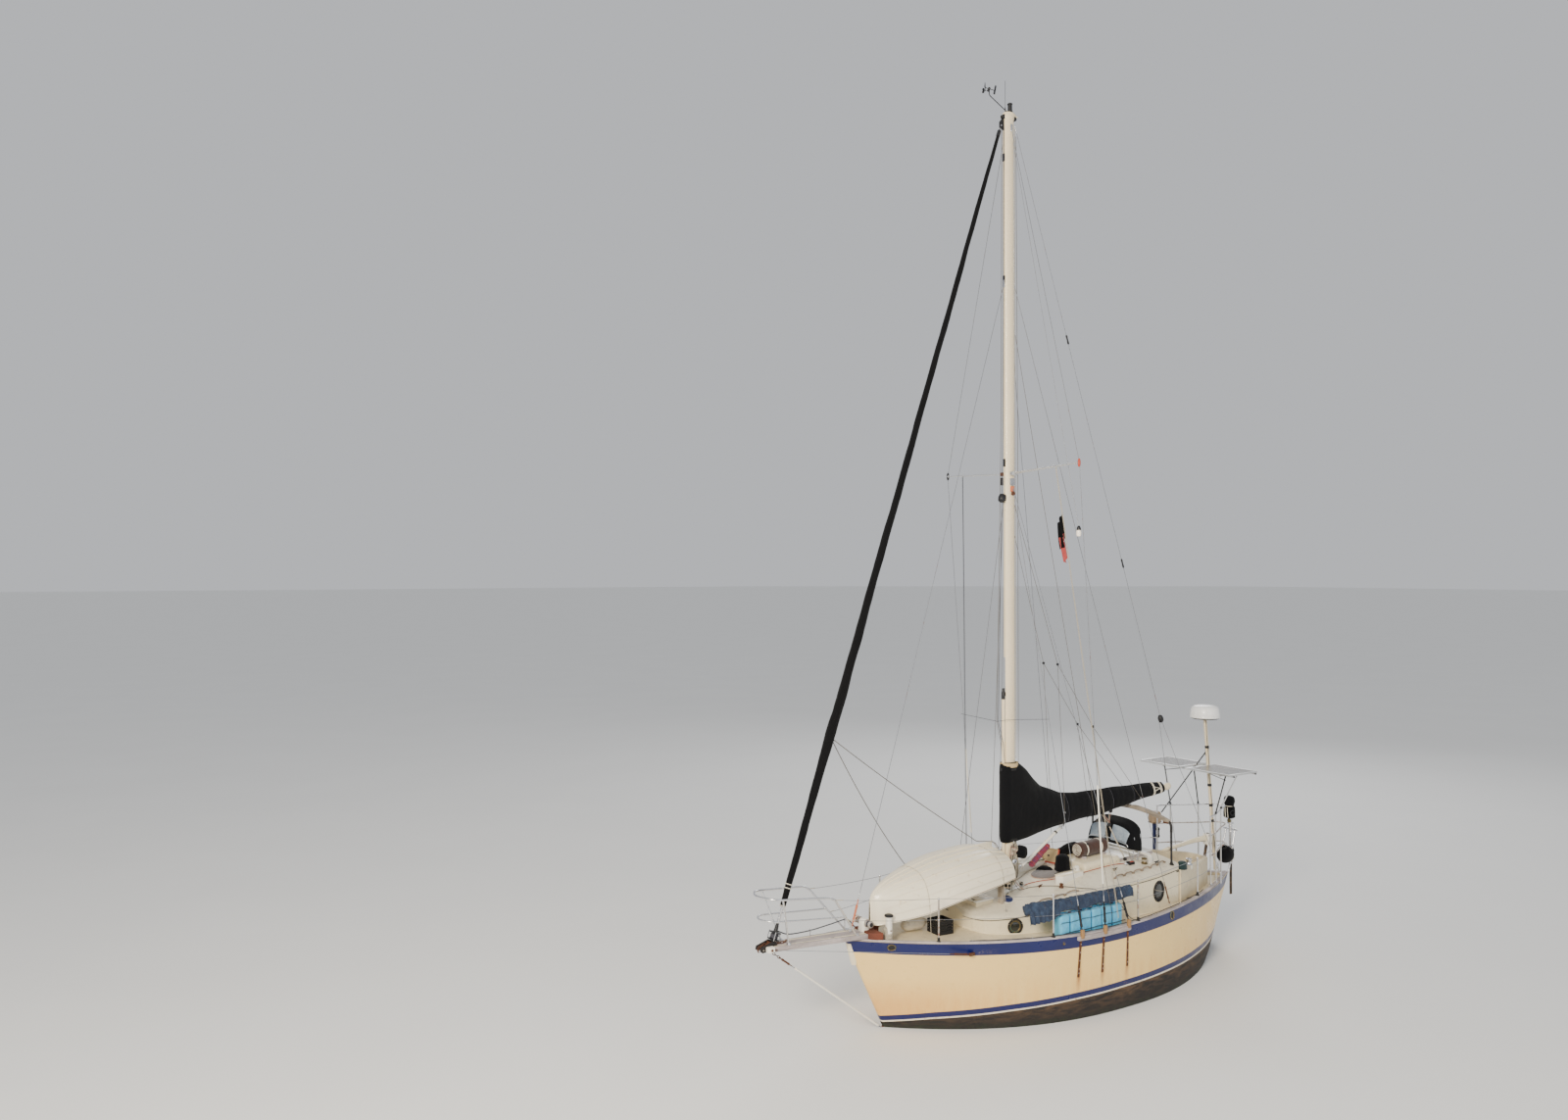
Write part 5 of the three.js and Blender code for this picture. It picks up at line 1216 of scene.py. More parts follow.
FEET = {"fore": 0.957, "cap": 0.511, "aft": -0.005}
def foot(name, s, z=1.29):
    x = FEET[name]
    return Vector((x, s * (sheer_half(x) + 0.026), z))

def shrouds(s):
    side_ = "port" if s > 0 else "starboard"
    p = Piece("cap_shroud_gear_" + side_, angle=40)
    top, tip, ft = Vector((MX, s * 0.066, 13.42)), Vector((MX, s * 1.462, 8.10)), foot("cap", s)
    p.rod(top, tip, WIRE, M["wire"], 8)
    d = (tip - ft).normalized()
    tb = ft + d * 0.40
    p.rod(tip, tb, WIRE, M["wire"], 8)
    swage(p, tb, d)
    turnbuckle(p, ft, tb, M["dark_metal"], 0.017)
    for z0, z1 in ((1.95, 3.40),) if s > 0 else ((2.15, 3.55),):
        a, b = ft + d * ((z0 - ft.z) / d.z), ft + d * ((z1 - ft.z) / d.z)
        p.tube([a, b], 0.0125, M["white"], 12)
        p.tube([a, a + d * 0.02], 0.0145, M["white"], 12)
    swage(p, top, tip - top, 0.12)
    p.box((MX - 0.02, min(s * 0.055, s * 0.078), 13.36), (MX + 0.02, max(s * 0.055, s * 0.078), 13.48), M["steel"], 0.004)
    p.done(["cap_shroud_" + side_], "wire")
    p = Piece("lower_shroud_gear_" + side_, angle=40)
    tang = Vector((MX, s * 0.068, 7.90))
    for nm in ("fore", "aft"):
        ft = foot(nm, s)
        d = (tang - ft).normalized()
        tb = ft + d * 0.38
        p.rod(tang, tb, WIRE, M["wire"], 8)
        swage(p, tb, d)
        turnbuckle(p, ft, tb, M["dark_metal"], 0.017)
    p.box((MX - 0.045, min(s * 0.055, s * 0.080), 7.86), (MX + 0.045, max(s * 0.055, s * 0.080), 7.97), M["steel"], 0.004)
    p.done(["lower_shrouds_" + side_], "wire")
    # chain plates down the topside, rusty, with streaks
    p = Piece("chain_plates_" + side_, angle=40)
    for nm, dx in (("fore", 0.02), ("cap", 0.01), ("aft", 0.0)):
        x = FEET[nm]
        pts = []
        for z in np.linspace(1.30, 0.63, 12):
            z = float(z)
            # hull side at this height
            yy = side_y(x, min(z, sheer_z(x)))
            if z > sheer_z(x) - 0.02:
                yy = sheer_half(x) + CAP_OUT
            pts.append((x + dx * (1.3 - z), yy + 0.005, z))
        rings = []
        for i, (a, b, c) in enumerate(pts):
            w = 0.019
            rings.append([(a - w, s * (b + 0.0005), c), (a - w * 0.8, s * (b + 0.006), c), (a + w * 0.8, s * (b + 0.006), c), (a + w, s * (b + 0.0005), c), (a + w, s * (b - 0.006), c), (a - w, s * (b - 0.006), c)])
        p.loft(rings, M["strap"])
        for i in (1, 3, 5, 7, 9, 10):
            a, b, c = pts[i]
            p.lathe([(0.009, 0), (0.009, 0.004), (0.005, 0.007)], (a, s * (b + 0.005), c), (0, s, 0), M["screw"], 8)
        p.box((x - 0.03, min(s * (sheer_half(x) + 0.008), s * (sheer_half(x) + 0.050)), 1.205), (x + 0.03, max(s * (sheer_half(x) + 0.008), s * (sheer_half(x) + 0.050)), 1.335), M["tan_block"], 0.012)
    p.done(slot="iron")

def side_y(x, z):
    """half breadth of the hull side at x and height z, by the hull lines"""
    key = round(x, 3)
    if key not in _cols:
        us = np.linspace(0, 1, 201)
        pts = []
        for kind, zb, zs, xb, xs, hb, tm, pw, qw, e in LEVELS[:7]:
            u = (x - xb) / (xs - xb)
            if not 0 <= u <= 1:
                continue
            sh = ((tm - u) / tm) ** pw if u < tm else ((u - tm) / (1 - tm)) ** qw
            zz = zb * sheer_z(x) if kind == "f" else lerp(zb, zs, u)
            pts.append((zz, e + (hb - e) * (1 - sh)))
        pts.sort()
        _cols[key] = pts
    pts = _cols[key]
    if len(pts) < 2:
        return 0.05
    return float(np.interp(z, [a for a, _ in pts], [b for _, b in pts]))

_cols = {}
for s in (1, -1):
    shrouds(s)

STAY_T, STAY_F = Vector((1.216, 0, 13.440)), Vector((5.352, 0, 1.560))
FURL = [(13.330, 0.026), (12.400, 0.034), (10.500, 0.042), (8.000, 0.050), (6.000, 0.058), (4.300, 0.072), (3.700, 0.060), (2.500, 0.048), (1.960, 0.040)]

def furled_sail():
    """the headsail rolled round its stay: a spiral of cloth with creases"""
    p = Piece("furled_headsail_roll", angle=50)
    random.seed(5)
    n, m = 28, 210
    d = (STAY_T - STAY_F)
    z_at = lambda z: STAY_F + d * ((z - STAY_F.z) / d.z)
    dn, sx, ux = basis(d)
    rings = []
    for i in range(m + 1):
        z = lerp(13.30, 1.98, i / m)
        r = table(FURL, z)
        c = z_at(z)
        tw = z * 2.3
        ring = []
        for j in range(n):
            q = 2 * math.pi * j / n
            ph = ((q + tw) / (2 * math.pi)) % 1
            step = 0.16 * (ph - 0.5) if ph < 0.94 else 0.16 * (0.44 - (ph - 0.94) * 14)
            w = noise.noise(Vector((math.cos(q) * 1.2, math.sin(q) * 1.2, z * 2.4))) * 0.14 + noise.noise(Vector((math.cos(q) * 3, math.sin(q) * 3, z * 9))) * 0.06
            rr = r * (0.98 + step + w)
            ring.append(c + sx * (rr * math.cos(q)) + ux * (rr * math.sin(q)))
        rings.append(ring)
    p.loft(rings, M["canvas2"])
    o = p.done(["furled_headsail"], "canvas")
    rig.padded(o, 0.8)
    q = Piece("headsail_hardware", angle=40)
    q.tube([STAY_F, z_at(2.0)], 0.018, M["steel"], 12)
    q.tube([z_at(13.28), STAY_T], 0.008, M["wire"], 10)
    q.lathe([(0.020, 0), (0.030, 0.01), (0.030, 0.10), (0.020, 0.115)], z_at(13.26), d, M["black"], 18)
    # pale tack webbing and lashing round the foot of the roll
    for z, r in ((2.22, 0.050), (2.27, 0.051), (1.99, 0.042)):
        q.ring(z_at(z), d, r, 0.006, M["sail"], 20, 6)
    q.done(slot="steel")

furled_sail()

def furler_drum():
    p = Piece("furler_drum", angle=40)
    d = STAY_T - STAY_F
    at = STAY_F + d.normalized() * 0.02
    p.lathe([(0.030, -0.05), (0.034, -0.03), (0.082, -0.024), (0.086, -0.018), (0.082, -0.012), (0.044, -0.006), (0.040, 0.03), (0.044, 0.062), (0.082, 0.068), (0.086, 0.074), (0.082, 0.080), (0.030, 0.088), (0.024, 0.16), (0.018, 0.20)], at, d, M["black"], 32)
    dn, sx, ux = basis(d)
    for k in range(6):        # turns of the furling line
        p.ring(at + dn * (0.002 + 0.0095 * k), d, 0.050 + 0.004 * math.sin(k * 2.1), 0.006, M["rope_dark"], 22, 6)
    for k in range(3):        # guard cage
        q = 2 * math.pi * k / 3 + 0.5
        o = sx * (0.09 * math.cos(q)) + ux * (0.09 * math.sin(q))
        p.tube([at + o - dn * 0.03, at + o * 1.04 + dn * 0.03, at + o + dn * 0.088], 0.006, M["steel"], 8)
    return p.done(["furling_drum"], "iron")

furler_drum()

def inner_stay():
    p = Piece("inner_forestay_gear", angle=40)
    a, b = Vector((4.075, 0, 1.446)), Vector((1.156, 0, 10.990))
    d = (b - a).normalized()
    t0, t1 = a + d * 0.06, a + d * 0.46
    p.rod(t1, b, WIRE, M["wire"], 8)
    turnbuckle(p, t0, t1, M["orange"], 0.015)
    swage(p, t1, d)
    p.rod(a, t0, 0.009, M["steel"], 10)
    p.slab([(a.x - 0.03, a.z - 0.06), (a.x + 0.03, a.z - 0.06), (a.x + 0.02, a.z + 0.03), (a.x - 0.02, a.z + 0.03)], "y", -0.006, 0.006, M["steel"], 0.002)
    p.box((1.135, -0.02, 10.93), (1.168, 0.02, 11.05), M["steel"], 0.004)
    swage(p, b, -d)
    return p.done(["inner_forestay"], "wire")

inner_stay()

def backstays():
    p = Piece("backstay_gear", angle=40)
    top, split = Vector((0.92, 0, 13.50)), Vector((-2.429, 0, 3.998))
    p.rod(top, split, WIRE, M["wire"], 8)
    swage(p, top, split - top, 0.12)
    p.slab([(split.x - 0.045, split.z - 0.06), (split.x + 0.045, split.z - 0.06), (split.x + 0.01, split.z + 0.05), (split.x - 0.01, split.z + 0.05)], "y", -0.005, 0.005, M["dark_metal"], 0.002)
    p.lathe([(0.010, -0.075), (0.030, -0.062), (0.046, -0.025), (0.046, 0.020), (0.030, 0.052), (0.010, 0.066)], split, split - top, M["black"], 20)
    for f in (0.34, 0.72):         # insulators
        c = top.lerp(split, f)
        p.lathe([(0.008, -0.08), (0.016, -0.06), (0.012, 0.0), (0.016, 0.06), (0.008, 0.08)], c, split - top, M["black"], 12)
    for s in (1, -1):
        ft = Vector((-3.416, s * 0.447, 1.30))
        a = split + Vector((0, s * 0.03, -0.05))
        d = (a - ft).normalized()
        p.rod(a, ft + d * 0.42, WIRE, M["wire"], 8)
        turnbuckle(p, ft, ft + d * 0.42, M["steel"], 0.014)
        swage(p, ft + d * 0.42, d)
        p.box((ft.x - 0.02, ft.y - 0.006, 1.15), (ft.x + 0.02, ft.y + 0.006, 1.325), M["steel"], 0.003)
    return p.done(["backstay"], "wire")

backstays()

# boom and its hardware
GOOSE = Vector((0.900, 0, 2.450))
boom_z = lambda x: lerp(2.450, 2.835, (0.900 - x) / 3.540)
BOOM_END = -2.640

def boom():
    p = Piece("boom_section", "boom_body", 40)
    d = Vector((BOOM_END - 0.9, 0, boom_z(BOOM_END) - 2.45)).normalized()
    rings = []
    for x in [0.842, 0.835, 0.5, 0, -0.5, -1, -1.5, -2, -2.5, -2.60]:
        k = 0.9 if x == 0.842 else 1
        rings.append([(x, 0.042 * k * s, boom_z(x) + 0.052 * k * c) for c, s in circle(28, 1)])
    p.loft(rings, M["mast"])
    ex = -2.60
    p.loft([[(x, 0.046 * k * s, boom_z(x) + 0.056 * k * c) for c, s in circle(28, 1)] for x, k in ((-2.55, 1.0), (-2.553, 1.06), (-2.60, 1.08), (-2.63, 1.0), (-2.639, 0.8), (-2.640, 0.3))], M["mast"])
    p.box((0.835, -0.022, 2.405), (0.880, 0.022, 2.495), M["alloy"], 0.006)
    # clew outhaul and topping lift shackles
    p.ring((-2.628, 0, boom_z(-2.64) + 0.050), (0, 1, 0), 0.014, 0.004, M["steel"], 14, 6)
    p.ring((-2.50, 0, boom_z(-2.5) - 0.060), (1, 0, 0), 0.016, 0.004, M["steel"], 14, 6)
    for x in (-0.95, -1.12):
        p.ring((x, 0, boom_z(x) - 0.058), (1, 0, 0), 0.016, 0.004, M["steel"], 14, 6)
        p.box((x - 0.03, -0.03, boom_z(x) - 0.055), (x + 0.03, 0.03, boom_z(x) - 0.040), M["steel"], 0.004)
    return p.done(["boom"], "mast")

boom()

def gooseneck():
    p = Piece("gooseneck_fitting", angle=40)
    p.box((0.950, -0.045, 2.30), (0.974, 0.045, 2.60), M["steel"], 0.006)
    for z in (2.400, 2.500):
        p.slab([(0.965, -0.035), (0.965, 0.035), (0.900, 0.022), (0.884, 0.0), (0.900, -0.022)], "z", z - 0.006, z + 0.006, M["steel"], 0.002)
    p.lathe([(0.013, -0.07), (0.013, -0.062), (0.0085, -0.060), (0.0085, 0.060), (0.013, 0.062), (0.013, 0.070)], GOOSE, (0, 0, 1), M["steel"], 14)
    for z in (2.325, 2.575):
        for y in (-0.03, 0.03):
            p.lathe([(0.006, 0), (0.005, 0.004)], (0.950, y, z), (-1, 0, 0), M["screw"], 8)
    return p.done(["gooseneck_bracket"], "steel")

gooseneck()

def vang():
    """white strut from the mast foot to the boom: it turns with the boom"""
    p = Piece("rigid_vang", "boom_body", 40)
    a, b = Vector((0.845, 0, 1.905)), Vector((-0.060, 0, 2.442))
    d = (b - a).normalized()
    p.tube([a + d * 0.05, a + d * 0.90], 0.025, M["white"], 18)
    p.tube([a + d * 0.88, a + d * 0.910], 0.029, M["black"], 18)
    p.tube([a + d * 0.90, b - d * 0.045], 0.019, M["white"], 16)
    for c, s in ((a, 1), (b, -1)):
        p.box(tuple(c + d * (0.02 * s) - Vector((0.03, 0.014, 0.03))), tuple(c + d * (0.02 * s) + Vector((0.03, 0.014, 0.03))), M["steel"], 0.006)
        p.lathe([(0.008, -0.026), (0.008, 0.026)], c + d * (0.01 * s), (0, 1, 0), M["steel"], 10)
    p.box((-0.11, -0.016, 2.452), (-0.01, 0.016, 2.500), M["steel"], 0.004)
    return p.done(["boom_vang"], "white")

vang()

def pole():
    p = Piece("whisker_pole_tube", angle=40)
    x = 1.184
    p.tube([(x, 0, 1.80), (x, 0, 4.56)], 0.026, M["mast"], 20)
    p.lathe([(0.027, 0), (0.029, 0.02), (0.029, 0.10), (0.020, 0.12), (0.016, 0.17)], (x, 0, 4.55), (0, 0, 1), M["black"], 20)
    p.lathe([(0.027, 0), (0.029, -0.02), (0.027, -0.07), (0.018, -0.085)], (x, 0, 1.805), (0, 0, 1), M["black"], 20)
    p.box((MX + MA - 0.002, -0.02, 4.60), (x + 0.016, 0.02, 4.66), M["black"], 0.005)
    p.box((MX + MA - 0.002, -0.02, 1.74), (x + 0.010, 0.02, 1.78), M["steel"], 0.005)
    return p.done(["whisker_pole"], "white")

pole()

# ------------------------------------------------------------------ bow platform, pulpit and its stays
def bow():
    p = Piece("bow_platform_planks", angle=40)
    w = lambda x: lerp(0.165, 0.120, (x - 3.70) / 1.70)
    zb = lambda x: lerp(1.352, 1.430, (x - 3.70) / 1.70)
    zt = lambda x: zb(x) + 0.068
    n = 5      # planks across
    for k in range(n):
        rings = []
        for x in (3.900, 4.2, 4.8, 5.38):
            y0, y1 = lerp(-w(x) + 0.012, w(x) - 0.012, k / n) + 0.003, lerp(-w(x) + 0.012, w(x) - 0.012, (k + 1) / n) - 0.003
            rings.append([(x, y0, zt(x) - 0.02), (x, y1, zt(x) - 0.02), (x, y1, zt(x) - 0.003), (x, y1 - 0.003, zt(x)), (x, y0 + 0.003, zt(x)), (x, y0, zt(x) - 0.003)])
        p.loft(rings, M["house"] if k in (0, 4) else M["cap"])
    for s in (1, -1):      # side boards, grey and bolted
        rings = []
        for x in (3.885, 3.90, 4.5, 5.2, 5.385, 5.398):
            e = 0.006 if x in (3.885, 5.398) else 0
            a, b = w(x) - 0.030, w(x)
            rings.append([(x, s * a, zb(x) + e), (x, s * (b - 0.004), zb(x) + e), (x, s * b, zb(x) + 0.005 + e), (x, s * b, zt(x) - 0.006 - e), (x, s * (b - 0.005), zt(x) - e), (x, s * a, zt(x) - e)])
        p.loft(rings, M["cap"])
        for x in (4.20, 4.28, 4.50, 4.62, 4.68, 5.05):
            p.lathe([(0.010, 0), (0.010, 0.004), (0.005, 0.008)], (x, s * w(x), zb(x) + 0.034), (0, s, 0), M["screw"], 8)
    p.loft([[(x, -w(x) + 0.03, zb(x) + 0.004), (x, w(x) - 0.03, zb(x) + 0.004), (x, w(x) - 0.03, zb(x) + 0.046), (x, -w(x) + 0.03, zb(x) + 0.046)] for x in (3.895, 5.39)], M["cap"])
    p.slab([(3.890, -0.168), (3.890, 0.168), (3.862, 0.215), (3.800, 0.262), (3.722, 0.300), (3.722, -0.168)], "z", 1.318, 1.452, M["rust_wood"], 0.008)
    # long dark mark on the port board
    p.box((4.42, 0.085, 1.4525), (4.72, 0.098, 1.4555), M["rubber"], 0.001)
    p.done(["bowsprit_platform"], "white")
    q = Piece("stem_guard", angle=40)
    rings = []
    for z, x0 in ((1.30, 4.135), (1.20, 4.108), (1.08, 4.070), (0.98, 4.040)):
        k = lerp(1.0, 0.5, (1.30 - z) / 0.32)
        rings.append([(x0 - 0.09 * k, 0.06 * k, z), (x0 - 0.02, 0.05 * k, z), (x0 + 0.012, 0.018, z), (x0 + 0.012, -0.018, z), (x0 - 0.02, -0.05 * k, z), (x0 - 0.09 * k, -0.06 * k, z)])
    q.loft(rings, M["house"])
    q.done(slot="gelcoat")

bow()


def rounded(pts, d, n=5):
    """a path with its corners turned on a radius"""
    out = [Vector(pts[0])]
    for i in range(1, len(pts) - 1):
        a, q, b = Vector(pts[i - 1]), Vector(pts[i]), Vector(pts[i + 1])
        da, db = min(d, 0.45 * (a - q).length), min(d, 0.45 * (b - q).length)
        p0, p2 = q + (a - q).normalized() * da, q + (b - q).normalized() * db
        for k in range(n + 1):
            t = k / n
            out.append(p0 * (1 - t) ** 2 + q * (2 * t * (1 - t)) + p2 * t * t)
    out.append(Vector(pts[-1]))
    return out

PUL_UP = [(4.050, 0.128, 1.412), (4.600, 0.340, 2.090), (5.500, 0.270, 2.170), (5.640, 0, 2.185), (5.500, -0.270, 2.170), (4.600, -0.340, 2.090), (4.050, -0.128, 1.412)]
PUL_LO = [(4.335, 0.238, 1.758), (5.480, 0.190, 1.858), (5.600, 0, 1.868), (5.480, -0.190, 1.858), (4.335, -0.238, 1.758)]

def pulpit():
    p = Piece("pulpit_tubes", angle=50)
    p.tube(rounded(PUL_UP, 0.11, 7), 0.0145, M["steel"], 14)
    p.tube(rounded(PUL_LO, 0.10, 7), 0.011, M["steel"], 12)
    for s in (1, -1):
        p.tube([(5.170, s * 0.100, 1.490), (5.370, s * 0.281, 2.158)], 0.0125, M["steel"], 12)
        p.lathe([(0.034, -0.004), (0.034, 0.004), (0.020, 0.007), (0.016, 0.022)], (5.166, s * 0.102, 1.490), (0, 0, 1), M["steel"], 18)
        p.lathe([(0.034, -0.004), (0.034, 0.004), (0.020, 0.007), (0.016, 0.022)], (4.056, s * 0.130, 1.440), (0.1, 0, 1), M["steel"], 18)
        p.lathe([(0.016, -0.02), (0.018, -0.015), (0.018, 0.015), (0.016, 0.02)], (4.345, s * 0.2415, 1.772), Vector((0.55, 0.212 * s, 0.678)), M["steel"], 12)
        p.ring((4.565, s * 0.332, 2.046), (1, 0, 0), 0.014, 0.0035, M["steel"], 14, 6)
    return p.done(["pulpit"], "steel")

pulpit()

def chain(p, pts, pitch, r, mat):
    """oval links along pts, each turned a quarter from the last"""
    P = [Vector(q) for q in pts]
    seg = [0]
    for a, b in zip(P, P[1:]):
        seg.append(seg[-1] + (b - a).length)
    n = max(2, int(seg[-1] / pitch))
    for k in range(n):
        s = seg[-1] * (k + 0.5) / n
        i = max(j for j in range(len(P) - 1) if seg[j] <= s + 1e-9)
        f = (s - seg[i]) / max(1e-9, seg[i + 1] - seg[i])
        c, d = P[i].lerp(P[i + 1], f), (P[i + 1] - P[i]).normalized()
        _, sx, ux = basis(d)
        w = sx if k % 2 else ux
        link = []
        for j in range(12):
            q = 2 * math.pi * j / 12
            link.append(c + d * (pitch * 0.66 * math.cos(q)) + w * (pitch * 0.40 * math.sin(q)))
        p.tube(link, r, mat, 6, wrap=True)

def bow_fittings():
    p = Piece("bow_roller_fitting", angle=40)
    for s in (1, -1):
        p.slab([(5.332, 1.446), (5.555, 1.424), (5.596, 1.452), (5.588, 1.498), (5.400, 1.556), (5.334, 1.530)], "y", s * 0.062 - 0.0045, s * 0.062 + 0.0045, M["dark_metal"], 0.002)
    p.lathe([(0.034, -0.054), (0.030, -0.04), (0.018, -0.01), (0.018, 0.01), (0.030, 0.04), (0.034, 0.054)], (5.545, 0, 1.462), (0, 1, 0), M["dark_metal"], 24)
    p.lathe([(0.010, -0.074), (0.010, 0.074)], (5.545, 0, 1.462), (0, 1, 0), M["screw"], 12)
    p.box((5.402, -0.060, 1.502), (5.424, 0.060, 1.538), M["strap"], 0.004)
    # white end block under the port side with rusty fastenings
    p.box((5.405, 0.068, 1.432), (5.515, 0.150, 1.508), M["white"], 0.016, 3)
    p.box((5.41, -0.145, 1.436), (5.50, -0.068, 1.502), M["white"], 0.014, 3)
    p.lathe([(0.017, -0.012), (0.017, 0.01), (0.009, 0.016)], (5.46, 0.150, 1.47), (0, 1, 0), M["strap"], 10)
    # short length of rusty chain stowed over the roller, ending on the stem fitting
    pts = catmull([(5.30, 0.03, 1.512), (5.42, 0.02, 1.520), (5.52, 0.0, 1.512), (5.590, 0.0, 1.470), (5.585, 0.0, 1.425)], 6)
    chain(p, pts, 0.040, 0.0055, M["strap"])
    chain(p, catmull([(5.12, -0.03, 1.502), (5.2, 0.02, 1.504), (5.30, 0.03, 1.512)], 4), 0.040, 0.0055, M["strap"])
    return p.done(["bow_roller"], "iron")

bow_fittings()

BOB_A, BOB_B = Vector((5.400, 0, 1.417)), Vector((3.905, 0, 0.555))

def bobstay():
    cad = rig.box("bobstay")
    p = Piece("bobstay_gear", angle=40)
    lo, hi = Vector(cad[0]), Vector(cad[1])
    a, b = Vector((hi.x - 0.02, 0, hi.z - 0.01)), Vector((lo.x + 0.015, 0, lo.z + 0.015))
    d = (b - a).normalized()
    L = (b - a).length
    chain(p, [a + d * 0.02, a + d * 0.16], 0.036, 0.005, M["strap"])
    turnbuckle(p, a + d * 0.15, a + d * 0.40, M["strap"], 0.013)
    p.rod(a + d * 0.39, b, 0.0055, M["wire"], 8)
    p.tube([a + d * 0.47, b - d * 0.10], 0.0155, M["white"], 14)
    p.tube([a + d * 0.465, a + d * 0.49], 0.018, M["white"], 14)
    p.lathe([(0.012, -0.02), (0.012, 0.02)], b, (0, 1, 0), M["screw"], 10)
    for s in (1, -1):
        p.slab([(b.x - 0.05, b.z - 0.03), (b.x + 0.02, b.z + 0.02), (b.x + 0.01, b.z + 0.045), (b.x - 0.06, b.z + 0.0)], "y", s * 0.011 - 0.003, s * 0.011 + 0.003, M["strap"], 0.001)
    return p.done(["bobstay"], "steel")

bobstay()

def whisker_stays():
    for s in (1, -1):
        nm = "port" if s > 0 else "starboard"
        p = Piece("whisker_stay_gear_" + nm, angle=40)
        a, b = Vector((5.380, s * 0.128, 1.452)), Vector((2.660, s * 0.948, 1.150))
        d = (b - a).normalized()
        p.rod(a, b - d * 0.34, 0.0035, M["wire"], 8)
        turnbuckle(p, b, b - d * 0.34, M["strap"], 0.012)
        p.box((b.x - 0.045, min(s * 0.930, s * 0.962), b.z - 0.022), (b.x + 0.045, max(s * 0.930, s * 0.962), b.z + 0.022), M["strap"], 0.004)
        p.ring(a, (0, 1, 0), 0.014, 0.004, M["strap"], 12, 6)
        p.done(["whisker_stay_" + nm], "wire")

whisker_stays()

# ------------------------------------------------------------------ guard rails
STANCH = [3.050, 1.420, -0.290, -2.216]

def guard_rails():
    for s in (1, -1):
        nm = "port" if s > 0 else "starboard"
        p = Piece("guard_rail_" + nm, angle=50)
        base = lambda x: Vector((x, s * (sheer_half(x) - 0.024), sheer_z(x) + CAP_T))
        up = lambda x, h: base(x) + Vector((0, 0, h))
        for i, x in enumerate(STANCH):
            b = base(x)
            look_ = M["screw"] if (i in (0, 2) and s > 0) else M["steel"]
            p.tube([b, b + Vector((0, 0, 0.612))], 0.0125, look_, 14)
            p.lathe([(0.0125, 0.604), (0.0125, 0.612), (0.008, 0.620), (0.001, 0.621)], b, (0, 0, 1), look_, 14)
            p.lathe([(0.033, 0.0015), (0.033, 0.006), (0.020, 0.010), (0.0185, 0.055), (0.0135, 0.060)], b, (0, 0, 1), M["rubber"], 18)
            for q in range(3):
                a = 2 * math.pi * q / 3 + 0.4
                p.lathe([(0.005, 0), (0.004, 0.003)], b + Vector((0.025 * math.cos(a), 0.025 * math.sin(a), 0.006)), (0, 0, 1), M["screw"], 6)
            for h in (0.310, 0.602):
                p.lathe([(0.0145, -0.010), (0.0155, 0), (0.0145, 0.010)], up(x, h), (0, 0, 1), M["steel"], 12)
        top = [Vector((4.565, s * 0.326, 2.046))] + [up(x, 0.602) for x in STANCH] + [Vector((-3.000, s * 0.560, 1.790))]
        mid = [Vector((4.290, s * 0.221, 1.702))] + [up(x, 0.310) for x in STANCH] + [Vector((-3.000, s * 0.560, 1.490))]
        for line in (top, mid):
            pts = []
            for a, b in zip(line, line[1:]):
                for k in range(6):
                    f = k / 6
                    pts.append(a.lerp(b, f) - Vector((0, 0, 0.014 * 4 * f * (1 - f))))
            pts.append(line[-1])
            p.tube(pts, 0.0032, M["wire"], 6)
            d = (line[-2] - line[-1]).normalized()
            turnbuckle(p, line[-1], line[-1] + d * 0.16, M["steel"], 0.008)
            d = (line[1] - line[0]).normalized()
            p.tube([line[0], line[0] + d * 0.12], 0.006, M["rope"], 8)
        p.done(["lifelines_" + nm], "steel")

guard_rails()

# ------------------------------------------------------------------ stern rails, solar panels, radar pole
RAIL = [(-3.000, 0.560), (-3.250, 0.474), (-3.700, 0.236), (-4.000, 0.110)]

def stern_rails():
    p = Piece("stern_rail_tubes", angle=50)
    for z, r in ((2.360, 0.0128), (2.040, 0.0108), (1.700, 0.0108)):
        line = [(x, y, z) for x, y in RAIL] + [(-4.085, 0, z)] + [(x, -y, z) for x, y in reversed(RAIL)]
        p.tube(rounded(line, 0.12, 6), r, M["steel"] if z > 2.2 else M["screw"], 12)
    for i in range(3):
        x, y = RAIL[i]
        for s in (1, -1):
            b = Vector((x, s * y, sheer_z(x) + CAP_T))
            p.tube([b, (x, s * y, 2.360)], 0.0125, M["steel"], 12)
            p.lathe([(0.034, 0.0015), (0.034, 0.007), (0.020, 0.011), (0.018, 0.035)], b, (0, 0, 1), M["steel"], 18)
            for z in (2.040, 1.700, 2.356):
                p.lathe([(0.0145, -0.014), (0.0155, 0), (0.0145, 0.014)], (x, s * y, z), (0, 0, 1), M["steel"], 12)
    return p.done(["stern_rail"], "steel")

stern_rails()

PANEL_Z = 3.060

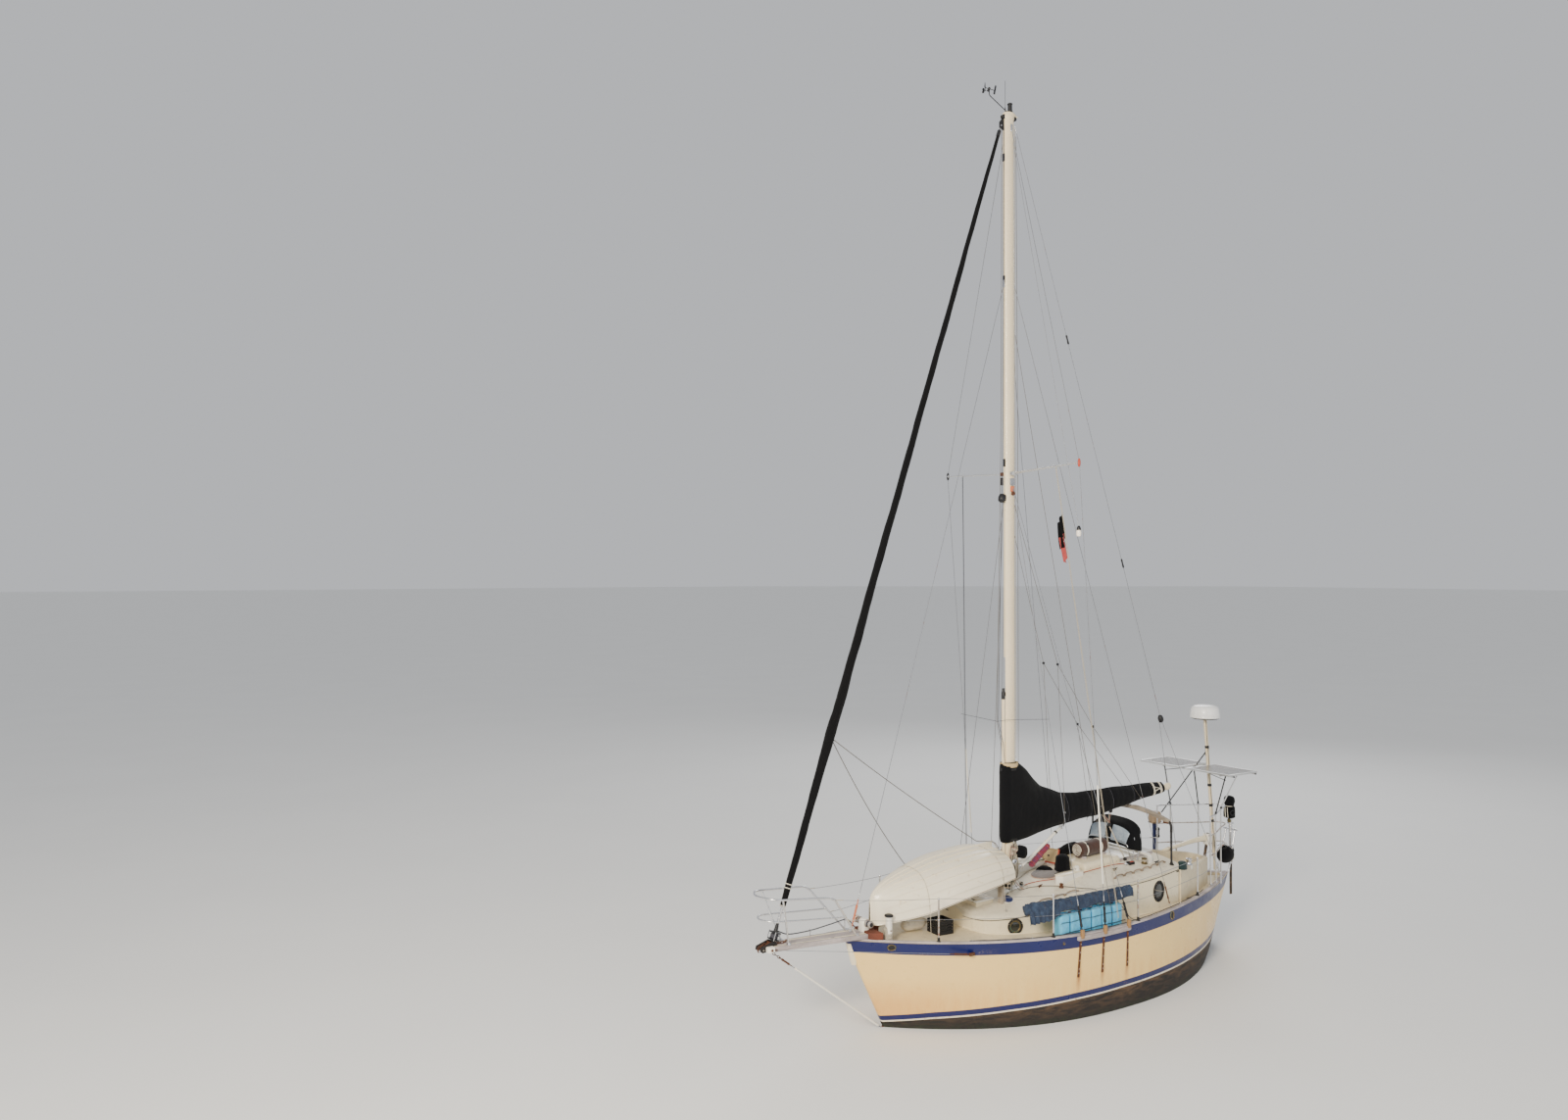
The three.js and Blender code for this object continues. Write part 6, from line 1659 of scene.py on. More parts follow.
def solar():
    for nm, y0, y1 in (("port", -0.030, 0.820), ("starboard", -1.060, -0.210)):
        p = Piece("solar_panel_" + nm + "_face", angle=40)
        x0, x1 = -3.900, -3.150
        t = 0.032
        # frame bars, then the glass a little below their top
        for a, b in (((x0, y0), (x1, y0 + 0.022)), ((x0, y1 - 0.022), (x1, y1)), ((x0, y0 + 0.0225), (x0 + 0.022, y1 - 0.0225)), ((x1 - 0.022, y0 + 0.0225), (x1, y1 - 0.0225))):
            p.box((a[0], a[1], PANEL_Z + 0.0005), (b[0], b[1], PANEL_Z + t), M["alloy"], 0.002, 2)
        p.box((x0 + 0.021, y0 + 0.021, PANEL_Z + 0.016), (x1 - 0.021, y1 - 0.021, PANEL_Z + t - 0.003), M["cells"], 0.0)
        # bus bars between the rows of cells
        for k in range(1, 6):
            xx = lerp(x0 + 0.03, x1 - 0.03, k / 6)
            p.box((xx - 0.0012, y0 + 0.026, PANEL_Z + t - 0.0032), (xx + 0.0012, y1 - 0.026, PANEL_Z + t - 0.0024), M["alloy"], 0.0)
        p.box(((x0 + x1) / 2 - 0.05, (y0 + y1) / 2 - 0.06, PANEL_Z - 0.012), ((x0 + x1) / 2 + 0.05, (y0 + y1) / 2 + 0.06, PANEL_Z + 0.017), M["black"], 0.006)
        p.done(["solar_panel_" + nm], "panel")
    p = Piece("solar_rack", angle=50)
    zz = PANEL_Z - 0.016
    for x in (-3.300, -3.880):
        p.tube([(x, -1.040, zz), (x, 0.800, zz)], 0.0142, M["steel"], 12)
        for y in (-1.045, 0.805):
            p.ball((x, y, zz), 0.0155, M["black"], 12, 8)
    for y in (-0.600, 0.600):
        p.tube([(-3.200, y, zz - 0.001), (-3.870, y, zz - 0.001)], 0.0115, M["steel"], 12)
    for (x, y, x2, y2), dark in (((-3.250, 0.474, -3.300, 0.640), 1), ((-3.250, -0.474, -3.300, -0.640), 1), ((-3.700, 0.236, -3.880, 0.480), 0), ((-3.700, -0.236, -3.880, -0.480), 1)):
        m = M["dark_metal"] if dark else M["steel"]
        p.tube([(x, y, 2.374), (x2, y2, PANEL_Z - 0.02)], 0.0112, m, 12)
        p.lathe([(0.018, -0.006), (0.018, 0.03), (0.013, 0.036)], (x, y, 2.372), (x2 - x, y2 - y, 0.67), M["black"], 12)
    # braces crossing in a V under the starboard panel
    p.tube([(-3.300, -0.640, 2.96), (-3.300, -0.30, zz - 0.012)], 0.006, M["dark_metal"], 8)
    p.tube([(-3.300, 0.640, 2.96), (-3.300, 0.30, zz - 0.012)], 0.006, M["dark_metal"], 8)
    p.done(["solar_frame"], "steel")

solar()

R_BASE, R_TOP = Vector((-3.955, -0.072, 1.180)), Vector((-3.720, -0.100, 3.900))

def radar():
    p = Piece("radar_pole_tube", angle=50)
    d = (R_TOP - R_BASE).normalized()
    r = 0.030
    try:
        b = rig.box("radar_dome")
    except Exception:
        b = None
    p.tube([R_BASE + d * 0.02, R_TOP - d * 0.004], r, M["mast"], 20)
    for z in (3.40, 3.02, 2.36, 2.08, 2.72):
        c = R_BASE + d * ((z - R_BASE.z) / d.z)
        p.lathe([(r + 0.001, -0.024), (r + 0.006, -0.020), (r + 0.006, 0.020), (r + 0.001, 0.024)], c, d, M["black"], 20)
    p.tube([(-3.775, -0.100, 3.340), (-3.160, -0.600, 2.212)], 0.0105, M["black"], 10)
    p.box((-3.795, -0.130, 3.24), (-3.755, -0.070, 3.40), M["black"], 0.006)
    p.lathe([(0.10, -0.012), (0.105, -0.004), (0.105, 0.0), (0.03, 0.0)], R_TOP + Vector((0, 0, 0.0)), (0, 0, 1), M["white"], 24)
    # cable down the pole
    pts = []
    for i in range(22):
        f = i / 21
        c = R_TOP.lerp(R_BASE, f)
        pts.append(c + Vector((0.004 * math.sin(f * 20) + 0.02, 0.032 + 0.004 * math.cos(f * 23), 0)))
    p.tube(pts, 0.0045, M["black"], 6)
    p.done(["radar_pole"], "steel")
    q = Piece("radar_dome_shell", angle=50)
    lo, hi = b
    c = Vector(((lo[0] + hi[0]) / 2, (lo[1] + hi[1]) / 2, lo[2]))
    R, H = (hi[0] - lo[0]) / 2, hi[2] - lo[2]
    # dark ring below the shell: a base plate, painted dark as the shade under the dome's overhanging rim
    q.lathe([(0.30 * R, 0.0), (0.84 * R, 0.010 * H), (0.90 * R, 0.040 * H), (0.90 * R, 0.085 * H), (0.60 * R, 0.086 * H)], c, (0, 0, 1), M["rubber"], 64)
    prof = [(0.86 * R, 0.080 * H), (0.975 * R, 0.090 * H), (1.0 * R, 0.125 * H), (1.0 * R, 0.20 * H), (0.992 * R, 0.215 * H), (0.992 * R, 0.235 * H), (0.998 * R, 0.25 * H), (0.965 * R, 0.50 * H), (0.925 * R, 0.70 * H), (0.885 * R, 0.80 * H), (0.80 * R, 0.885 * H), (0.66 * R, 0.945 * H), (0.45 * R, 0.982 * H), (0.22 * R, 0.997 * H), (0.02 * R, H)]
    q.lathe(prof, c, (0, 0, 1), M["radome"], 72)
    q.done(["radar_dome"], "white")

radar()

def vane_gear():
    """self-steering gear on the stern: two stainless legs, a shaft, a covered head and a servo blade"""
    p = Piece("wind_vane_body", angle=45)
    S = M["steel"]
    y0 = -0.060
    for s in (1, -1):
        legs = [Vector((-4.120, y0 + s * 0.120, 1.165)), Vector((-4.370, y0 + s * 0.090, 1.900))]
        p.tube([Vector((-4.150, y0 + s * 0.1165, 1.17)), legs[1]], 0.0155, S, 12)
        p.tube([Vector((-4.290, y0 + s * 0.100, 1.620)), Vector((-4.150, y0 + s * 0.118, 1.585))], 0.0135, S, 12)
    p.tube([(-4.360, -0.200, 1.880), (-4.360, 0.080, 1.880)], 0.0175, S, 14)
    p.tube([(-4.360, y0, 1.260), (-4.360, y0, 2.100)], 0.0300, S, 20)
    for z in (1.30, 1.55, 1.83, 1.93, 2.06):
        p.lathe([(0.031, -0.018), (0.0345, -0.012), (0.0345, 0.012), (0.031, 0.018)], (-4.360, y0, z), (0, 0, 1), M["screw"] if z < 1.6 else S, 20)
    # bevel gear and arms
    p.lathe([(0.055, -0.01), (0.060, 0.0), (0.055, 0.012), (0.02, 0.016)], (-4.360, y0, 1.985), (0, 0, 1), S, 24)
    p.lathe([(0.04, -0.006), (0.044, 0.0), (0.03, 0.012)], (-4.325, y0, 2.03), (1, 0, 0), M["bronze"], 20)
    p.ring((-4.285, y0 + 0.10, 2.19), (0.3, 1, 0), 0.042, 0.008, M["black"], 24, 8)
    # servo blade
    p.loft([[(-4.365 + 0.034 * c, y0 + 0.014 * q * k, z) for c, q in circle(16, 1)] for z, k in ((0.706, 0.7), (0.72, 1.0), (1.0, 1.0), (1.28, 1.0), (1.295, 0.8))], M["antifoul"])
    # fabric cover over the vane head, with a tie
    rings = []
    for z, a, b in ((2.085, 0.070, 0.080), (2.10, 0.085, 0.105), (2.18, 0.088, 0.112), (2.28, 0.080, 0.100), (2.30, 0.068, 0.085), (2.33, 0.082, 0.090), (2.38, 0.094, 0.095), (2.43, 0.090, 0.092), (2.465, 0.066, 0.070), (2.478, 0.030, 0.032), (2.480, 0.006, 0.006)):
        ring = []
        for i, (c, q) in enumerate(circle(28, 1)):
            w = 1 + 0.10 * noise.noise(Vector((c * 2, q * 2, z * 14)))
            ring.append((-4.330 + a * c * w, y0 + b * q * w, z))
        rings.append(ring)
    p.loft(rings, M["canvas"])
    p.ring((-4.330, y0, 2.300), (0, 0, 1), 0.078, 0.006, M["sail"], 26, 6)
    for dy in (-0.03, 0.02):     # pale tapes
        p.tube(catmull([(-4.250, y0 + dy, 2.28), (-4.240, y0 + dy + 0.01, 2.20), (-4.247, y0 + dy + 0.015, 2.10)], 4), 0.006, M["sail"], 6)
    return p.done(["wind_vane_gear"], "iron")

vane_gear()

def outboard():
    p = Piece("outboard_parts", angle=45)
    # cowl: rounded, lofted
    rings = []
    for z, k in ((2.022, 0.80), (2.030, 0.92), (2.05, 0.97), (2.13, 1.0), (2.19, 0.95), (2.215, 0.82), (2.226, 0.6), (2.229, 0.3)):
        ring = []
        for i in range(32):
            q = 2 * math.pi * i / 32
            c, s_ = math.cos(q), math.sin(q)
            sx = math.copysign(abs(c) ** 0.6, c)
            sy = math.copysign(abs(s_) ** 0.6, s_)
            ring.append((-3.080 + 0.119 * k * sx - 0.01 * (z - 2.05), -0.680 + 0.079 * k * sy, z))
        rings.append(ring)
    p.loft(rings, M["beige"])
    p.ring((-3.08, -0.68, 2.035), (0, 0, 1), 0.0001, 0.0001, M["black"], 6, 4)
    p.box((-3.185, -0.752, 2.032), (-2.975, -0.608, 2.046), M["black"], 0.006)
    p.tube([(-2.985, -0.68, 2.05), (-2.963, -0.68, 2.06)], 0.012, M["black"], 10)
    # leg
    p.loft([[(-3.080 + a * c, -0.690 + b * q, z) for c, q in circle(24, 1)] for z, a, b in ((2.03, 0.041, 0.040), (1.95, 0.036, 0.034), (1.80, 0.034, 0.030), (1.60, 0.040, 0.024), (1.515, 0.041, 0.022))], M["blue_leg"])
    p.slab([(-3.188, 1.512), (-3.052, 1.518), (-3.056, 1.40), (-3.075, 1.336), (-3.110, 1.332), (-3.125, 1.37), (-3.182, 1.40)], "y", -0.6985, -0.6815, M["blue_leg"], 0.005)
    p.box((-3.186, -0.722, 1.505), (-3.046, -0.658, 1.519), M["blue_leg"], 0.005)
    p.lathe([(0.004, 0), (0.022, 0.006), (0.034, 0.03), (0.039, 0.07), (0.037, 0.10), (0.02, 0.118)], (-3.032, -0.690, 1.390), (-1, 0, 0), M["blue_leg"], 20)
    for k in range(3):
        q = 2 * math.pi * k / 3
        c = Vector((-3.148, -0.690 + 0.020 * math.cos(q), 1.390 + 0.020 * math.sin(q)))
        p.ball(tuple(c), (0.006, 0.016, 0.016), M["white"], 12, 6)
    # bracket clamped to the rail board
    for z in (1.80, 1.92):
        p.box((-3.108, -0.655, z - 0.02), (-3.052, -0.588, z + 0.02), M["black"], 0.008)
    p.box((-3.106, -0.622, 1.765), (-3.054, -0.598, 1.955), M["black"], 0.006)
    return p.done(["outboard_motor"], "white")

outboard()

# ------------------------------------------------------------------ steering gear and propeller
give(["rudder"], M["antifoul"])
give(["rudder_heel"], M["bronze"])

def tiller():
    p = Piece("tiller_bar", "rudder_body", 40)
    pts = [(-3.640, 1.824), (-3.40, 1.819), (-3.15, 1.806), (-2.900, 1.781), (-2.68, 1.762), (-2.52, 1.749), (-2.478, 1.746)]
    rings = []
    for i, (x, z) in enumerate(catmull([(a, 0, b) for a, b in pts], 4)[::1] and [(q[0], q[2]) for q in catmull([(a, 0, b) for a, b in pts], 4)]):
        f = (x + 3.64) / 1.162
        w, h = lerp(0.043, 0.025, f), lerp(0.049, 0.025, f)
        if f > 0.96:
            w, h = w * (1 - (f - 0.96) * 8), h * (1 - (f - 0.96) * 8)
        if f > 0.9:
            w, h = w * 1.1, h * 1.1
        rings.append([(x, w * math.copysign(abs(c) ** 0.75, c), z + h * math.copysign(abs(q) ** 0.75, q)) for c, q in circle(20, 1)])
    p.loft(rings, M["house"])
    for s in (1, -1):      # white cheeks of the rudder head, with bolts
        p.box((-3.722, min(s * 0.030, s * 0.0495), 1.700), (-3.588, max(s * 0.030, s * 0.0495), 1.896), M["white"], 0.008)
        for x, z in ((-3.69, 1.73), (-3.62, 1.73), (-3.69, 1.865), (-3.62, 1.865)):
            p.lathe([(0.010, 0), (0.010, 0.004), (0.005, 0.007)], (x, s * 0.0495, z), (0, s, 0), M["screw"], 8)
    p.box((-3.718, -0.036, 1.704), (-3.592, 0.036, 1.890), M["white"], 0.006)
    # rope lanyard made fast round the bar
    for x in (-2.60, -2.615, -2.63):
        p.ring((x, 0, 1.7555), (1, 0, -0.05), 0.033, 0.004, M["rope"], 20, 6)
    return p.done(["tiller"], "wood")

tiller()

def prop():
    p = Piece("propeller_blades", "propeller_body", 40)
    x0, z0 = -2.895, -0.735
    p.lathe([(0.016, 0), (0.016, 0.215)], (-2.680, 0, z0), (-1, 0, 0), M["bronze"], 18)
    p.lathe([(0.020, 0.036), (0.030, 0.030), (0.034, 0.0), (0.031, -0.030), (0.022, -0.037), (0.016, -0.052), (0.004, -0.064)], (x0, 0, z0), (1, 0, 0), M["bronze"], 28)
    blades = len([1 for _ in range(3)])
    outline = [(0, 0.020), (0.018, 0.036), (0.030, 0.056), (0.042, 0.080), (0.045, 0.104), (0.044, 0.125), (0.038, 0.148), (0.026, 0.164), (0.008, 0.171), (-0.012, 0.168), (-0.028, 0.154), (-0.040, 0.132), (-0.043, 0.108), (-0.038, 0.080), (-0.030, 0.058), (-0.014, 0.036)]
    for k in range(blades):
        a = 2 * math.pi * k / blades
        rot = Matrix.Rotation(a, 3, "X")
        for_s = []
        for off, sc in ((-0.0050, 0.88), (-0.0042, 1.0), (0.0042, 1.0), (0.0050, 0.88)):
            ring = []
            for u, r in outline:
                u2, r2 = u * sc, 0.10 + (r - 0.10) * sc
                pitch = math.pi / 2 - 0.6 + 0.55 * (0.1 - r2) * 4
                # blade local: u across, r out, off through; rotated about the radial line
                v = Vector((u2 * math.cos(pitch) + off * math.sin(pitch), r2, -u2 * math.sin(pitch) + off * math.cos(pitch)))
                ring.append(Vector((x0, 0, z0)) + rot @ v)
            for_s.append(ring)
        p.loft(for_s, M["bronze"])
    return p.done(["propeller"], "bronze")

prop()

# ------------------------------------------------------------------ deck gear forward
def windlass():
    p = Piece("windlass_gear", angle=40)
    c = Vector((3.850, 0, 1.555))
    p.lathe([(0.036, -0.188), (0.050, -0.180), (0.053, -0.166), (0.040, -0.155), (0.034, -0.130), (0.038, -0.105), (0.050, -0.098), (0.052, -0.086), (0.030, -0.080), (0.030, 0.080), (0.052, 0.086), (0.050, 0.098), (0.038, 0.105), (0.034, 0.130), (0.040, 0.155), (0.053, 0.166), (0.050, 0.180), (0.036, 0.188)], c, (0, 1, 0), M["screw"], 30)
    for s in (1, -1):
        p.lathe([(0.030, 0), (0.030, 0.0012), (0.012, 0.0016)], c + Vector((0, s * 0.188, 0)), (0, s, 0), M["black"], 20)
        p.lathe([(0.042, 0.0), (0.046, 0.006), (0.042, 0.012)], c + Vector((0, s * 0.150, 0)), (0, s, 0), M["white"], 26)
    p.loft([[(c.x + a * math.copysign(abs(u) ** 0.6, u), 0.075 * math.copysign(abs(v) ** 0.6, v) * k, z) for u, v in circle(28, 1)] for z, a, k in ((deck_z(3.85) + 0.0, 0.068, 1.0), (1.40, 0.066, 1.0), (1.50, 0.060, 0.95), (1.58, 0.052, 0.9), (1.606, 0.030, 0.6))], M["white"])
    # dark line thrown round the drums
    for k in range(4):
        p.ring(c + Vector((0, 0.118 + 0.009 * k, 0)), (0, 1, 0.05 * (k - 1)), 0.040, 0.0055, M["rope_dark"], 22, 6)
    return p.done(["windlass"], "white")

windlass()

def bow_block():
    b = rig.box("dinghy_bow_block")
    lo, hi = b
    p = Piece("bow_block", angle=40)
    p.box((lo[0] + 0.001, lo[1] + 0.001, lo[2] + 0.0), (hi[0] - 0.001, hi[1] - 0.001, hi[2] - 0.001), M["rust_wood"], 0.008)
    return p.done(["dinghy_bow_block"], "wood")

bow_block()

def bollard():
    lo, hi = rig.box("bollard")
    p = Piece("bollard_post", angle=40)
    x, y, z0, z1 = 3.600, 0.262, lo[2], hi[2]
    def sq(w, z, e=0.72):
        return [(x + w * math.copysign(abs(c) ** e, c), y + w * math.copysign(abs(q) ** e, q), z) for c, q in circle(28, 1)]
    p.loft([sq(0.047, z0 + 0.001), sq(0.0475, z0 + 0.03), sq(0.044, z0 + 0.1), sq(0.044, z1 - 0.04), sq(0.046, z1 - 0.030)], M["white"])
    p.loft([sq(0.050, z1 - 0.034), sq(0.058, z1 - 0.028), sq(0.058, z1 - 0.008), sq(0.050, z1 - 0.001), sq(0.02, z1)], M["black"])
    p.rod((x, y - 0.058, z0 + 0.20), (x, y + 0.058, z0 + 0.20), 0.012, M["screw"], 12)
    # pale rope: five turns and a bight
    random.seed(2)
    for k in range(7):
        p.ring((x, y, z0 + 0.055 + 0.0155 * k), (0.05 * math.sin(k * 2.3), 0.05 * math.cos(k * 1.7), 1), 0.053 + 0.002 * math.sin(k * 3.1), 0.0078, M["rope"], 26, 7)
    for k in range(9):        # hank hung on the forward side
        a, zt, zb = 0.030 + 0.004 * (k % 4), z0 + 0.215 + 0.004 * k, z0 + 0.018 + 0.006 * ((k * 5) % 7)
        off = 0.055 + 0.009 * (k % 3)
        p.tube([(x + off * 0.80 + 0.006 * math.sin(t * 2 + k), y - 0.020 + a * math.cos(t) + 0.006 * (k - 4), lerp(zb, zt, 0.5 + 0.5 * math.sin(t))) for t in [2 * math.pi * i / 22 for i in range(22)]], 0.0068, M["rope"], 6, wrap=True)
    p.tube(catmull([(x + 0.055, y + 0.02, z0 + 0.16), (x + 0.07, y + 0.05, z0 + 0.09), (x + 0.05, y + 0.058, z0 + 0.03), (x - 0.01, y + 0.058, z0 + 0.018)], 5), 0.0075, M["rope"], 7)
    return p.done(["bollard"], "white")

bollard()

def fender():
    p = Piece("fender_body", angle=50)
    prof = [(0.004, 0.0), (0.034, 0.006), (0.058, 0.030), (0.082, 0.066), (0.092, 0.110), (0.0945, 0.160), (0.0945, 0.310), (0.090, 0.360), (0.074, 0.402), (0.046, 0.432), (0.032, 0.444), (0.032, 0.456), (0.020, 0.461), (0.004, 0.462)]
    # runs along the deck, its eye forward and its round end aft
    p.lathe([(r, h) for r, h in prof], (3.130, -0.060, 1.362), (-1, 0, 0), M["fender"], 34)
    p.ring((2.690, -0.060, 1.362), (0, 1, 0), 0.016, 0.006, M["blue_leg"], 16, 8)
    for k in range(8):
        q = 2 * math.pi * k / 8
        p.tube([(3.02, -0.06 + 0.0945 * math.cos(q), 1.362 + 0.0945 * math.sin(q)), (2.82, -0.06 + 0.0945 * math.cos(q), 1.362 + 0.0945 * math.sin(q))], 0.0018, M["fender"], 6)
    return p.done(["fender"], "white")

fender()

def crate():
    lo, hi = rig.box("deck_crate")
    p = Piece("crate_slats", angle=30)
    x0, x1, y0, y1, z0, z1 = lo[0] + 0.002, hi[0] - 0.002, lo[1] + 0.002, hi[1] - 0.002, 1.262, hi[2]
    zb = max(lo[2], 1.20)
    w = 0.012
    for z in (1.285, 1.325, 1.365, 1.405):
        for a, b in (((x0, y0, z - 0.013), (x0 + w, y1, z + 0.013)), ((x1 - w, y0, z - 0.013), (x1, y1, z + 0.013)), ((x0 + w, y0, z - 0.013), (x1 - w, y0 + w, z + 0.013)), ((x0 + w, y1 - w, z - 0.013), (x1 - w, y1, z + 0.013))):
            p.box(a, b, M["rubber"], 0.003, 1)
    for a, b in (((x0, y0, z1 - 0.028), (x0 + w + 0.004, y1, z1)), ((x1 - w - 0.004, y0, z1 - 0.028), (x1, y1, z1)), ((x0, y0, z1 - 0.028), (x1, y0 + w + 0.004, z1)), ((x0, y1 - w - 0.004, z1 - 0.028), (x1, y1, z1))):
        p.box(a, b, M["rubber"], 0.004, 2)
    n = 7
    for i in range(n + 1):
        x = lerp(x0 + 0.006, x1 - 0.006, i / n)
        for y in (y0 + 0.006, y1 - 0.006):
            p.box((x - 0.006, y - 0.005, zb + 0.0), (x + 0.006, y + 0.005, z1 - 0.01), M["rubber"], 0.002, 1)
        y = lerp(y0 + 0.006, y1 - 0.006, i / n)
        for x in (x0 + 0.006, x1 - 0.006):
            p.box((x - 0.005, y - 0.006, zb), (x + 0.005, y + 0.006, z1 - 0.01), M["rubber"], 0.002, 1)
    p.box((x0 + 0.004, y0 + 0.004, zb), (x1 - 0.004, y1 - 0.004, 1.272), M["rubber"], 0.004, 1)
    # coiled line kept inside
    for k in range(9):
        p.ring((2.58 + 0.01 * math.sin(k * 2), 0.17 + 0.01 * math.cos(k * 3), 1.286 + 0.011 * k), (0.06 * math.sin(k), 0.05 * math.cos(k * 1.4), 1), 0.075 + 0.006 * math.sin(k * 2.7), 0.0065, M["rope2"], 26, 6)
    return p.done(["deck_crate"], "canvas")

crate()

def forehatch():
    lo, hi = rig.box("forehatch")
    p = Piece("forehatch_box", angle=40)
    x0, x1, y0, y1, z1 = 1.641, 1.999, -0.289, 0.289, hi[2]
    zb = lo[2]
    p.box((x0 + 0.012, y0 + 0.012, zb + 0.0), (x1 - 0.012, y1 - 0.012, z1 - 0.034), M["house"], 0.010)
    # overhanging lid with two slatted panels
    p.box((x0, y0, z1 - 0.040), (x1, y1, z1 - 0.008), M["white"], 0.010)
    for k in range(6):
        yy = lerp(y0 + 0.035, y1 - 0.035 - 0.075, k / 5)
        p.box((x0 + 0.03, yy, z1 - 0.010), (x1 - 0.03, yy + 0.075, z1 - 0.001), M["house"], 0.003)
    for y in (y0 + 0.08, y1 - 0.08):
        p.box((x1 - 0.020, y - 0.03, z1 - 0.045), (x1 - 0.002, y + 0.03, z1 - 0.002), M["bronze"], 0.004)
    p.box((x0 + 0.0005, -0.03, z1 - 0.075), (x0 + 0.012, 0.03, z1 - 0.035), M["bronze"], 0.004)
    return p.done(["forehatch"], "gelcoat")

forehatch()

# ------------------------------------------------------------------ dinghy, upside down on its chocks
DING = [(3.745, 1.830, 1.500, 0.014), (3.660, 1.960, 1.505, 0.130), (3.420, 2.090, 1.560, 0.275), (3.050, 2.200, 1.645, 0.450), (2.600, 2.300, 1.765, 0.560), (2.150, 2.345, 1.850, 0.590), (1.760, 2.360, 1.895, 0.560), (1.420, 2.300, 1.930, 0.500)]
D_SEC = [(0, 1), (0.42, 0.93), (0.76, 0.72), (0.95, 0.36), (1, 0)]

def dinghy():
    """clinker shell: each strake laps over the next one down"""
    p = Piece("dinghy_shell", angle=30)
    sm = catmull([(x, k, g) for x, k, g, h in DING], 7)
    hs = catmull([(x, h, 0) for x, k, g, h in DING], 7)
    st = [(a[0], a[1], a[2], max(0.012, b[1])) for a, b in zip(sm, hs)]
    strakes, per = 7, 4
    # section curve parameterised by length
    curve = np.array([(a, b) for a, b, _ in catmull([(a, b, 0) for a, b in D_SEC], 10)])
    seg = np.concatenate([[0], np.cumsum(np.linalg.norm(np.diff(curve, axis=0), axis=1))])
    seg /= seg[-1]
    at = lambda t: (float(np.interp(t, seg, curve[:, 0])), float(np.interp(t, seg, curve[:, 1])))
    for s in (1, -1):
        for k in range(strakes):
            rings = []
            t0, t1 = k / strakes, (k + 1) / strakes
            for x, kz, gz, h in st:
                fade = min(1, (3.745 - x) / 0.35) * 1.0
                row = []
                for j in range(per + 1):
                    t = lerp(t0, t1, j / per)
                    a, b = at(t)
                    off = 0.015 * (j / per) * max(0.25, fade)
                    # normal of the section, outwards
                    a2, b2 = at(min(1, t + 0.01))
                    a1, b1 = at(max(0, t - 0.01))
                    dy, dz = (a2 - a1) * h, (b2 - b1) * (kz - gz)
                    ln = math.hypot(dy, dz) or 1
                    ny, nz = -dz / ln, dy / ln
                    row.append((x, s * (a * h + ny * off), gz + (kz - gz) * b + nz * off))
                # lower edge turned in to the next strake
                a, b = at(t1)
                row.append((x, s * (a * h - 0.004 * s * 0), gz + (kz - gz) * b - 0.001))
                rings.append(row)
            p.loft(rings, M["dinghy"], caps=False, closed=False)
        # gunwale rubbing strip
        p.tube([(x, s * (h + 0.003), gz + 0.010) for x, kz, gz, h in st], 0.013, M["dinghy"], 8)
        p.tube([(x, s * (h + 0.010), gz + 0.012) for x, kz, gz, h in st], 0.0065, M["teak"], 8)
        # inwale
        p.tube([(x, s * max(0.0, h - 0.016), gz + 0.006) for x, kz, gz, h in st], 0.011, M["dinghy"], 8)
    # inner skin
    rings = []
    for x, kz, gz, h in st:
        row = []
        for t in np.linspace(-1, 1, 25):
            a, b = at(abs(float(t)))
            sgn = 1 if t > 0 else -1
            row.append((x - (0.0 if x < 3.6 else 0.03), sgn * a * max(0.004, h - 0.014), gz + (kz - gz - 0.016) * b + 0.002))
        rings.append(row)
    p.loft(rings, M["dinghy"], caps=False, closed=False)
    # transom
    x, kz, gz, h = st[-1]
    out = [(s * a * h * 1.005, gz + (kz - gz) * b) for s, rng in ((1, np.linspace(1, 0, 16)), (-1, np.linspace(0, 1, 16)[1:])) for a, b in [at(float(t)) for t in rng]]
    p.slab(out, "x", x - 0.014, x + 0.016, M["dinghy"], 0.003)
    p.box((x - 0.020, -0.17, gz + 0.004), (x + 0.02, 0.17, gz + 0.07), M["dinghy"], 0.006)
    # keel strip and skeg
    kl = [(a, b) for a, b, _, _ in st]
    p.loft([[(a, -0.011, b - 0.004), (a, 0.011, b - 0.004), (a, 0.009, b + 0.014), (a, -0.009, b + 0.014)] for a, b in kl if a < 3.72], M["dinghy"])
    p.slab([(2.05, 2.352), (1.44, 2.310), (1.425, 2.392), (1.46, 2.400), (1.75, 2.382)], "y", -0.010, 0.010, M["dinghy"], 0.003)
    # keel drain plugs
    for x_ in (2.36, 2.44):
        p.lathe([(0.010, 0), (0.010, 0.004), (0.004, 0.006)], (x_, 0.045, table([(a, b) for a, b, _, _ in DING], x_) - 0.010), (0, 0.3, 1), M["black"], 10)
    # thwart
    p.box((2.30, -0.545, 1.93), (2.52, 0.545, 1.955), M["dinghy"], 0.005)
    return p.done(["dinghy"], "dinghy")

dinghy()

def chocks():
    lo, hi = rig.box("dinghy_chock")
    p = Piece("dinghy_chock_beam", angle=40)
    p.box((1.560, -0.560, 1.831), (1.620, 0.560, 1.893), M["teak_y"], 0.008)
    give(["dinghy_chock"], M["teak_y"])
    return p.done(slot="wood")

chocks()

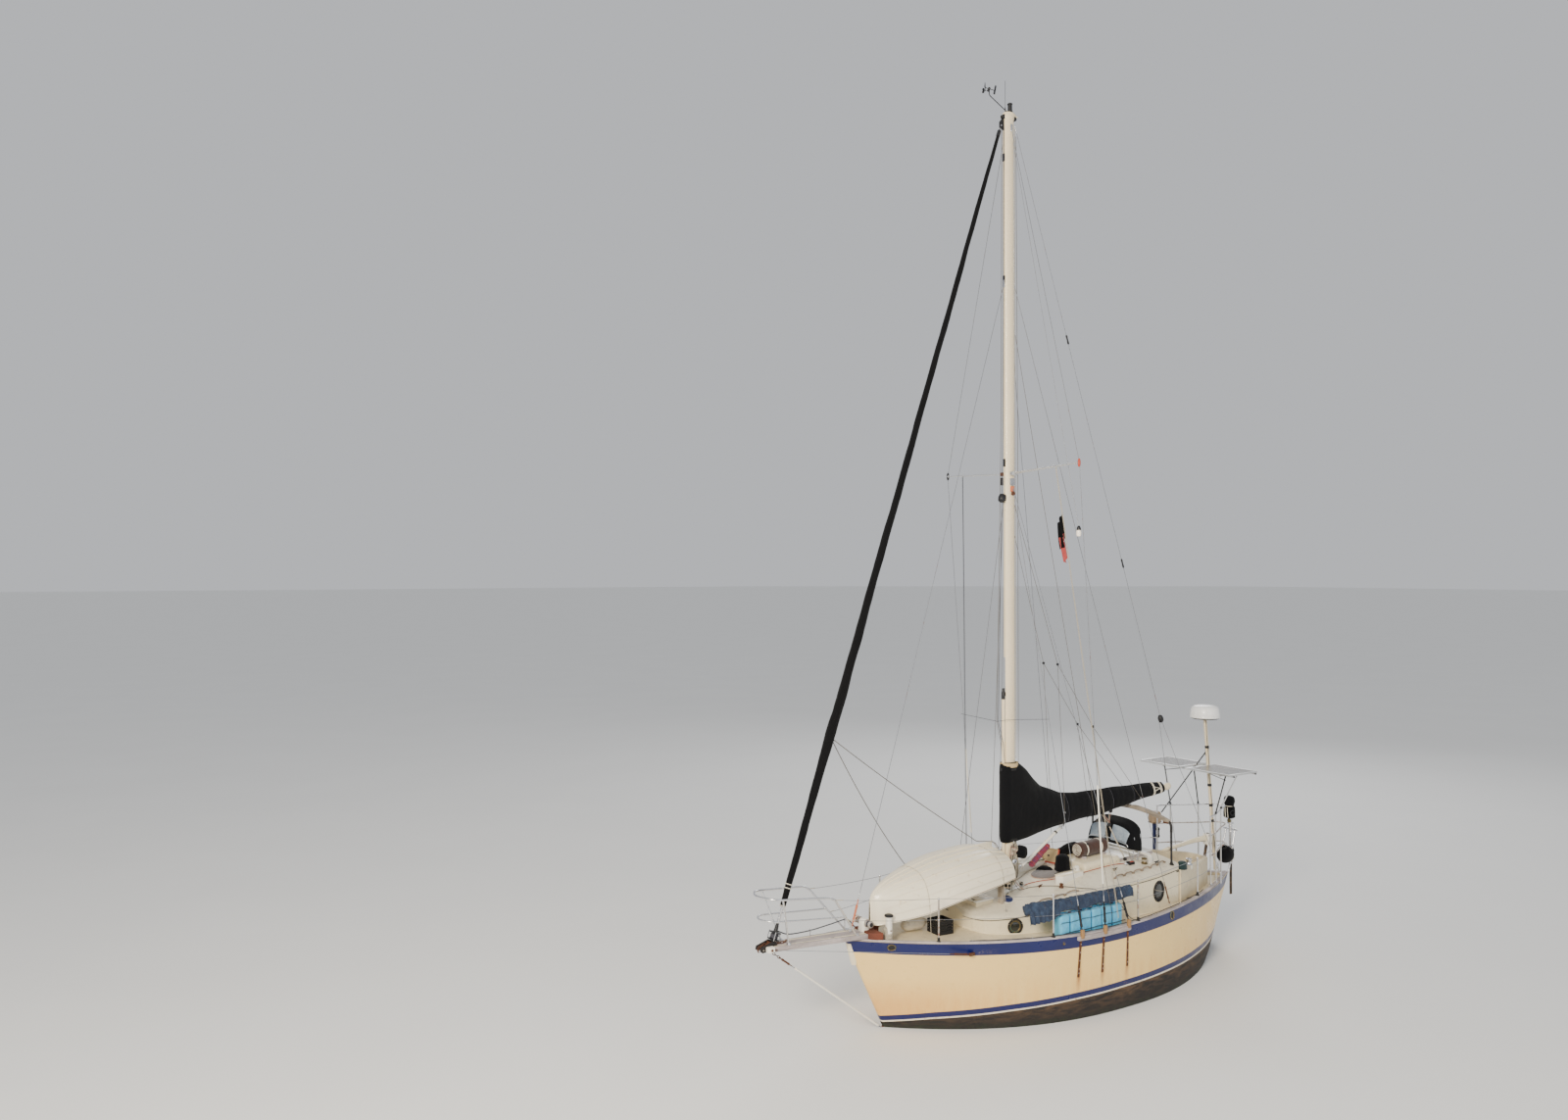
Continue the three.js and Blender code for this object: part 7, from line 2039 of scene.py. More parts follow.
def lashings():
    """thin tan cords over the upturned boat, made fast to the deck"""
    p = Piece("dinghy_lashings", angle=60)
    st = DING
    key = lambda x: table([(a, b) for a, b, _, _ in st], x)
    gun = lambda x: table([(a, c) for a, _, c, _ in st], x)
    hf = lambda x: table([(a, d) for a, _, _, d in st], x)
    curve = [(a, b) for a, b, _ in catmull([(a, b, 0) for a, b in D_SEC], 6)]
    for x in (3.02, 1.70):
        pts = []
        for s, seq in ((-1, reversed(curve)), (1, curve)):
            for a, b in seq:
                pts.append((x, s * (a * hf(x) + 0.012 * a), gun(x) + (key(x) - gun(x)) * b + 0.014))
        ends = []
        for s in (-1, 1):
            yd = s * (hf(x) + 0.10)
            if x > 1.9:
                ends.append((x + 0.05, yd, deck_z(x, yd) + 0.004))
            else:
                ends.append((x + 0.02, s * (trunk_half(x) - 0.10), roof_z(x, trunk_half(x) - 0.10) + 0.006))
        p.tube([ends[0]] + pts + [ends[1]], 0.0036, M["rope"], 6)
        for e in ends:
            p.ring((e[0], e[1], e[2] + 0.010), (1, 0, 0), 0.014, 0.004, M["steel"], 14, 6)
    # cord from the skeg to the mast foot
    p.tube(catmull([(1.44, 0.02, 2.404), (1.36, 0.03, 2.30), (1.22, 0.07, 2.02), (1.15, 0.075, 1.86), (1.10, 0.078, 1.73)], 5), 0.005, M["rope"], 6)
    return p.done()

lashings()

# ------------------------------------------------------------------ boom gallows, traveller arch
def gallows():
    lo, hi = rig.box("boom_gallows")
    p = Piece("gallows_beam", angle=40)
    def zc(y):
        return 2.625 - 0.031 - 0.135 * (abs(y) / 0.85) ** 2
    ys = [lerp(-0.80, 0.80, i / 36) for i in range(37)]
    rings = []
    for y in ys:
        z = zc(y)
        hw, hh = 0.032, 0.034 - 0.004 * (abs(y) / 0.8) ** 2
        dip = 0.018 * math.exp(-((y) / 0.055) ** 2)      # rest for the boom
        sec = [(-hw, -hh), (hw, -hh), (hw, hh - 0.010 - dip), (hw - 0.010, hh - dip), (-hw + 0.010, hh - dip), (-hw, hh - 0.010 - dip)]
        rings.append([(-1.670 + a, y, z + b) for a, b in sec])
    p.loft(rings, M["teak_y"])
    for s in (1, -1):
        # bent bracket from the beam's end to the post, dark with rust
        pts = catmull([(-1.670, s * 0.74, zc(0.74) - 0.004), (-1.670, s * 0.80, zc(0.80) - 0.010), (-1.670, s * 0.832, zc(0.80) - 0.065), (-1.670, s * 0.835, zc(0.80) - 0.16)], 6)
        p.tube(pts, 0.021, M["dark_metal"], 14)
        zb = roof_z(-1.67, 0.80) - 0.04
        p.tube([(-1.670, s * 0.835, zb), (-1.670, s * 0.835, zc(0.80) - 0.10)], 0.0165, M["black"], 16)
        p.lathe([(0.040, 0.0), (0.040, 0.012), (0.024, 0.018), (0.020, 0.05)], (-1.670, s * 0.835, edge_z(-1.67) + 0.004), (0, 0, 1), M["dark_metal"], 20)
        p.box((-1.715, min(s * 0.70, s * 0.80), zc(0.75) - 0.046), (-1.625, max(s * 0.70, s * 0.80), zc(0.75) - 0.020), M["strap"], 0.006)
    return p.done(["boom_gallows"], "wood")

def arch():
    lo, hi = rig.box("traveller_arch")
    p = Piece("traveller_bridge", angle=40)
    x = (lo[0] + hi[0]) / 2
    y1 = hi[1]
    top = hi[2]
    w = (hi[0] - lo[0]) / 2
    zleg = roof_z(x, y1 - 0.02)
    path = [(x, -y1 + 0.024, zleg + 0.002), (x, -y1 + 0.024, top - 0.045), (x, -y1 + 0.10, top - 0.022), (x, 0, top - 0.020), (x, y1 - 0.10, top - 0.022), (x, y1 - 0.024, top - 0.045), (x, y1 - 0.024, zleg + 0.002)]
    pts = rounded(path, 0.05, 4)
    rings = []
    for i, q in enumerate(pts):
        a = pts[max(0, i - 1)]
        b = pts[min(len(pts) - 1, i + 1)]
        d = (b - a).normalized()
        nrm = Vector((1, 0, 0)).cross(d).normalized()
        hw, ht = min(w, 0.030), 0.019
        sec = [(-hw, -ht), (hw, -ht), (hw, ht - 0.006), (hw - 0.006, ht), (-hw + 0.006, ht), (-hw, ht - 0.006)]
        rings.append([q + Vector((1, 0, 0)) * u + nrm * (-v) for u, v in sec])
    p.loft(rings, M["white"])
    p.box((x - 0.012, -y1 + 0.10, top - 0.006), (x + 0.012, y1 - 0.10, top + 0.0), M["alloy"], 0.002)
    p.box((x - 0.024, -0.05, top - 0.008), (x + 0.024, 0.05, top - 0.0005), M["black"], 0.004)
    for s in (1, -1):
        yy = s * (y1 - 0.024)
        p.box((x - 0.045, min(yy - 0.035, yy + 0.035), zleg - 0.006), (x + 0.045, max(yy - 0.035, yy + 0.035), zleg + 0.010), M["white"], 0.005)
    return p.done(["traveller_arch"], "white")

gallows()
arch()

# ------------------------------------------------------------------ soft goods
def fold(x, y, z, k=1.0, seed=0.0):
    """soft creases: ridged noise of two sizes"""
    a = noise.noise(Vector((x * 2.1 + seed, y * 2.1, z * 2.1)))
    b = noise.noise(Vector((x * 6.3, y * 6.3 + seed, z * 6.3)))
    c = noise.noise(Vector((x * 17.0, y * 17.0, z * 17.0 + seed)))
    return k * (0.6 * (1 - 2 * abs(a)) + 0.3 * (1 - 2 * abs(b)) + 0.12 * c - 0.45)

def mesh_area(o):
    bm = bmesh.new()
    bm.from_mesh(o.data)
    a = sum(f.calc_area() for f in bm.faces)
    bm.free()
    return a

def cloth_sheet(o, length, held, rests):
    a = mesh_area(o)
    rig.sheet(o, flat=(round(a / length / 1.03, 3), length), held=held, rests_on=rests)

COVER = [(1.226, 3.560, 2.350, 0.030), (1.190, 3.572, 2.346, 0.082), (1.120, 3.575, 2.345, 0.104), (1.040, 3.575, 2.345, 0.112), (0.947, 3.560, 2.350, 0.114), (0.860, 3.505, 2.358, 0.116), (0.735, 3.420, 2.370, 0.119), (0.415, 3.137, 2.425, 0.138), (0.007, 2.990, 2.478, 0.138), (-0.389, 2.945, 2.520, 0.132), (-0.908, 2.950, 2.545, 0.128), (-1.300, 2.950, 2.600, 0.118), (-1.777, 2.940, 2.672, 0.100), (-2.215, 2.935, 2.722, 0.085), (-2.440, 2.915, 2.745, 0.076)]
W_BOOM = [(0, 0.22), (0.05, 0.60), (0.16, 0.90), (0.32, 1.0), (0.52, 0.93), (0.72, 0.72), (0.88, 0.42), (0.97, 0.16), (1.0, 0.015)]
W_LUFF = [(0, 0.62), (0.02, 0.86), (0.06, 1.0), (0.5, 1.0), (0.93, 1.0), (0.98, 0.86), (1.0, 0.60)]

def sail_cover():
    """one cover from round the mast to the boom's end; it turns at the gooseneck with the boom"""
    p = Piece("sail_cover", angle=60)
    xs = [1.226, 1.222, 1.212, 1.195, 1.17, 1.14, 1.10, 1.06, 1.02, 0.98]
    xs += [0.98 - 3.42 * i / 150 for i in range(1, 151)]
    rows = catmull([(a, b, c) for a, b, c, d in COVER], 1)
    m = 30
    rings = []
    for x in xs:
        t, b, w = (table([(r[0], r[i]) for r in COVER], x) for i in (1, 2, 3))
        if x > 1.10:
            f = min(1, (x - 1.064) / 0.162)
            w = 0.112 * math.sqrt(max(0.0, 1 - f ** 2.4)) + 0.012
        k = min(1, max(0, (x - 0.45) / 0.5))
        k = k * k * (3 - 2 * k)
        sag = 0.0
        ring = []
        for s in (1, -1):
            hs = [0.5 - 0.5 * math.cos(math.pi * i / m) for i in range(m + 1)]
            hs = hs if s > 0 else hs[::-1][1:]
            for h in hs:
                wl, wb = table(W_LUFF, h), table(W_BOOM, h)
                ww = lerp(wb, wl, k) * w
                z = lerp(b, t, h)
                # creases: they fall aft from the mast and gather at the ties
                u = x * 0.55 + (t - z) * 0.9
                amp = (0.0075 if x < 0.9 else 0.006) * math.sin(math.pi * min(1, max(0, h))) ** 0.4
                d = fold(u * 1.2, s * 1.3, (t - z) * 3.1 + x * 0.4, amp * 1.6, 3.0)
                tie = min(abs(x - q) for q in (-0.1, -0.62, -1.14, -1.66, -2.18, -2.36))
                d -= 0.010 * math.exp(-(tie / 0.03) ** 2) * (1 if x < 0.5 else 0)
                d += 0.0012 * math.sin(x * 47 + h * 5) * (1 if x < 0.5 else 0.3)
                y = max(0.004, ww + d)
                ring.append((x, s * y if h > 0 or k > 0 else s * y, z + 0.004 * math.sin(x * 9)))
        rings.append(ring)
    p.loft(rings, M["canvas"], caps=False, closed=False)
    # closed ends
    for ring in (rings[0], rings[-1]):
        p.add(ring, [tuple(range(len(ring)))], M["canvas"])
    o = p.done(["boom_sail_cover", "luff_cover"], "canvas", ride=False)
    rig.blend(o, "hull_body", "boom_body", start=(0.945, 0, 2.45), end=(0.760, 0, 2.45))
    cloth_sheet(o, 3.75, "draped", ["boom", "mast_section"])
    return o

sail_cover()

def cover_trim():
    """brown head band and dark straps round the mast"""
    p = Piece("cover_head_band", angle=50)
    def band(z0, z1, grow, mat):
        rings = []
        for z, g in ((z0, grow * 0.6), (z0 + 0.002, grow), (z1 - 0.002, grow), (z1, grow * 0.6)):
            rings.append([(1.064 + (0.152 + g) * math.copysign(abs(c) ** 0.9, c), (0.106 + g) * math.copysign(abs(q) ** 0.9, q), z) for c, q in circle(40, 1)])
        p.loft(rings, mat, caps=False)
    band(3.500, 3.568, 0.0075, M["tan"])
    band(3.455, 3.486, 0.0070, M["rubber"])
    band(2.375, 2.405, 0.0065, M["rubber"])
    p.box((1.215, -0.016, 3.45), (1.236, 0.016, 3.49), M["black"], 0.004)
    return p.done(slot="canvas")

cover_trim()

def cover_ties():
    p = Piece("cover_ties", "boom_body", 50)
    def ring_at(x, grow=0.006, r=0.0045, mat=M["rope"], slant=0.0):
        t, b, w = (table([(q[0], q[i]) for q in COVER], x) for i in (1, 2, 3))
        pts = []
        for s in (1, -1):
            hs = [i / 14 for i in range(15)]
            hs = hs if s > 0 else hs[::-1]
            for h in hs:
                pts.append((x + slant * (h - 0.5), s * (table(W_BOOM, h) * w * 0.97 + grow), lerp(b - grow, t + grow, h)))
        p.tube(pts, r, mat, 6, wrap=True)
    for x in (-2.16, -2.185, -2.34, -2.365):
        ring_at(x, 0.004, 0.0058, M["sail"])
    for s in (1, -1):     # cross lashing between the two
        p.tube([(-2.18, s * 0.082, 2.80), (-2.26, s * 0.092, 2.83), (-2.35, s * 0.080, 2.86)], 0.0055, M["sail"], 6)
        p.tube([(-2.18, s * 0.078, 2.87), (-2.27, s * 0.082, 2.85), (-2.35, s * 0.078, 2.80)], 0.0055, M["sail"], 6)
    for x in (-0.1, -0.62, -1.14, -1.66):
        ring_at(x, 0.001, 0.0035, M["rope_dark"])
        b = table([(q[0], q[2]) for q in COVER], x)
        p.tube([(x, 0.02, b - 0.004), (x + 0.02, 0.03, b - 0.05)], 0.004, M["rope_dark"], 6)
    # seam tapes along the ridge
    pts = [(x, 0.0, table([(q[0], q[1]) for q in COVER], x) + 0.002 + 0.004 * math.sin(x * 9)) for x in np.linspace(0.70, -2.43, 60)]
    p.tube([(float(a), b, c) for a, b, c in pts], 0.005, M["canvas"], 6)
    return p.done(slot="canvas")

cover_ties()

# spray hood
DODGE = [(-1.108, 2.070, 0.428), (-1.118, 2.140, 0.436), (-1.155, 2.290, 0.452), (-1.225, 2.400, 0.470), (-1.370, 2.455, 0.480)]

def dodger():
    p = Piece("spray_hood", angle=70)
    prof = catmull([(a, b, c) for a, b, c in DODGE], 9)
    m = 48
    rings = []
    for i, (x, t, w) in enumerate(prof):
        ring = []
        f = i / (len(prof) - 1)
        zb = max(roof_z(x, 0.44), 1.72) + 0.012
        zb = lerp(1.975, 2.035, (x + 1.370) / 0.262)
        drop = min(0.30, t - zb - 0.004)
        for j in range(m + 1):
            k = -1 + 2 * j / m
            # superellipse arch from side to side
            q = math.pi / 2 * k
            yy = w * math.copysign(abs(math.sin(q)) ** 0.72, k)
            cz = abs(math.cos(q)) ** 0.62
            z = lerp(t - drop, t, cz) if abs(k) < 1 else t - drop
            if abs(k) > 0.78:      # straight sides going down to the coaming
                g = (abs(k) - 0.78) / 0.22
                zz = lerp(t - drop, t, abs(math.cos(math.pi / 2 * 0.78)) ** 0.62)
                z = lerp(zz, zb, g)
                yy = lerp(w * math.sin(math.pi / 2 * 0.78) ** 0.72, w, min(1, g * 1.6)) * math.copysign(1, k)
            # slack between the hoops
            hoop = min(abs(x + 1.37), abs(x + 1.18), abs(x + 0.97))
            sag = 0.006 * min(1, hoop / 0.08)
            d = fold(x * 2, yy * 1.5, z * 1.5, 0.0045, 9.0)
            ring.append((x, yy * (1 - sag * 0.6 + d), z - sag + d * 0.8))
        rings.append(ring)
    n = m + 1
    o0 = len(p.v)
    sb, sv = p.slot(M["canvas"]), p.slot(M["vinyl"])
    p.v += [q for r in rings for q in r]
    for i in range(len(rings) - 1):
        for j in range(m):
            a = i * n + j
            k = abs(-1 + 2 * (j + 0.5) / m)
            front = 0.06 < k < 0.62 and 2.120 < (prof[i][1] + prof[i + 1][1]) / 2 < 2.360
            sidew = 0.80 < k < 0.95 and -1.30 < (prof[i][0] + prof[i + 1][0]) / 2 < -1.10 and j < m / 2
            p.f.append((a + o0, a + 1 + o0, a + n + 1 + o0, a + n + o0))
            p.m.append(sv if front or sidew else sb)
    ob = p.done(["dodger"], "canvas")
    md = ob.modifiers.new("thickness", "SOLIDIFY")
    md.thickness = 0.0025
    md.offset = -1
    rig.sheet(ob, flat=(round(mesh_area(ob) / 2.05 / 1.02, 3), 2.05), held="stretched", rests_on=["hood_hoops", "sea_hood"])
    q = Piece("hood_hoops", angle=50)
    for xi in (-1.366, -1.235, -1.122):
        t, w = table([(a, b) for a, b, _ in DODGE], xi), table([(a, c) for a, _, c in DODGE], xi)
        pts = []
        for j in range(25):
            k = -1 + 2 * j / 24
            yy = (w - 0.016) * math.copysign(abs(math.sin(math.pi / 2 * k)) ** 0.72, k)
            cz = abs(math.cos(math.pi / 2 * k)) ** 0.62
            low = min(0.30, t - lerp(1.975, 2.035, (xi + 1.370) / 0.262))
            pts.append((xi, yy, lerp(t - low, t - 0.018, cz)))
        zb = roof_z(-1.2, 0.46) + 0.004
        pts = [(-1.20 if xi > -1.3 else -1.30, -w + 0.02, zb)] + pts + [(-1.20 if xi > -1.3 else -1.30, w - 0.02, zb)]
        q.tube(pts, 0.0095, M["steel"], 10)
    for s in (1, -1):
        for xx in (-1.20, -1.30):
            q.box((xx - 0.02, s * 0.462 - 0.012, roof_z(xx, 0.46) - 0.004), (xx + 0.02, s * 0.462 + 0.012, roof_z(xx, 0.46) + 0.022), M["steel"], 0.004)
    q.done(slot="steel")
    # binding tape round the aft edge
    e = Piece("hood_binding", angle=50)
    ring = rings[-1]
    e.tube([Vector(v) + Vector((-0.002, 0, 0.001)) for v in ring], 0.007, M["canvas"], 8)
    e.done(slot="canvas")
    return ob

dodger()

def stern_bag():
    """soft black bag hung on the rail: drawn together at the top, sagging below"""
    p = Piece("stern_bag_cloth", angle=60)
    cx, cy, cz = -3.906, 0.172, 1.532
    n, m = 52, 34
    rings = []
    for i in range(m + 1):
        th = math.pi * (i / m)
        ring = []
        for j in range(n):
            q = 2 * math.pi * j / n
            r = math.sin(th) ** 0.86 if 0 < th < math.pi else 0.0
            z = math.cos(th)
            gather = 0.09 * max(0, z) ** 1.5 * math.sin(q * 11 + 0.6 * math.sin(q * 3))
            k = 1 + gather + fold(math.cos(q) * 0.5, math.sin(q) * 0.5, z * 0.7, 0.06, 4.0) - 0.03
            x_, y_ = 0.188 * r * k * math.cos(q), 0.134 * r * k * math.sin(q)
            zz = 0.144 * (z if z < 0 else z * (1 - 0.12 * math.cos(q * 2))) - 0.012 * (1 - r)
            a = 0.08
            ring.append((cx + x_ * math.cos(a) - y_ * math.sin(a), cy + x_ * math.sin(a) + y_ * math.cos(a), cz + zz))
        rings.append(ring)
    p.loft(rings, M["canvas2"], caps=True)
    o = p.done(["stern_bag"], "canvas")
    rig.padded(o, 0.45)
    q = Piece("stern_bag_straps", angle=50)
    for dy in (-0.05, 0.06):
        pts = [(cx - 0.02 + 0.150 * math.cos(t) * 1.0, cy + dy, cz + 0.150 * math.sin(t)) for t in np.linspace(0.4, math.pi - 0.3, 22)]
        q.tube([(float(a) * 1, float(b), float(c)) for a, b, c in pts], 0.007, M["rubber"], 6)
    # pale triangular flap on the aft port corner
    q.slab([(-4.070, 1.440), (-3.985, 1.425), (-4.035, 1.530)], "y", 0.236, 0.246, M["sail"], 0.003)
    q.tube([(-4.045, 0.23, 1.53), (-4.02, 0.10, 1.70)], 0.005, M["rope"], 6)
    q.tube([(-3.80, 0.17, 1.67), (-3.79, 0.19, 1.70)], 0.006, M["rope_dark"], 6)
    q.done(slot="canvas")

stern_bag()

def roof_roll():
    """brown awning rolled up on the hood, with a pale end and two straps"""
    p = Piece("roof_roll_cloth", angle=60)
    lo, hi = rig.box("roof_roll")
    y0, r = 0.070, 0.124
    zc = lambda x: (lo[2] + hi[2]) / 2 + (x + 0.635) * -0.04
    n, m = 44, 60
    rings = []
    for i in range(m + 1):
        x = lerp(-0.334, -0.936, i / m)
        e = min(i, m - i) / m
        edge = min(1, e / 0.05) ** 0.5
        ring = []
        for j in range(n):
            q = 2 * math.pi * j / n
            ph = ((q + 0.9) / (2 * math.pi)) % 1
            lap = 0.05 * (ph - 0.5)
            strap = min(abs(x + 0.47), abs(x + 0.79))
            k = 0.97 + lap - 0.06 * math.exp(-(strap / 0.022) ** 2) + fold(x * 1.3, math.cos(q) * 0.5, math.sin(q) * 0.5, 0.05, 7.0) - 0.015
            rr = r * k * lerp(0.90, 1.0, edge)
            ring.append((x, y0 + rr * math.cos(q), zc(x) + rr * math.sin(q)))
        rings.append(ring)
    p.loft(rings, M["brown"])
    for x0, s in ((-0.334, 1), (-0.936, -1)):      # rolled end shows as a spiral
        pts = []
        for i in range(90):
            a = i * 0.32
            rr = 0.098 * (1 - i / 96)
            pts.append((x0 + s * 0.002, y0 + rr * math.cos(a), zc(x0) + rr * math.sin(a)))
        p.tube(pts, 0.0042, M["sail"] if s > 0 else M["brown"], 5)
    o = p.done(["roof_roll"], "brown")
    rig.padded(o, 0.6)
    q = Piece("roof_roll_straps", angle=50)
    for x in (-0.47, -0.79):
        rings = []
        for t in np.linspace(-0.72, math.pi + 0.72, 40):
            t = float(t)
            rr = r * 0.955
            c = Vector((x, y0 + rr * math.cos(t), zc(x) + rr * math.sin(t)))
            nn = Vector((0, math.cos(t), math.sin(t)))
            rings.append([c + Vector((-0.012, 0, 0)), c + Vector((0.012, 0, 0)), c + Vector((0.012, 0, 0)) + nn * 0.004, c + Vector((-0.012, 0, 0)) + nn * 0.004])
        q.loft(rings, M["sail"])
        q.box((x - 0.018, y0 + 0.080, zc(x) + 0.095), (x + 0.018, y0 + 0.115, zc(x) + 0.103), M["black"], 0.003, 2, Matrix.Rotation(-0.8, 4, "X"))
    # chafed wedge blocks that keep the roll on the hood
    for x in (-0.42, -0.86):
        q.box((x - 0.03, y0 - 0.10, roof_z(x) + 0.090), (x + 0.03, y0 + 0.10, zc(x) - 0.100), M["cap"], 0.008)
    q.done(slot="canvas")

roof_roll()

# water cans on the side deck, and the tarp bundled over them
CANX, CAN_Y = [1.140, 0.920, 0.700, 0.480, 0.260, 0.040], 1.163

def cans():
    p = Piece("water_can_row", angle=40)
    for i, x in enumerate(CANX):
        random.seed(20 + i)
        dz = random.uniform(-0.004, 0.004)
        zb = max(deck_z(x, CAN_Y - 0.08), deck_z(x, CAN_Y + 0.08)) + 0.004
        y0, y1 = CAN_Y - 0.086, CAN_Y + 0.091
        cx, cy = x, (y0 + y1) / 2
        a, b = 0.0985, (y1 - y0) / 2
        def sec(z, k=1.0, kb=None, e=0.38):
            kb = k if kb is None else kb
            return [(cx + a * k * math.copysign(abs(c) ** e, c), cy + b * kb * math.copysign(abs(q) ** e, q), z) for c, q in circle(40, 1)]
        top = 1.497 + dz
        p.loft([sec(zb, 0.90), sec(zb + 0.006, 0.965), sec(zb + 0.02, 1.0), sec(zb + 0.10, 0.992), sec(top - 0.12, 0.992), sec(top - 0.02, 1.0), sec(top, 0.985), sec(top + 0.022, 0.84, 0.93), sec(top + 0.030, 0.70, 0.84)], M["can"])
        # moulded cross on the outer side, waist grooves
        for s in (1, -1):
            yy = y1 - 0.0015 if s > 0 else y0 + 0.0015
            p.tube([(cx - 0.062, yy, zb + 0.05), (cx + 0.062, yy, top - 0.07)], 0.0052, M["can"], 6)
            p.tube([(cx + 0.062, yy, zb + 0.05), (cx - 0.062, yy, top - 0.07)], 0.0052, M["can"], 6)
            p.tube([(cx - 0.066, yy, zb + 0.045), (cx - 0.066, yy, top - 0.06), (cx + 0.066, yy, top - 0.06), (cx + 0.066, yy, zb + 0.045)], 0.0040, M["can"], 6, wrap=True)
        # handle bridge and cap
        p.tube(rounded([(cx - 0.058, cy, top + 0.022), (cx - 0.050, cy, top + 0.044), (cx + 0.018, cy, top + 0.044), (cx + 0.030, cy, top + 0.022)], 0.02, 4), 0.0105, M["can"], 10)
        p.lathe([(0.024, -0.006), (0.0255, 0.0), (0.0255, 0.012), (0.022, 0.0155), (0.002, 0.016)], (cx + 0.052, cy, top + 0.026), (0.2, 0, 1), M["blue_leg"], 20)
    # dark cords that keep them in
    p.tube([(1.26, CAN_Y + 0.112, 1.275)] + [(x, CAN_Y + 0.099, 1.270 - 0.004 * math.sin(x * 11)) for x in np.linspace(1.22, -0.04, 24).tolist()] + [(-0.10, CAN_Y + 0.10, 1.272)], 0.0055, M["rope_dark"], 6)
    p.tube([(1.26, CAN_Y + 0.112, 1.42)] + [(x, CAN_Y + 0.099, 1.425 - 0.004 * math.sin(x * 14)) for x in np.linspace(1.22, -0.04, 24).tolist()] + [(-0.10, CAN_Y + 0.10, 1.42)], 0.0042, M["rope_dark"], 6)
    return p.done(["water_cans"], "can")

cans()

def tarp():
    """blue sheet bundled along the top of the cans, hanging down at its forward end"""
    p = Piece("deck_tarp", angle=70)
    path = catmull([(1.780, 1.085, 1.655), (1.700, 1.085, 1.660), (1.560, 1.110, 1.664), (1.420, 1.150, 1.666), (1.100, 1.178, 1.668), (0.70, 1.182, 1.664), (0.30, 1.186, 1.666), (-0.06, 1.188, 1.668), (-0.240, 1.190, 1.668), (-0.300, 1.192, 1.668)], 18)
    n = 40
    rings = []
    L = len(path)
    for i, c in enumerate(path):
        f = i / (L - 1)
        env = min(1, f / 0.045, (1 - f) / 0.06) ** 0.55
        ring = []
        for j in range(n):
            q = 2 * math.pi * j / n
            cc, ss = math.cos(q), math.sin(q)
            x, y, z = c
            a = noise.noise(Vector((x * 5.2, cc * 0.9, ss * 0.9)))
            b = noise.noise(Vector((x * 13.0 + 4, cc * 1.8, ss * 1.8)))
            d = noise.noise(Vector((x * 27.0, cc * 3.4, ss * 3.4 + 8)))
            ridge = (1 - 2 * abs(a)) * 0.30 + (1 - 2 * abs(b)) * 0.20 + d * 0.12
            r = 0.066 * (0.86 + ridge) * max(0.05, env)
            wide = 1.0 + 0.25 * noise.noise(Vector((x * 2.0, 3, 1)))
            # flatter underneath, where it lies on the cans
            zz = r * 1.15 * ss
            if ss < 0:
                zz *= 0.85
            ring.append((x + 0.012 * d, y + r * wide * cc, z + zz))
        rings.append(ring)
    p.loft(rings, M["tarp"], caps=True)
    o = p.done(["tarp_roll"], "tarp")
    sd = o.modifiers.new("smooth", "SUBSURF")
    sd.levels = 1
    sd.render_levels = 1
    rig.padded(o, 0.35)
    # a loose flap of the sheet hangs at the forward end and along the inside
    q = Piece("tarp_flap", angle=70)
    rows = []
    nx, nz = 190, 18
    for i in range(nx + 1):
        f = i / nx
        x = lerp(1.775, -0.285, f)
        row = []
        front = max(0.0, (x - 1.26) / 0.515)
        drop = 0.085 + 0.16 * front ** 0.5 + 0.022 * math.sin(x * 9.5) + 0.030 * noise.noise(Vector((x * 4.2, 1, 7)))
        yb = lerp(1.190, 1.100, front ** 1.2)
        for j in range(nz + 1):
            g = j / nz
            wob = (0.010 + 0.014 * front) * math.sin(x * (34 + 12 * front) + g * 2.0) * g + 0.010 * noise.noise(Vector((x * 11, g * 4, 2)))
            y = yb + (0.076 - 0.006 * front) * math.sin(math.pi / 2 * min(1, g * 2.2)) + max(wob, -0.004 if x < 1.26 else -1)
            z = 1.712 - 0.015 * g - 0.03 * min(1, g * 2) - drop * max(0, g - 0.12) + 0.010 * noise.noise(Vector((x * 7, g * 2, 9)))
            row.append((x, y, z))
        rows.append(row)
    q.loft(rows, M["tarp"], caps=False, closed=False)
    ob = q.done(slot="tarp")
    md = ob.modifiers.new("thickness", "SOLIDIFY")
    md.thickness = 0.0015
    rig.sheet(ob, flat=(round(mesh_area(ob) / 2.16 / 1.04, 3), 2.16), held="hung", rests_on=["deck_tarp"])
    # lashing cords round the bundle
    r = Piece("tarp_lashings", angle=50)
    for x in (1.50, 1.02, 0.55, 0.08):
        c = min(path, key=lambda v: abs(v[0] - x))
        r.tube([(x + 0.004 * math.sin(t * 3), c[1] + 0.081 * math.cos(t), c[2] + 0.084 * math.sin(t)) for t in np.linspace(0, 2 * math.pi, 25)[:-1].tolist()], 0.0038, M["rope_dark"], 6, wrap=True)
    r.done()

tarp()

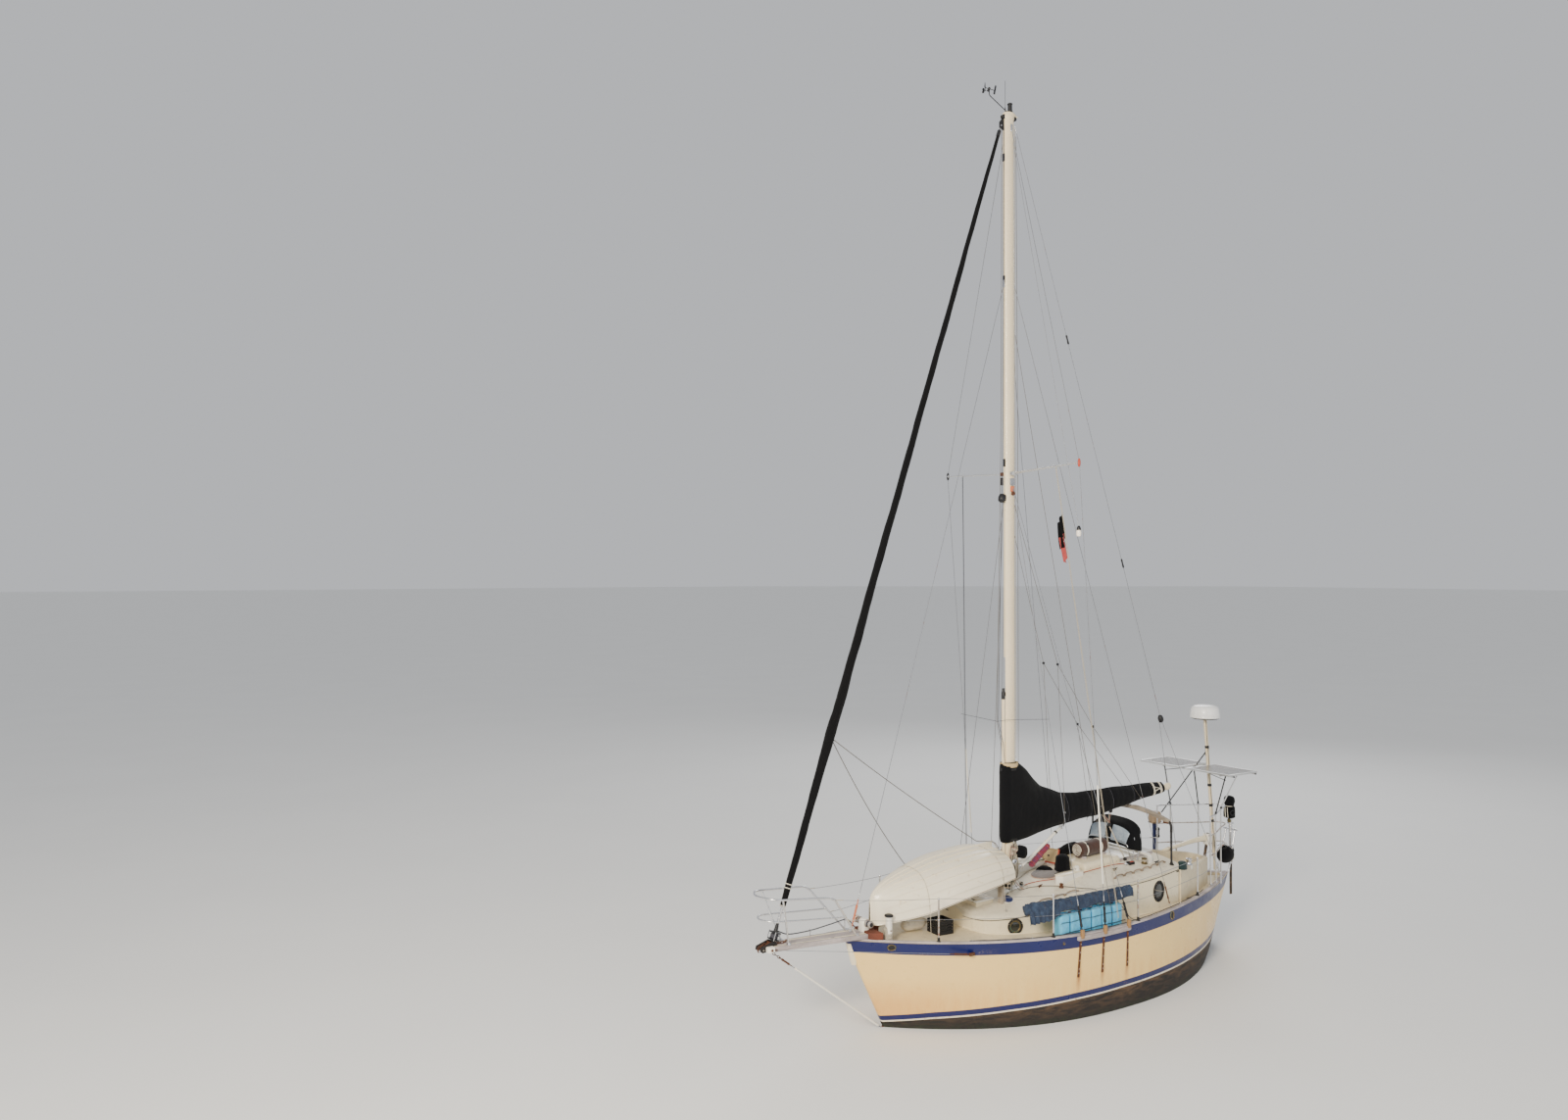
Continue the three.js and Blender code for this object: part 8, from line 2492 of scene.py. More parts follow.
# ------------------------------------------------------------------ topside fittings
def topside_fittings():
    """hawse rings through the blue band, a skin fitting, and the plank behind the shroud straps"""
    p = Piece("hawse_rings", angle=40)
    for s in (1, -1):
        for x, z, rx, rz in ((3.635, 1.256, 0.060, 0.047), (-1.193, 1.157, 0.056, 0.066)):
            y = side_y(x, z)
            dx = (side_y(x + 0.05, z) - side_y(x - 0.05, z)) / 0.1
            dz = (side_y(x, z + 0.03) - side_y(x, z - 0.03)) / 0.06
            nrm = Vector((-dx, 1, -dz)).normalized()
            t1 = Vector((1, dx, 0)).normalized()
            t2 = nrm.cross(t1).normalized()
            def ring_at(k, off):
                out = []
                for c, q in circle(32, 1):
                    v = Vector((x, y, z)) + t1 * (rx * k * c) + t2 * (rz * k * q) + nrm * off
                    out.append((v.x, s * v.y, v.z))
                return out
            p.loft([ring_at(1.12, -0.004), ring_at(1.10, 0.006), ring_at(0.98, 0.014), ring_at(0.84, 0.012), ring_at(0.76, 0.004), ring_at(0.72, 0.001)], M["bronze"], caps=False)
            # black disc filling each ring: painted shade standing for the dark opening
            p.loft([ring_at(0.74, 0.0035), ring_at(0.40, 0.0030), ring_at(0.02, 0.0028)], M["black"], caps=False)
            for a in range(4):
                q = math.pi / 4 + a * math.pi / 2
                v = Vector((x, y, z)) + t1 * (rx * 1.0 * math.cos(q)) + t2 * (rz * 1.0 * math.sin(q)) + nrm * 0.013
                p.lathe([(0.005, -0.002), (0.004, 0.002), (0.001, 0.003)], (v.x, s * v.y, v.z), (nrm.x, s * nrm.y, nrm.z), M["screw"], 8)
        x, z = 1.254, 1.164
        y = side_y(x, z)
        p.lathe([(0.024, -0.003), (0.024, 0.004), (0.016, 0.008), (0.012, 0.003), (0.001, 0.002)], (x, s * y, z), (0, s, 0.1), M["bronze"], 18)
    p.done(slot="iron")
    q = Piece("shroud_planks", angle=40)
    for s in (1, -1):
        rings = []
        for x, k in ((1.030, 0.55), (1.022, 0.85), (1.005, 1.0), (0.75, 1), (0.5, 1), (0.25, 1), (-0.03, 1), (-0.048, 0.85), (-0.056, 0.55)):
            y0 = side_y(x, 1.20)
            zc = 1.203 + 0.006 * (x - 0.5)
            h, t = 0.034 * k, 0.034 * (0.7 + 0.3 * k)
            rings.append([(x, s * (y0 - 0.012), zc - h), (x, s * (y0 + t - 0.006), zc - h), (x, s * (y0 + t), zc - h + 0.007), (x, s * (y0 + t), zc + h - 0.007), (x, s * (y0 + t - 0.006), zc + h), (x, s * (y0 - 0.012), zc + h)])
        q.loft(rings, M["cap"])
        for x in (0.86, 0.62, 0.38, 0.14):
            q.lathe([(0.009, 0), (0.009, 0.003), (0.004, 0.006)], (x, s * (side_y(x, 1.2) + 0.034), 1.203), (0, s, 0), M["screw"], 8)
    q.done(slot="wood")
    r = Piece("rail_lines", angle=50)
    # dark tube in rope finish along the inside of the rail cap
    for s in (1, -1):
        pts = []
        for i in range(90):
            x = lerp(2.62, -2.62, i / 89)
            y = sheer_half(x) - CAP_IN - 0.016
            pts.append((x, s * y, sheer_z(x) + CAP_T * 0.5 + 0.012 + 0.002 * math.sin(x * 21)))
        r.tube(pts, 0.0065, M["rope_dark"], 7)
        # hoops that carry it
        for x in (2.6, 1.73, 0.9, 0.1, -0.72, -1.6, -2.35):
            y = s * (sheer_half(x) - CAP_IN - 0.016)
            z = sheer_z(x) + CAP_T * 0.5 + 0.012
            r.tube([(x, y - s * 0.0, z + 0.012), (x, y + s * 0.022, z + 0.010), (x, y + s * 0.030, z - 0.006)], 0.004, M["steel"], 6)
    r.done()

topside_fittings()

# ------------------------------------------------------------------ round the mast foot
def mast_foot():
    p = Piece("halyard_hanks", angle=60)
    random.seed(11)
    mats = [M["rope"], M["rope_red"], M["rope"], M["rope2"], M["rope"], M["rope_dark"]]
    # hanks hung on the mast's port side, and two on the starboard side
    for s, cx, z1, z0, n, w in ((1, 1.020, 2.31, 1.80, 7, 0.046), (1, 1.110, 2.28, 1.74, 7, 0.042), (1, 1.062, 2.32, 1.90, 5, 0.030), (-1, 1.030, 2.30, 1.84, 6, 0.044), (-1, 1.105, 2.26, 1.82, 5, 0.038)):
        for k in range(n):
            a = w * random.uniform(0.55, 1.1)
            zt, zb = z1 + random.uniform(-0.015, 0.02), z0 + random.uniform(-0.05, 0.05)
            x_ = cx + random.uniform(-0.016, 0.016)
            yy = 0.088 + 0.010 * (k % 4) + random.uniform(0, 0.006)
            pts = []
            for i in range(28):
                q = 2 * math.pi * i / 28
                c, t = math.cos(q), math.sin(q)
                wid = a * (0.35 + 0.65 * (0.5 - 0.5 * t) ** 0.5 if t < 0.98 else 0.35)
                ypos = yy + 0.012 * math.sin(q * 2 + k) * 0.5
                pts.append((x_ + wid * c + 0.004 * math.sin(q * 3 + k), s * ypos, lerp(zb, zt, 0.5 + 0.5 * t)))
            p.tube(pts, 0.0052, mats[(k + int(cx * 100)) % 5], 6, wrap=True)
        # turns round the middle of the hank
        zc = lerp(z0, z1, 0.80)
        for k in range(4):
            p.ring((cx, s * 0.106, zc + 0.011 * k), (0.05, 0, 1), 0.030, 0.0052, mats[(k + 1) % 3], 18, 6)
    # ends that run down to the deck
    for k, (x0, y0, x1, y1) in enumerate(((1.12, 0.10, 1.16, 0.17), (1.05, 0.11, 0.98, 0.22), (0.99, 0.10, 0.86, 0.20), (1.10, 0.10, 1.30, 0.20), (1.04, -0.10, 0.92, -0.20))):
        z = roof_z(x1, y1) + 0.007
        p.tube(catmull([(x0, y0, 1.84), (x0 + 0.01, y0 + 0.01 * (1 if y0 > 0 else -1), 1.76), (lerp(x0, x1, 0.6), lerp(y0, y1, 0.6), z + 0.03), (x1, y1, z)], 6), 0.0052, mats[k % 5], 6)
    p.done()
    q = Piece("mast_foot_fittings", angle=40)
    # collar, halyard blocks, pale box, covered winch on the after side
    q.loft([[(MX + (MA + g) * c, (MB + g) * t, z) for c, t in circle(36, 1)] for g, z in ((0.036, roof_z(MX) - 0.004), (0.036, roof_z(MX) + 0.018), (0.014, roof_z(MX) + 0.026), (0.010, roof_z(MX) + 0.052), (0.002, roof_z(MX) + 0.056))], M["house"])
    for k, (x, y) in enumerate(((1.19, 0.11), (1.19, -0.11), (0.93, 0.12), (0.93, -0.12))):
        z = roof_z(x, y)
        q.box((x - 0.022, y - 0.006, z - 0.002), (x + 0.022, y + 0.006, z + 0.030), M["steel"], 0.003)
        q.lathe([(0.026, -0.012), (0.030, -0.010), (0.030, 0.010), (0.026, 0.012)], (x, y, z + 0.052), (0, 1, 0), M["black"], 20)
        q.lathe([(0.006, -0.016), (0.006, 0.016)], (x, y, z + 0.052), (0, 1, 0), M["steel"], 10)
    q.box((1.225, 0.055, roof_z(1.29, 0.12) - 0.006), (1.345, 0.175, roof_z(1.29, 0.12) + 0.055), M["white"], 0.012, 3)
    cleat(q, (0.74, 0.33, roof_z(0.74, 0.33)), 0.3, 0.14, M["strap"])
    cleat(q, (0.74, -0.33, roof_z(0.74, -0.33)), -0.3, 0.14, M["strap"])
    winch(q, (0.52, 0.56, roof_z(0.52, 0.56)), (0, 0, 1), 0.032, 0.07, M["strap"], M["bronze"])
    for s in (1, -1):      # halyard winches on the mast's after quarters
        d = Vector((-0.50, 0.86 * s, 0))
        at = Vector((MX - 0.085, 0.055 * s, 2.190))
        q.tube([at, at + d * 0.05], 0.045, M["alloy"], 20)
        winch(q, at + d * 0.045, d, 0.044, 0.09, M["bronze"])
    for z, y in ((1.98, 0.066), (2.06, -0.066), (2.30, 0.066), (2.26, -0.066)):
        q.box((MX - 0.05, min(y, y * 1.35), z - 0.008), (MX + 0.05, max(y, y * 1.35), z + 0.008), M["alloy"], 0.005)
    q.done(slot="iron")
    c = Piece("mast_winch_cover", angle=70)
    d = Vector((-0.50, 0.86, 0)).normalized()
    at = Vector((MX - 0.085, 0.055, 2.190))
    dn, sx, ux = basis(d)
    rings = []
    for h, r in ((0.022, 0.088), (0.026, 0.095), (0.05, 0.097), (0.10, 0.096), (0.135, 0.092), (0.155, 0.078), (0.166, 0.05), (0.170, 0.004)):
        rings.append([at + dn * (h + 0.004 * noise.noise(Vector((math.cos(a) * 2, math.sin(a) * 2, h * 20)))) + (sx * math.cos(a) + ux * math.sin(a)) * (r * (1 + 0.05 * math.sin(a * 7 + h * 30) * (1 if h < 0.13 else 0.3))) for a in [2 * math.pi * i / 48 for i in range(48)]])
    c.loft(rings, M["canvas"])
    o = c.done(slot="canvas")
    return o

mast_foot()

def vang_roll():
    """red and blue netting rolled under the strut: it swings with the boom"""
    p = Piece("net_roll", "boom_body", 60)
    a, b = Vector((0.640, 0.010, 1.905)), Vector((0.235, 0.010, 2.195))
    dn, sx, ux = basis(b - a)
    n, m = 26, 70
    rings = []
    L = (b - a).length
    for i in range(m + 1):
        f = i / m
        c = a.lerp(b, f)
        env = min(1, f / 0.05, (1 - f) / 0.05) ** 0.5
        ring = []
        for j in range(n):
            q = 2 * math.pi * j / n
            r = 0.040 * (0.35 + 0.65 * env) * (1 + 0.07 * math.sin(f * 95) + 0.14 * noise.noise(Vector((f * 9, math.cos(q) * 1.3, math.sin(q) * 1.3))))
            ring.append(c + sx * (r * 1.25 * math.cos(q)) + ux * (r * math.sin(q)))
        rings.append(ring)
    p.loft(rings, M["red_net"])
    o = p.done(slot="canvas")
    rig.padded(o, 0.4)
    q = Piece("net_roll_ties", "boom_body", 50)
    for f in (0.12, 0.5, 0.88):
        c = a.lerp(b, f)
        q.tube([c + sx * (0.056 * math.cos(t)) + ux * (0.047 * math.sin(t)) for t in [2 * math.pi * i / 20 for i in range(20)]], 0.0045, M["red"], 6, wrap=True)
        top = Vector((c.x + 0.02, 0, c.z + 0.105))
        q.tube([c + ux * 0.04, c.lerp(top, 0.6) + sx * 0.012, top], 0.004, M["rope_red"], 6)
    q.done()

vang_roll()

def roof_clutter():
    p = Piece("covered_roof_winch", angle=70)
    # soft black bag over a winch, in front of the hood
    cx, cy = 0.015, 0.085
    base = roof_z(cx, cy) - 0.004
    rings = []
    for i in range(27):
        f = i / 26
        z = base + 0.262 * f
        r = 0.112 * (1.0 - 0.14 * f) * (1 - max(0, (f - 0.72) / 0.28) ** 3.2) + 0.002
        ring = []
        for j in range(44):
            q = 2 * math.pi * j / 44
            k = 1 + 0.05 * math.sin(q * 6 + f * 3) * (1 - f) + 0.06 * noise.noise(Vector((math.cos(q) * 1.5, math.sin(q) * 1.5, f * 4)))
            ring.append((cx + r * k * 1.08 * math.cos(q) - 0.012 * f, cy + r * k * math.sin(q), z))
        rings.append(ring)
    p.loft(rings, M["canvas"])
    o = p.done(slot="canvas")
    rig.padded(o, 0.5)
    # low black bundle forward of it
    b = Piece("black_bundle", angle=70)
    rings = []
    for i in range(41):
        f = i / 40
        x, y = lerp(0.145, 0.285, f), lerp(0.02, -0.22, f)
        env = max(0.03, math.sin(math.pi * f)) ** 0.45
        ring = []
        for j in range(30):
            q = 2 * math.pi * j / 30
            r = 0.052 * env * (1 + 0.16 * noise.noise(Vector((f * 6, math.cos(q) * 1.4, math.sin(q) * 1.4))) + 0.05 * math.sin(q * 5 + f * 9))
            ring.append((x + r * 1.1 * math.cos(q) * 0.86, y + r * 1.1 * math.cos(q) * 0.5, roof_z(x, y) + 0.040 * env + r * 0.85 * math.sin(q) if math.sin(q) > -0.9 else roof_z(x, y) + 0.003))
        rings.append(ring)
    b.loft(rings, M["canvas"])
    ob = b.done(slot="canvas")
    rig.padded(ob, 0.4)
    # dark sail bundle on the starboard side of the hood
    s = Piece("dark_sail_bundle", angle=70)
    rings = []
    for i in range(51):
        f = i / 50
        x, y = lerp(-0.215, -0.830, f), -0.255 + 0.02 * math.sin(f * 5)
        env = max(0.03, math.sin(math.pi * f)) ** 0.40
        ring = []
        zc = roof_z(x) + 0.088 + 0.082 * env
        for j in range(34):
            q = 2 * math.pi * j / 34
            r = 0.092 * env * (1 + 0.20 * noise.noise(Vector((f * 7, math.cos(q) * 1.3, math.sin(q) * 1.3 + 5))) + 0.05 * math.sin(q * 6 + f * 11))
            ring.append((x, y + r * 1.05 * math.cos(q), max(roof_z(x) + 0.0895 - 0.02 * (1 if abs(y + r * math.cos(q)) > 0.33 else 0), zc + r * 0.95 * math.sin(q))))
        rings.append(ring)
    s.loft(rings, M["canvas2"])
    os_ = s.done(slot="canvas")
    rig.padded(os_, 0.4)
    # grey round cover, flat on the roof behind the mast
    g = Piece("round_grey_cover", angle=60)
    cx, cy = 0.330, 0.010
    rings = []
    for r, h in ((0.196, 0.002), (0.205, 0.008), (0.203, 0.018), (0.188, 0.025), (0.12, 0.029), (0.05, 0.031), (0.002, 0.031)):
        rings.append([(cx + r * c, cy + r * q, roof_z(cx + r * c, cy + r * q) + h) for c, q in circle(48, 1)])
    g.loft(rings, M["grey_cover"])
    g.tube([(cx + 0.207 * c, cy + 0.207 * q, roof_z(cx + 0.207 * c, cy + 0.207 * q) + 0.008) for c, q in circle(48, 1)], 0.005, M["rope_red"], 6, wrap=True)
    g.done(slot="canvas")
    # tan tray on edge with red-brown edges, leaning on the hood
    t = Piece("tan_tray", angle=40)
    a, bb = Vector((-0.045, -0.400, 0)), Vector((-0.125, -0.150, 0))
    u = (bb - a).normalized()
    w = (bb - a).length
    zb = max(roof_z(a.x, a.y), roof_z(bb.x, bb.y)) + 0.004
    back = Vector((-u.y, u.x, 0)) * -1
    if back.x > 0:
        back = -back
    up = (Vector((0, 0, 1)) + back * 0.30).normalized()
    nn = u.cross(up).normalized()
    if nn.x < 0:
        nn = -nn
    o0 = Vector((a.x, a.y, zb)) + nn * 0.02
    H = 0.225
    def corner(i, j, d):
        return o0 + u * i + up * j + nn * d
    def plate(i0, i1, j0, j1, d0, d1, mat):
        v = [corner(i, j, d) for d in (d0, d1) for i, j in ((i0, j0), (i1, j0), (i1, j1), (i0, j1))]
        t.add([tuple(q) for q in v], [(0, 3, 2, 1), (4, 5, 6, 7), (0, 1, 5, 4), (1, 2, 6, 5), (2, 3, 7, 6), (3, 0, 4, 7)], mat)
    plate(0.0, w, 0.0, H, -0.010, 0.0, M["tan"])
    plate(0.0, w, H, H + 0.012, -0.012, 0.030, M["tan"])
    plate(0.0, w, -0.004, 0.020, -0.012, 0.030, M["red"])
    plate(-0.012, 0.0, 0.0, H + 0.012, -0.012, 0.030, M["tan"])
    plate(w, w + 0.012, 0.0, H + 0.012, -0.012, 0.030, M["red"])
    plate(w * 0.30, w * 0.42, H * 0.45, H * 0.56, 0.0, 0.008, M["black"])
    t.done(slot="wood")

roof_clutter()

def free_rope(name, pts, r, mat, far_end="object", lay="loose"):
    """one free line along its route: its length is the route's"""
    pts = [Vector(q) for q in pts]
    p = Piece(name, angle=60)
    p.tube(pts, r, M[mat], 8)
    o = p.done()
    length = sum((b - a).length for a, b in zip(pts, pts[1:]))
    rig.cord(o, tuple(pts[0]), round(length, 3), 2 * r, far_end, "limp", lay, path=[tuple(q) for q in pts])
    return o

def on_deck(x, y, h=0.007):
    return (x, y, deck_z(x, y) + h)

def on_roof(x, y, h=0.007):
    return (x, y, roof_z(x, y) + h)

def running_lines():
    """lines that lie on the cabin top and side deck"""
    # red-flecked line from the mast foot round the grey cover to the clutches by the hood
    free_rope("red_deck_line", catmull([on_roof(0.93, 0.135, 0.012), on_roof(0.78, 0.115), on_roof(0.60, 0.16), on_roof(0.45, 0.240), on_roof(0.28, 0.300), on_roof(0.05, 0.316), on_roof(-0.15, 0.400), on_roof(-0.45, 0.412), on_roof(-0.75, 0.418), on_roof(-0.92, 0.45), on_roof(-1.03, 0.50, 0.012)], 6), 0.006, "red_line")
    free_rope("starboard_deck_line", catmull([on_roof(0.93, -0.135, 0.012), on_roof(0.70, -0.17), on_roof(0.40, -0.285), on_roof(0.05, -0.312), on_roof(-0.15, -0.400), on_roof(-0.45, -0.412), on_roof(-0.80, -0.425), on_roof(-1.03, -0.50, 0.012)], 7), 0.006, "rope")
    # headsail sheets: from the clew, to the mast foot and to the starboard deck, then aft
    d = STAY_T - STAY_F
    clew = STAY_F + d * ((4.17 - STAY_F.z) / d.z) + Vector((-0.070, 0.03, 0))
    def sagged(a, b, k, n=20):
        a, b = Vector(a), Vector(b)
        return [a.lerp(b, i / n) - Vector((0, 0, 4 * k * (i / n) * (1 - i / n))) for i in range(n + 1)]
    air = sagged(clew, (1.80, 0.085, 2.455), 0.04, 22)
    rest = [air[-2], air[-1], Vector((1.62, 0.093, 2.432)), Vector((1.47, 0.105, 2.395)), Vector((1.385, 0.118, 2.28)), Vector((1.27, 0.140, 2.02)), Vector((1.16, 0.165, 1.82)), Vector(on_roof(1.05, 0.20, 0.012)), Vector(on_roof(0.88, 0.235)), Vector(on_roof(0.70, 0.330)), Vector(on_roof(0.55, 0.47)), Vector(on_roof(0.42, 0.63)), Vector(on_roof(0.30, 0.79)), Vector((0.19, 0.915, roof_z(0.19, 0.90) + 0.010)), Vector((0.10, 1.00, roof_z(0.10, 0.90) - 0.07)), Vector((-0.02, 1.055, 1.60)), Vector((-0.20, 1.085, 1.44)), Vector(on_deck(-0.42, 1.115, 0.03)), Vector(on_deck(-0.70, 1.14)), Vector(on_deck(-1.05, 1.145)), Vector(on_deck(-1.40, 1.070)), Vector(on_deck(-1.80, 0.955)), Vector(on_deck(-2.12, 0.825, 0.020))]
    free_rope("headsail_sheet_port", air[:-1] + [q for q in catmull([tuple(v) for v in rest], 5)][1:], 0.006, "rope2")
    two = sagged(clew + Vector((0, -0.06, 0)), (2.55, -0.66, 2.00), 0.10, 18)
    rest = [two[-2], two[-1], Vector((2.10, -0.93, 1.60)), Vector((1.90, -1.05, 1.40)), Vector(on_deck(1.72, -1.115, 0.016)), Vector(on_deck(1.45, -1.15)), Vector(on_deck(1.0, -1.18)), Vector(on_deck(0.4, -1.20)), Vector(on_deck(-0.5, -1.18)), Vector(on_deck(-1.4, -1.07)), Vector(on_deck(-1.8, -0.955)), Vector(on_deck(-2.12, -0.825, 0.020))]
    free_rope("headsail_sheet_starboard", two[:-1] + [q for q in catmull([tuple(v) for v in rest], 6)][1:], 0.006, "rope2")
    q = Piece("sheet_cleats", angle=50)
    q.ring(clew, (0, 1, 0), 0.018, 0.004, M["steel"], 14, 6)
    for s in (1, -1):
        cleat(q, (-2.17, s * 0.808, deck_z(-2.17, 0.808) - 0.002), -0.35 * s, 0.14, M["bronze"])
        q.box((0.905, s * 0.135 - 0.016, roof_z(0.93, 0.135) - 0.006), (0.955, s * 0.135 + 0.016, roof_z(0.93, 0.135) + 0.030), M["steel"], 0.004)
        q.box((-1.075, s * 0.50 - 0.020, roof_z(-1.05, 0.5) - 0.006), (-1.015, s * 0.50 + 0.020, roof_z(-1.05, 0.5) + 0.034), M["black"], 0.005)
    q.done(slot="iron")
    # furling line: from the drum along the platform to the foredeck and aft
    pts = catmull([(5.250, -0.045, 1.640), (5.05, -0.075, 1.560), (4.70, -0.090, 1.548), (4.35, -0.100, 1.575), (4.10, -0.110, 1.598), (4.00, -0.125, 1.555), (3.92, -0.165, 1.480), (3.80, -0.215, deck_z(3.80, -0.215) + 0.115)] + [(x, -(sheer_half(x) - CAP_IN - g), deck_z(x, sheer_half(x) - CAP_IN - g) + dz) for x, g, dz in ((3.62, 0.060, 0.040), (3.35, 0.075, 0.012), (3.05, 0.085, 0.012), (2.75, 0.090, 0.012), (2.45, 0.095, 0.018))], 7)
    free_rope("furling_line", pts, 0.0085, "rope_dark")
    r = Piece("furling_leads", angle=60)
    for x, y, z in ((4.70, -0.090, 1.548), (4.10, -0.110, 1.598)):
        r.ring((x, y, z), (1, 0, 0), 0.020, 0.005, M["steel"], 16, 6)
        r.tube([(x, y, z - 0.018), (x, y, 1.44)], 0.006, M["steel"], 8)
    y = sheer_half(2.42) - CAP_IN - 0.095
    cleat(r, (2.42, -y, deck_z(2.42, y) - 0.002), 0.3, 0.14, M["steel"])
    r.done(slot="iron")

running_lines()

# ------------------------------------------------------------------ standing and running rigging aloft
def aloft():
    p = Piece("halyards", angle=60)
    th = 0.0042
    # two halyards down the front of the mast, pulled forward low down
    for y, m in ((0.022, M["rope_dark"]), (-0.022, M["rope2"])):
        p.tube([(MX + MA + 0.020, y, 13.46), (MX + MA + 0.045, y, 9.0), (1.300, y * 0.6, 4.215), (1.205, y, 3.85), (1.190, y, 3.60)], th, m, 6)
    # main halyard and topping line down the after side, one to each side
    p.tube([(MX - MA - 0.020, 0.020, 13.46), (MX - MA - 0.018, 0.020, 8.0), (MX - MA - 0.014, 0.030, 3.62)], th, M["rope"], 6)
    p.tube([(MX - 0.09, 0.075, 13.30), (MX - 0.10, 0.090, 8.0), (MX - 0.09, 0.100, 2.40)], th, M["rope2"], 6)
    p.tube([(MX - 0.09, -0.075, 13.30), (MX - 0.10, -0.090, 8.0), (MX - 0.09, -0.100, 2.40)], th, M["rope"], 6)
    # thin line that holds the halyards off, seen across the mast
    p.tube([(1.262, -0.895, 4.235), (1.30, -0.01, 4.215), (1.17, 0.085, 4.24), (0.700, 0.497, 4.262)], 0.0035, M["rope_dark"], 6)
    # runner to the port and starboard quarters
    for s in (1, -1):
        a, b = Vector((1.000, s * 0.072, 10.960)), Vector((-1.150, s * 1.235, 1.300))
        d = (b - a).normalized()
        p.rod(a, b - d * 0.42, 0.0042, M["wire"], 6)
        turnbuckle(p, b - d * 0.05, b - d * 0.40, M["strap"], 0.011)
        p.ring(b - d * 0.03, (1, 0, 0), 0.018, 0.005, M["steel"], 14, 6)
        a2, b2 = Vector((0.985, s * 0.070, 10.20)), Vector((0.250, s * 1.340, 1.33))
        p.tube([a2, b2], 0.0036, M["rope2"], 6)
    # flag halyards below the spreaders
    for s, y, foot_, m in ((1, 1.000, Vector((0.132, 1.345, 1.36)), M["rope"]), (-1, -1.080, Vector((0.760, -1.335, 1.40)), M["rope_dark"])):
        top = Vector((MX, y, 8.075))
        p.tube([top, foot_], 0.0038, m, 6)
        p.tube([top + Vector((0.012, 0, 0)), top.lerp(foot_, 0.165) + Vector((0.010, 0, 0)), foot_ + Vector((0.02, 0, 0))], 0.0030, m, 6)
        p.ring(top, (0, 1, 0), 0.012, 0.004, M["steel"], 12, 6)
    # hoist for the little lamp
    p.tube([(1.020, 0.070, 13.20), (1.006, 1.392, 7.190)], 0.0030, M["wire"], 6)
    p.done()
    # lamp, deck light, blocks
    q = Piece("aloft_fittings", angle=40)
    c = Vector((1.005, 1.396, 7.080))
    q.lathe([(0.010, 0.11), (0.020, 0.10), (0.030, 0.075), (0.032, 0.045)], c, (0, 0, 1), M["black"], 20)
    q.lathe([(0.030, 0.045), (0.036, 0.02), (0.036, -0.02), (0.026, -0.042), (0.004, -0.05)], c, (0, 0, 1), M["lamp"], 20)
    # black lamp on the front of the mast
    at = Vector((MX + MA, 0.0, 7.665))
    q.box((MX + MA - 0.012, -0.03, 7.62), (MX + MA + 0.02, 0.03, 7.71), M["black"], 0.006)
    q.lathe([(0.045, -0.052), (0.056, -0.045), (0.060, 0.0), (0.052, 0.05), (0.036, 0.064), (0.002, 0.068)], (MX + MA + 0.050, 0.0, 7.660), (0.55, 0.25, -0.8), M["black"], 26)
    q.lathe([(0.050, -0.048), (0.002, -0.046)], (MX + MA + 0.050, 0.0, 7.660), (0.55, 0.25, -0.8), M["glass"], 24)
    # orange cleat and pale blocks under the spreader roots
    q.box((MX - 0.035, 0.060, 7.76), (MX + 0.035, 0.088, 7.845), M["orange"], 0.008)
    q.lathe([(0.020, -0.014), (0.030, -0.012), (0.030, 0.012), (0.020, 0.014)], (MX + 0.0, 0.095, 7.73), (0, 1, 0), M["strap"], 20)
    q.box((MX + 0.095, -0.055, 7.86), (MX + 0.135, -0.025, 7.98), M["black"], 0.006)
    q.done(slot="iron")
    # lazy jacks: from the mast to a block on each side of the sail, then three legs to the boom
    for s in (1, -1):
        r = Piece("lazy_jack_" + ("port" if s > 0 else "starboard"), angle=60)
        blk = Vector((0.175, s * 0.155, 5.055))
        up = Vector((MX - 0.04, s * 0.075, 7.56))
        r.tube([up, blk], 0.0034, M["rope2"], 6)
        b2 = Vector((-0.60, s * 0.165, 4.02))
        legs = ((blk, Vector((0.02, s * 0.150, 2.70))), (blk, b2), (b2, Vector((-0.82, s * 0.150, 2.70))), (b2, Vector((-1.78, s * 0.122, 2.735))))
        for a, b in legs:
            r.tube([a.lerp(b, i / 6) for i in range(7)], 0.0034, M["rope2"], 6)
        for c in (blk, b2):
            r.lathe([(0.014, -0.011), (0.021, -0.009), (0.021, 0.009), (0.014, 0.011)], c, (0, 1, 0), M["black"], 16)
        for b in (Vector((0.02, s * 0.150, 2.70)), Vector((-0.82, s * 0.150, 2.70)), Vector((-1.78, s * 0.122, 2.735))):
            r.ring(b, (1, 0, 0), 0.014, 0.0045, M["steel"], 12, 6)
            bz = boom_z(b.x)
            r.tube([b - Vector((0, 0, 0.012)), Vector((b.x, b.y * 0.86, bz - 0.02)), Vector((b.x, s * 0.046, bz - 0.035))], 0.0034, M["rope2"], 6)
        o = r.done(ride=False)
        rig.blend(o, "hull_body", "boom_body", start=(0.95, 0, 7.4), end=(0.35, 0, 3.4))
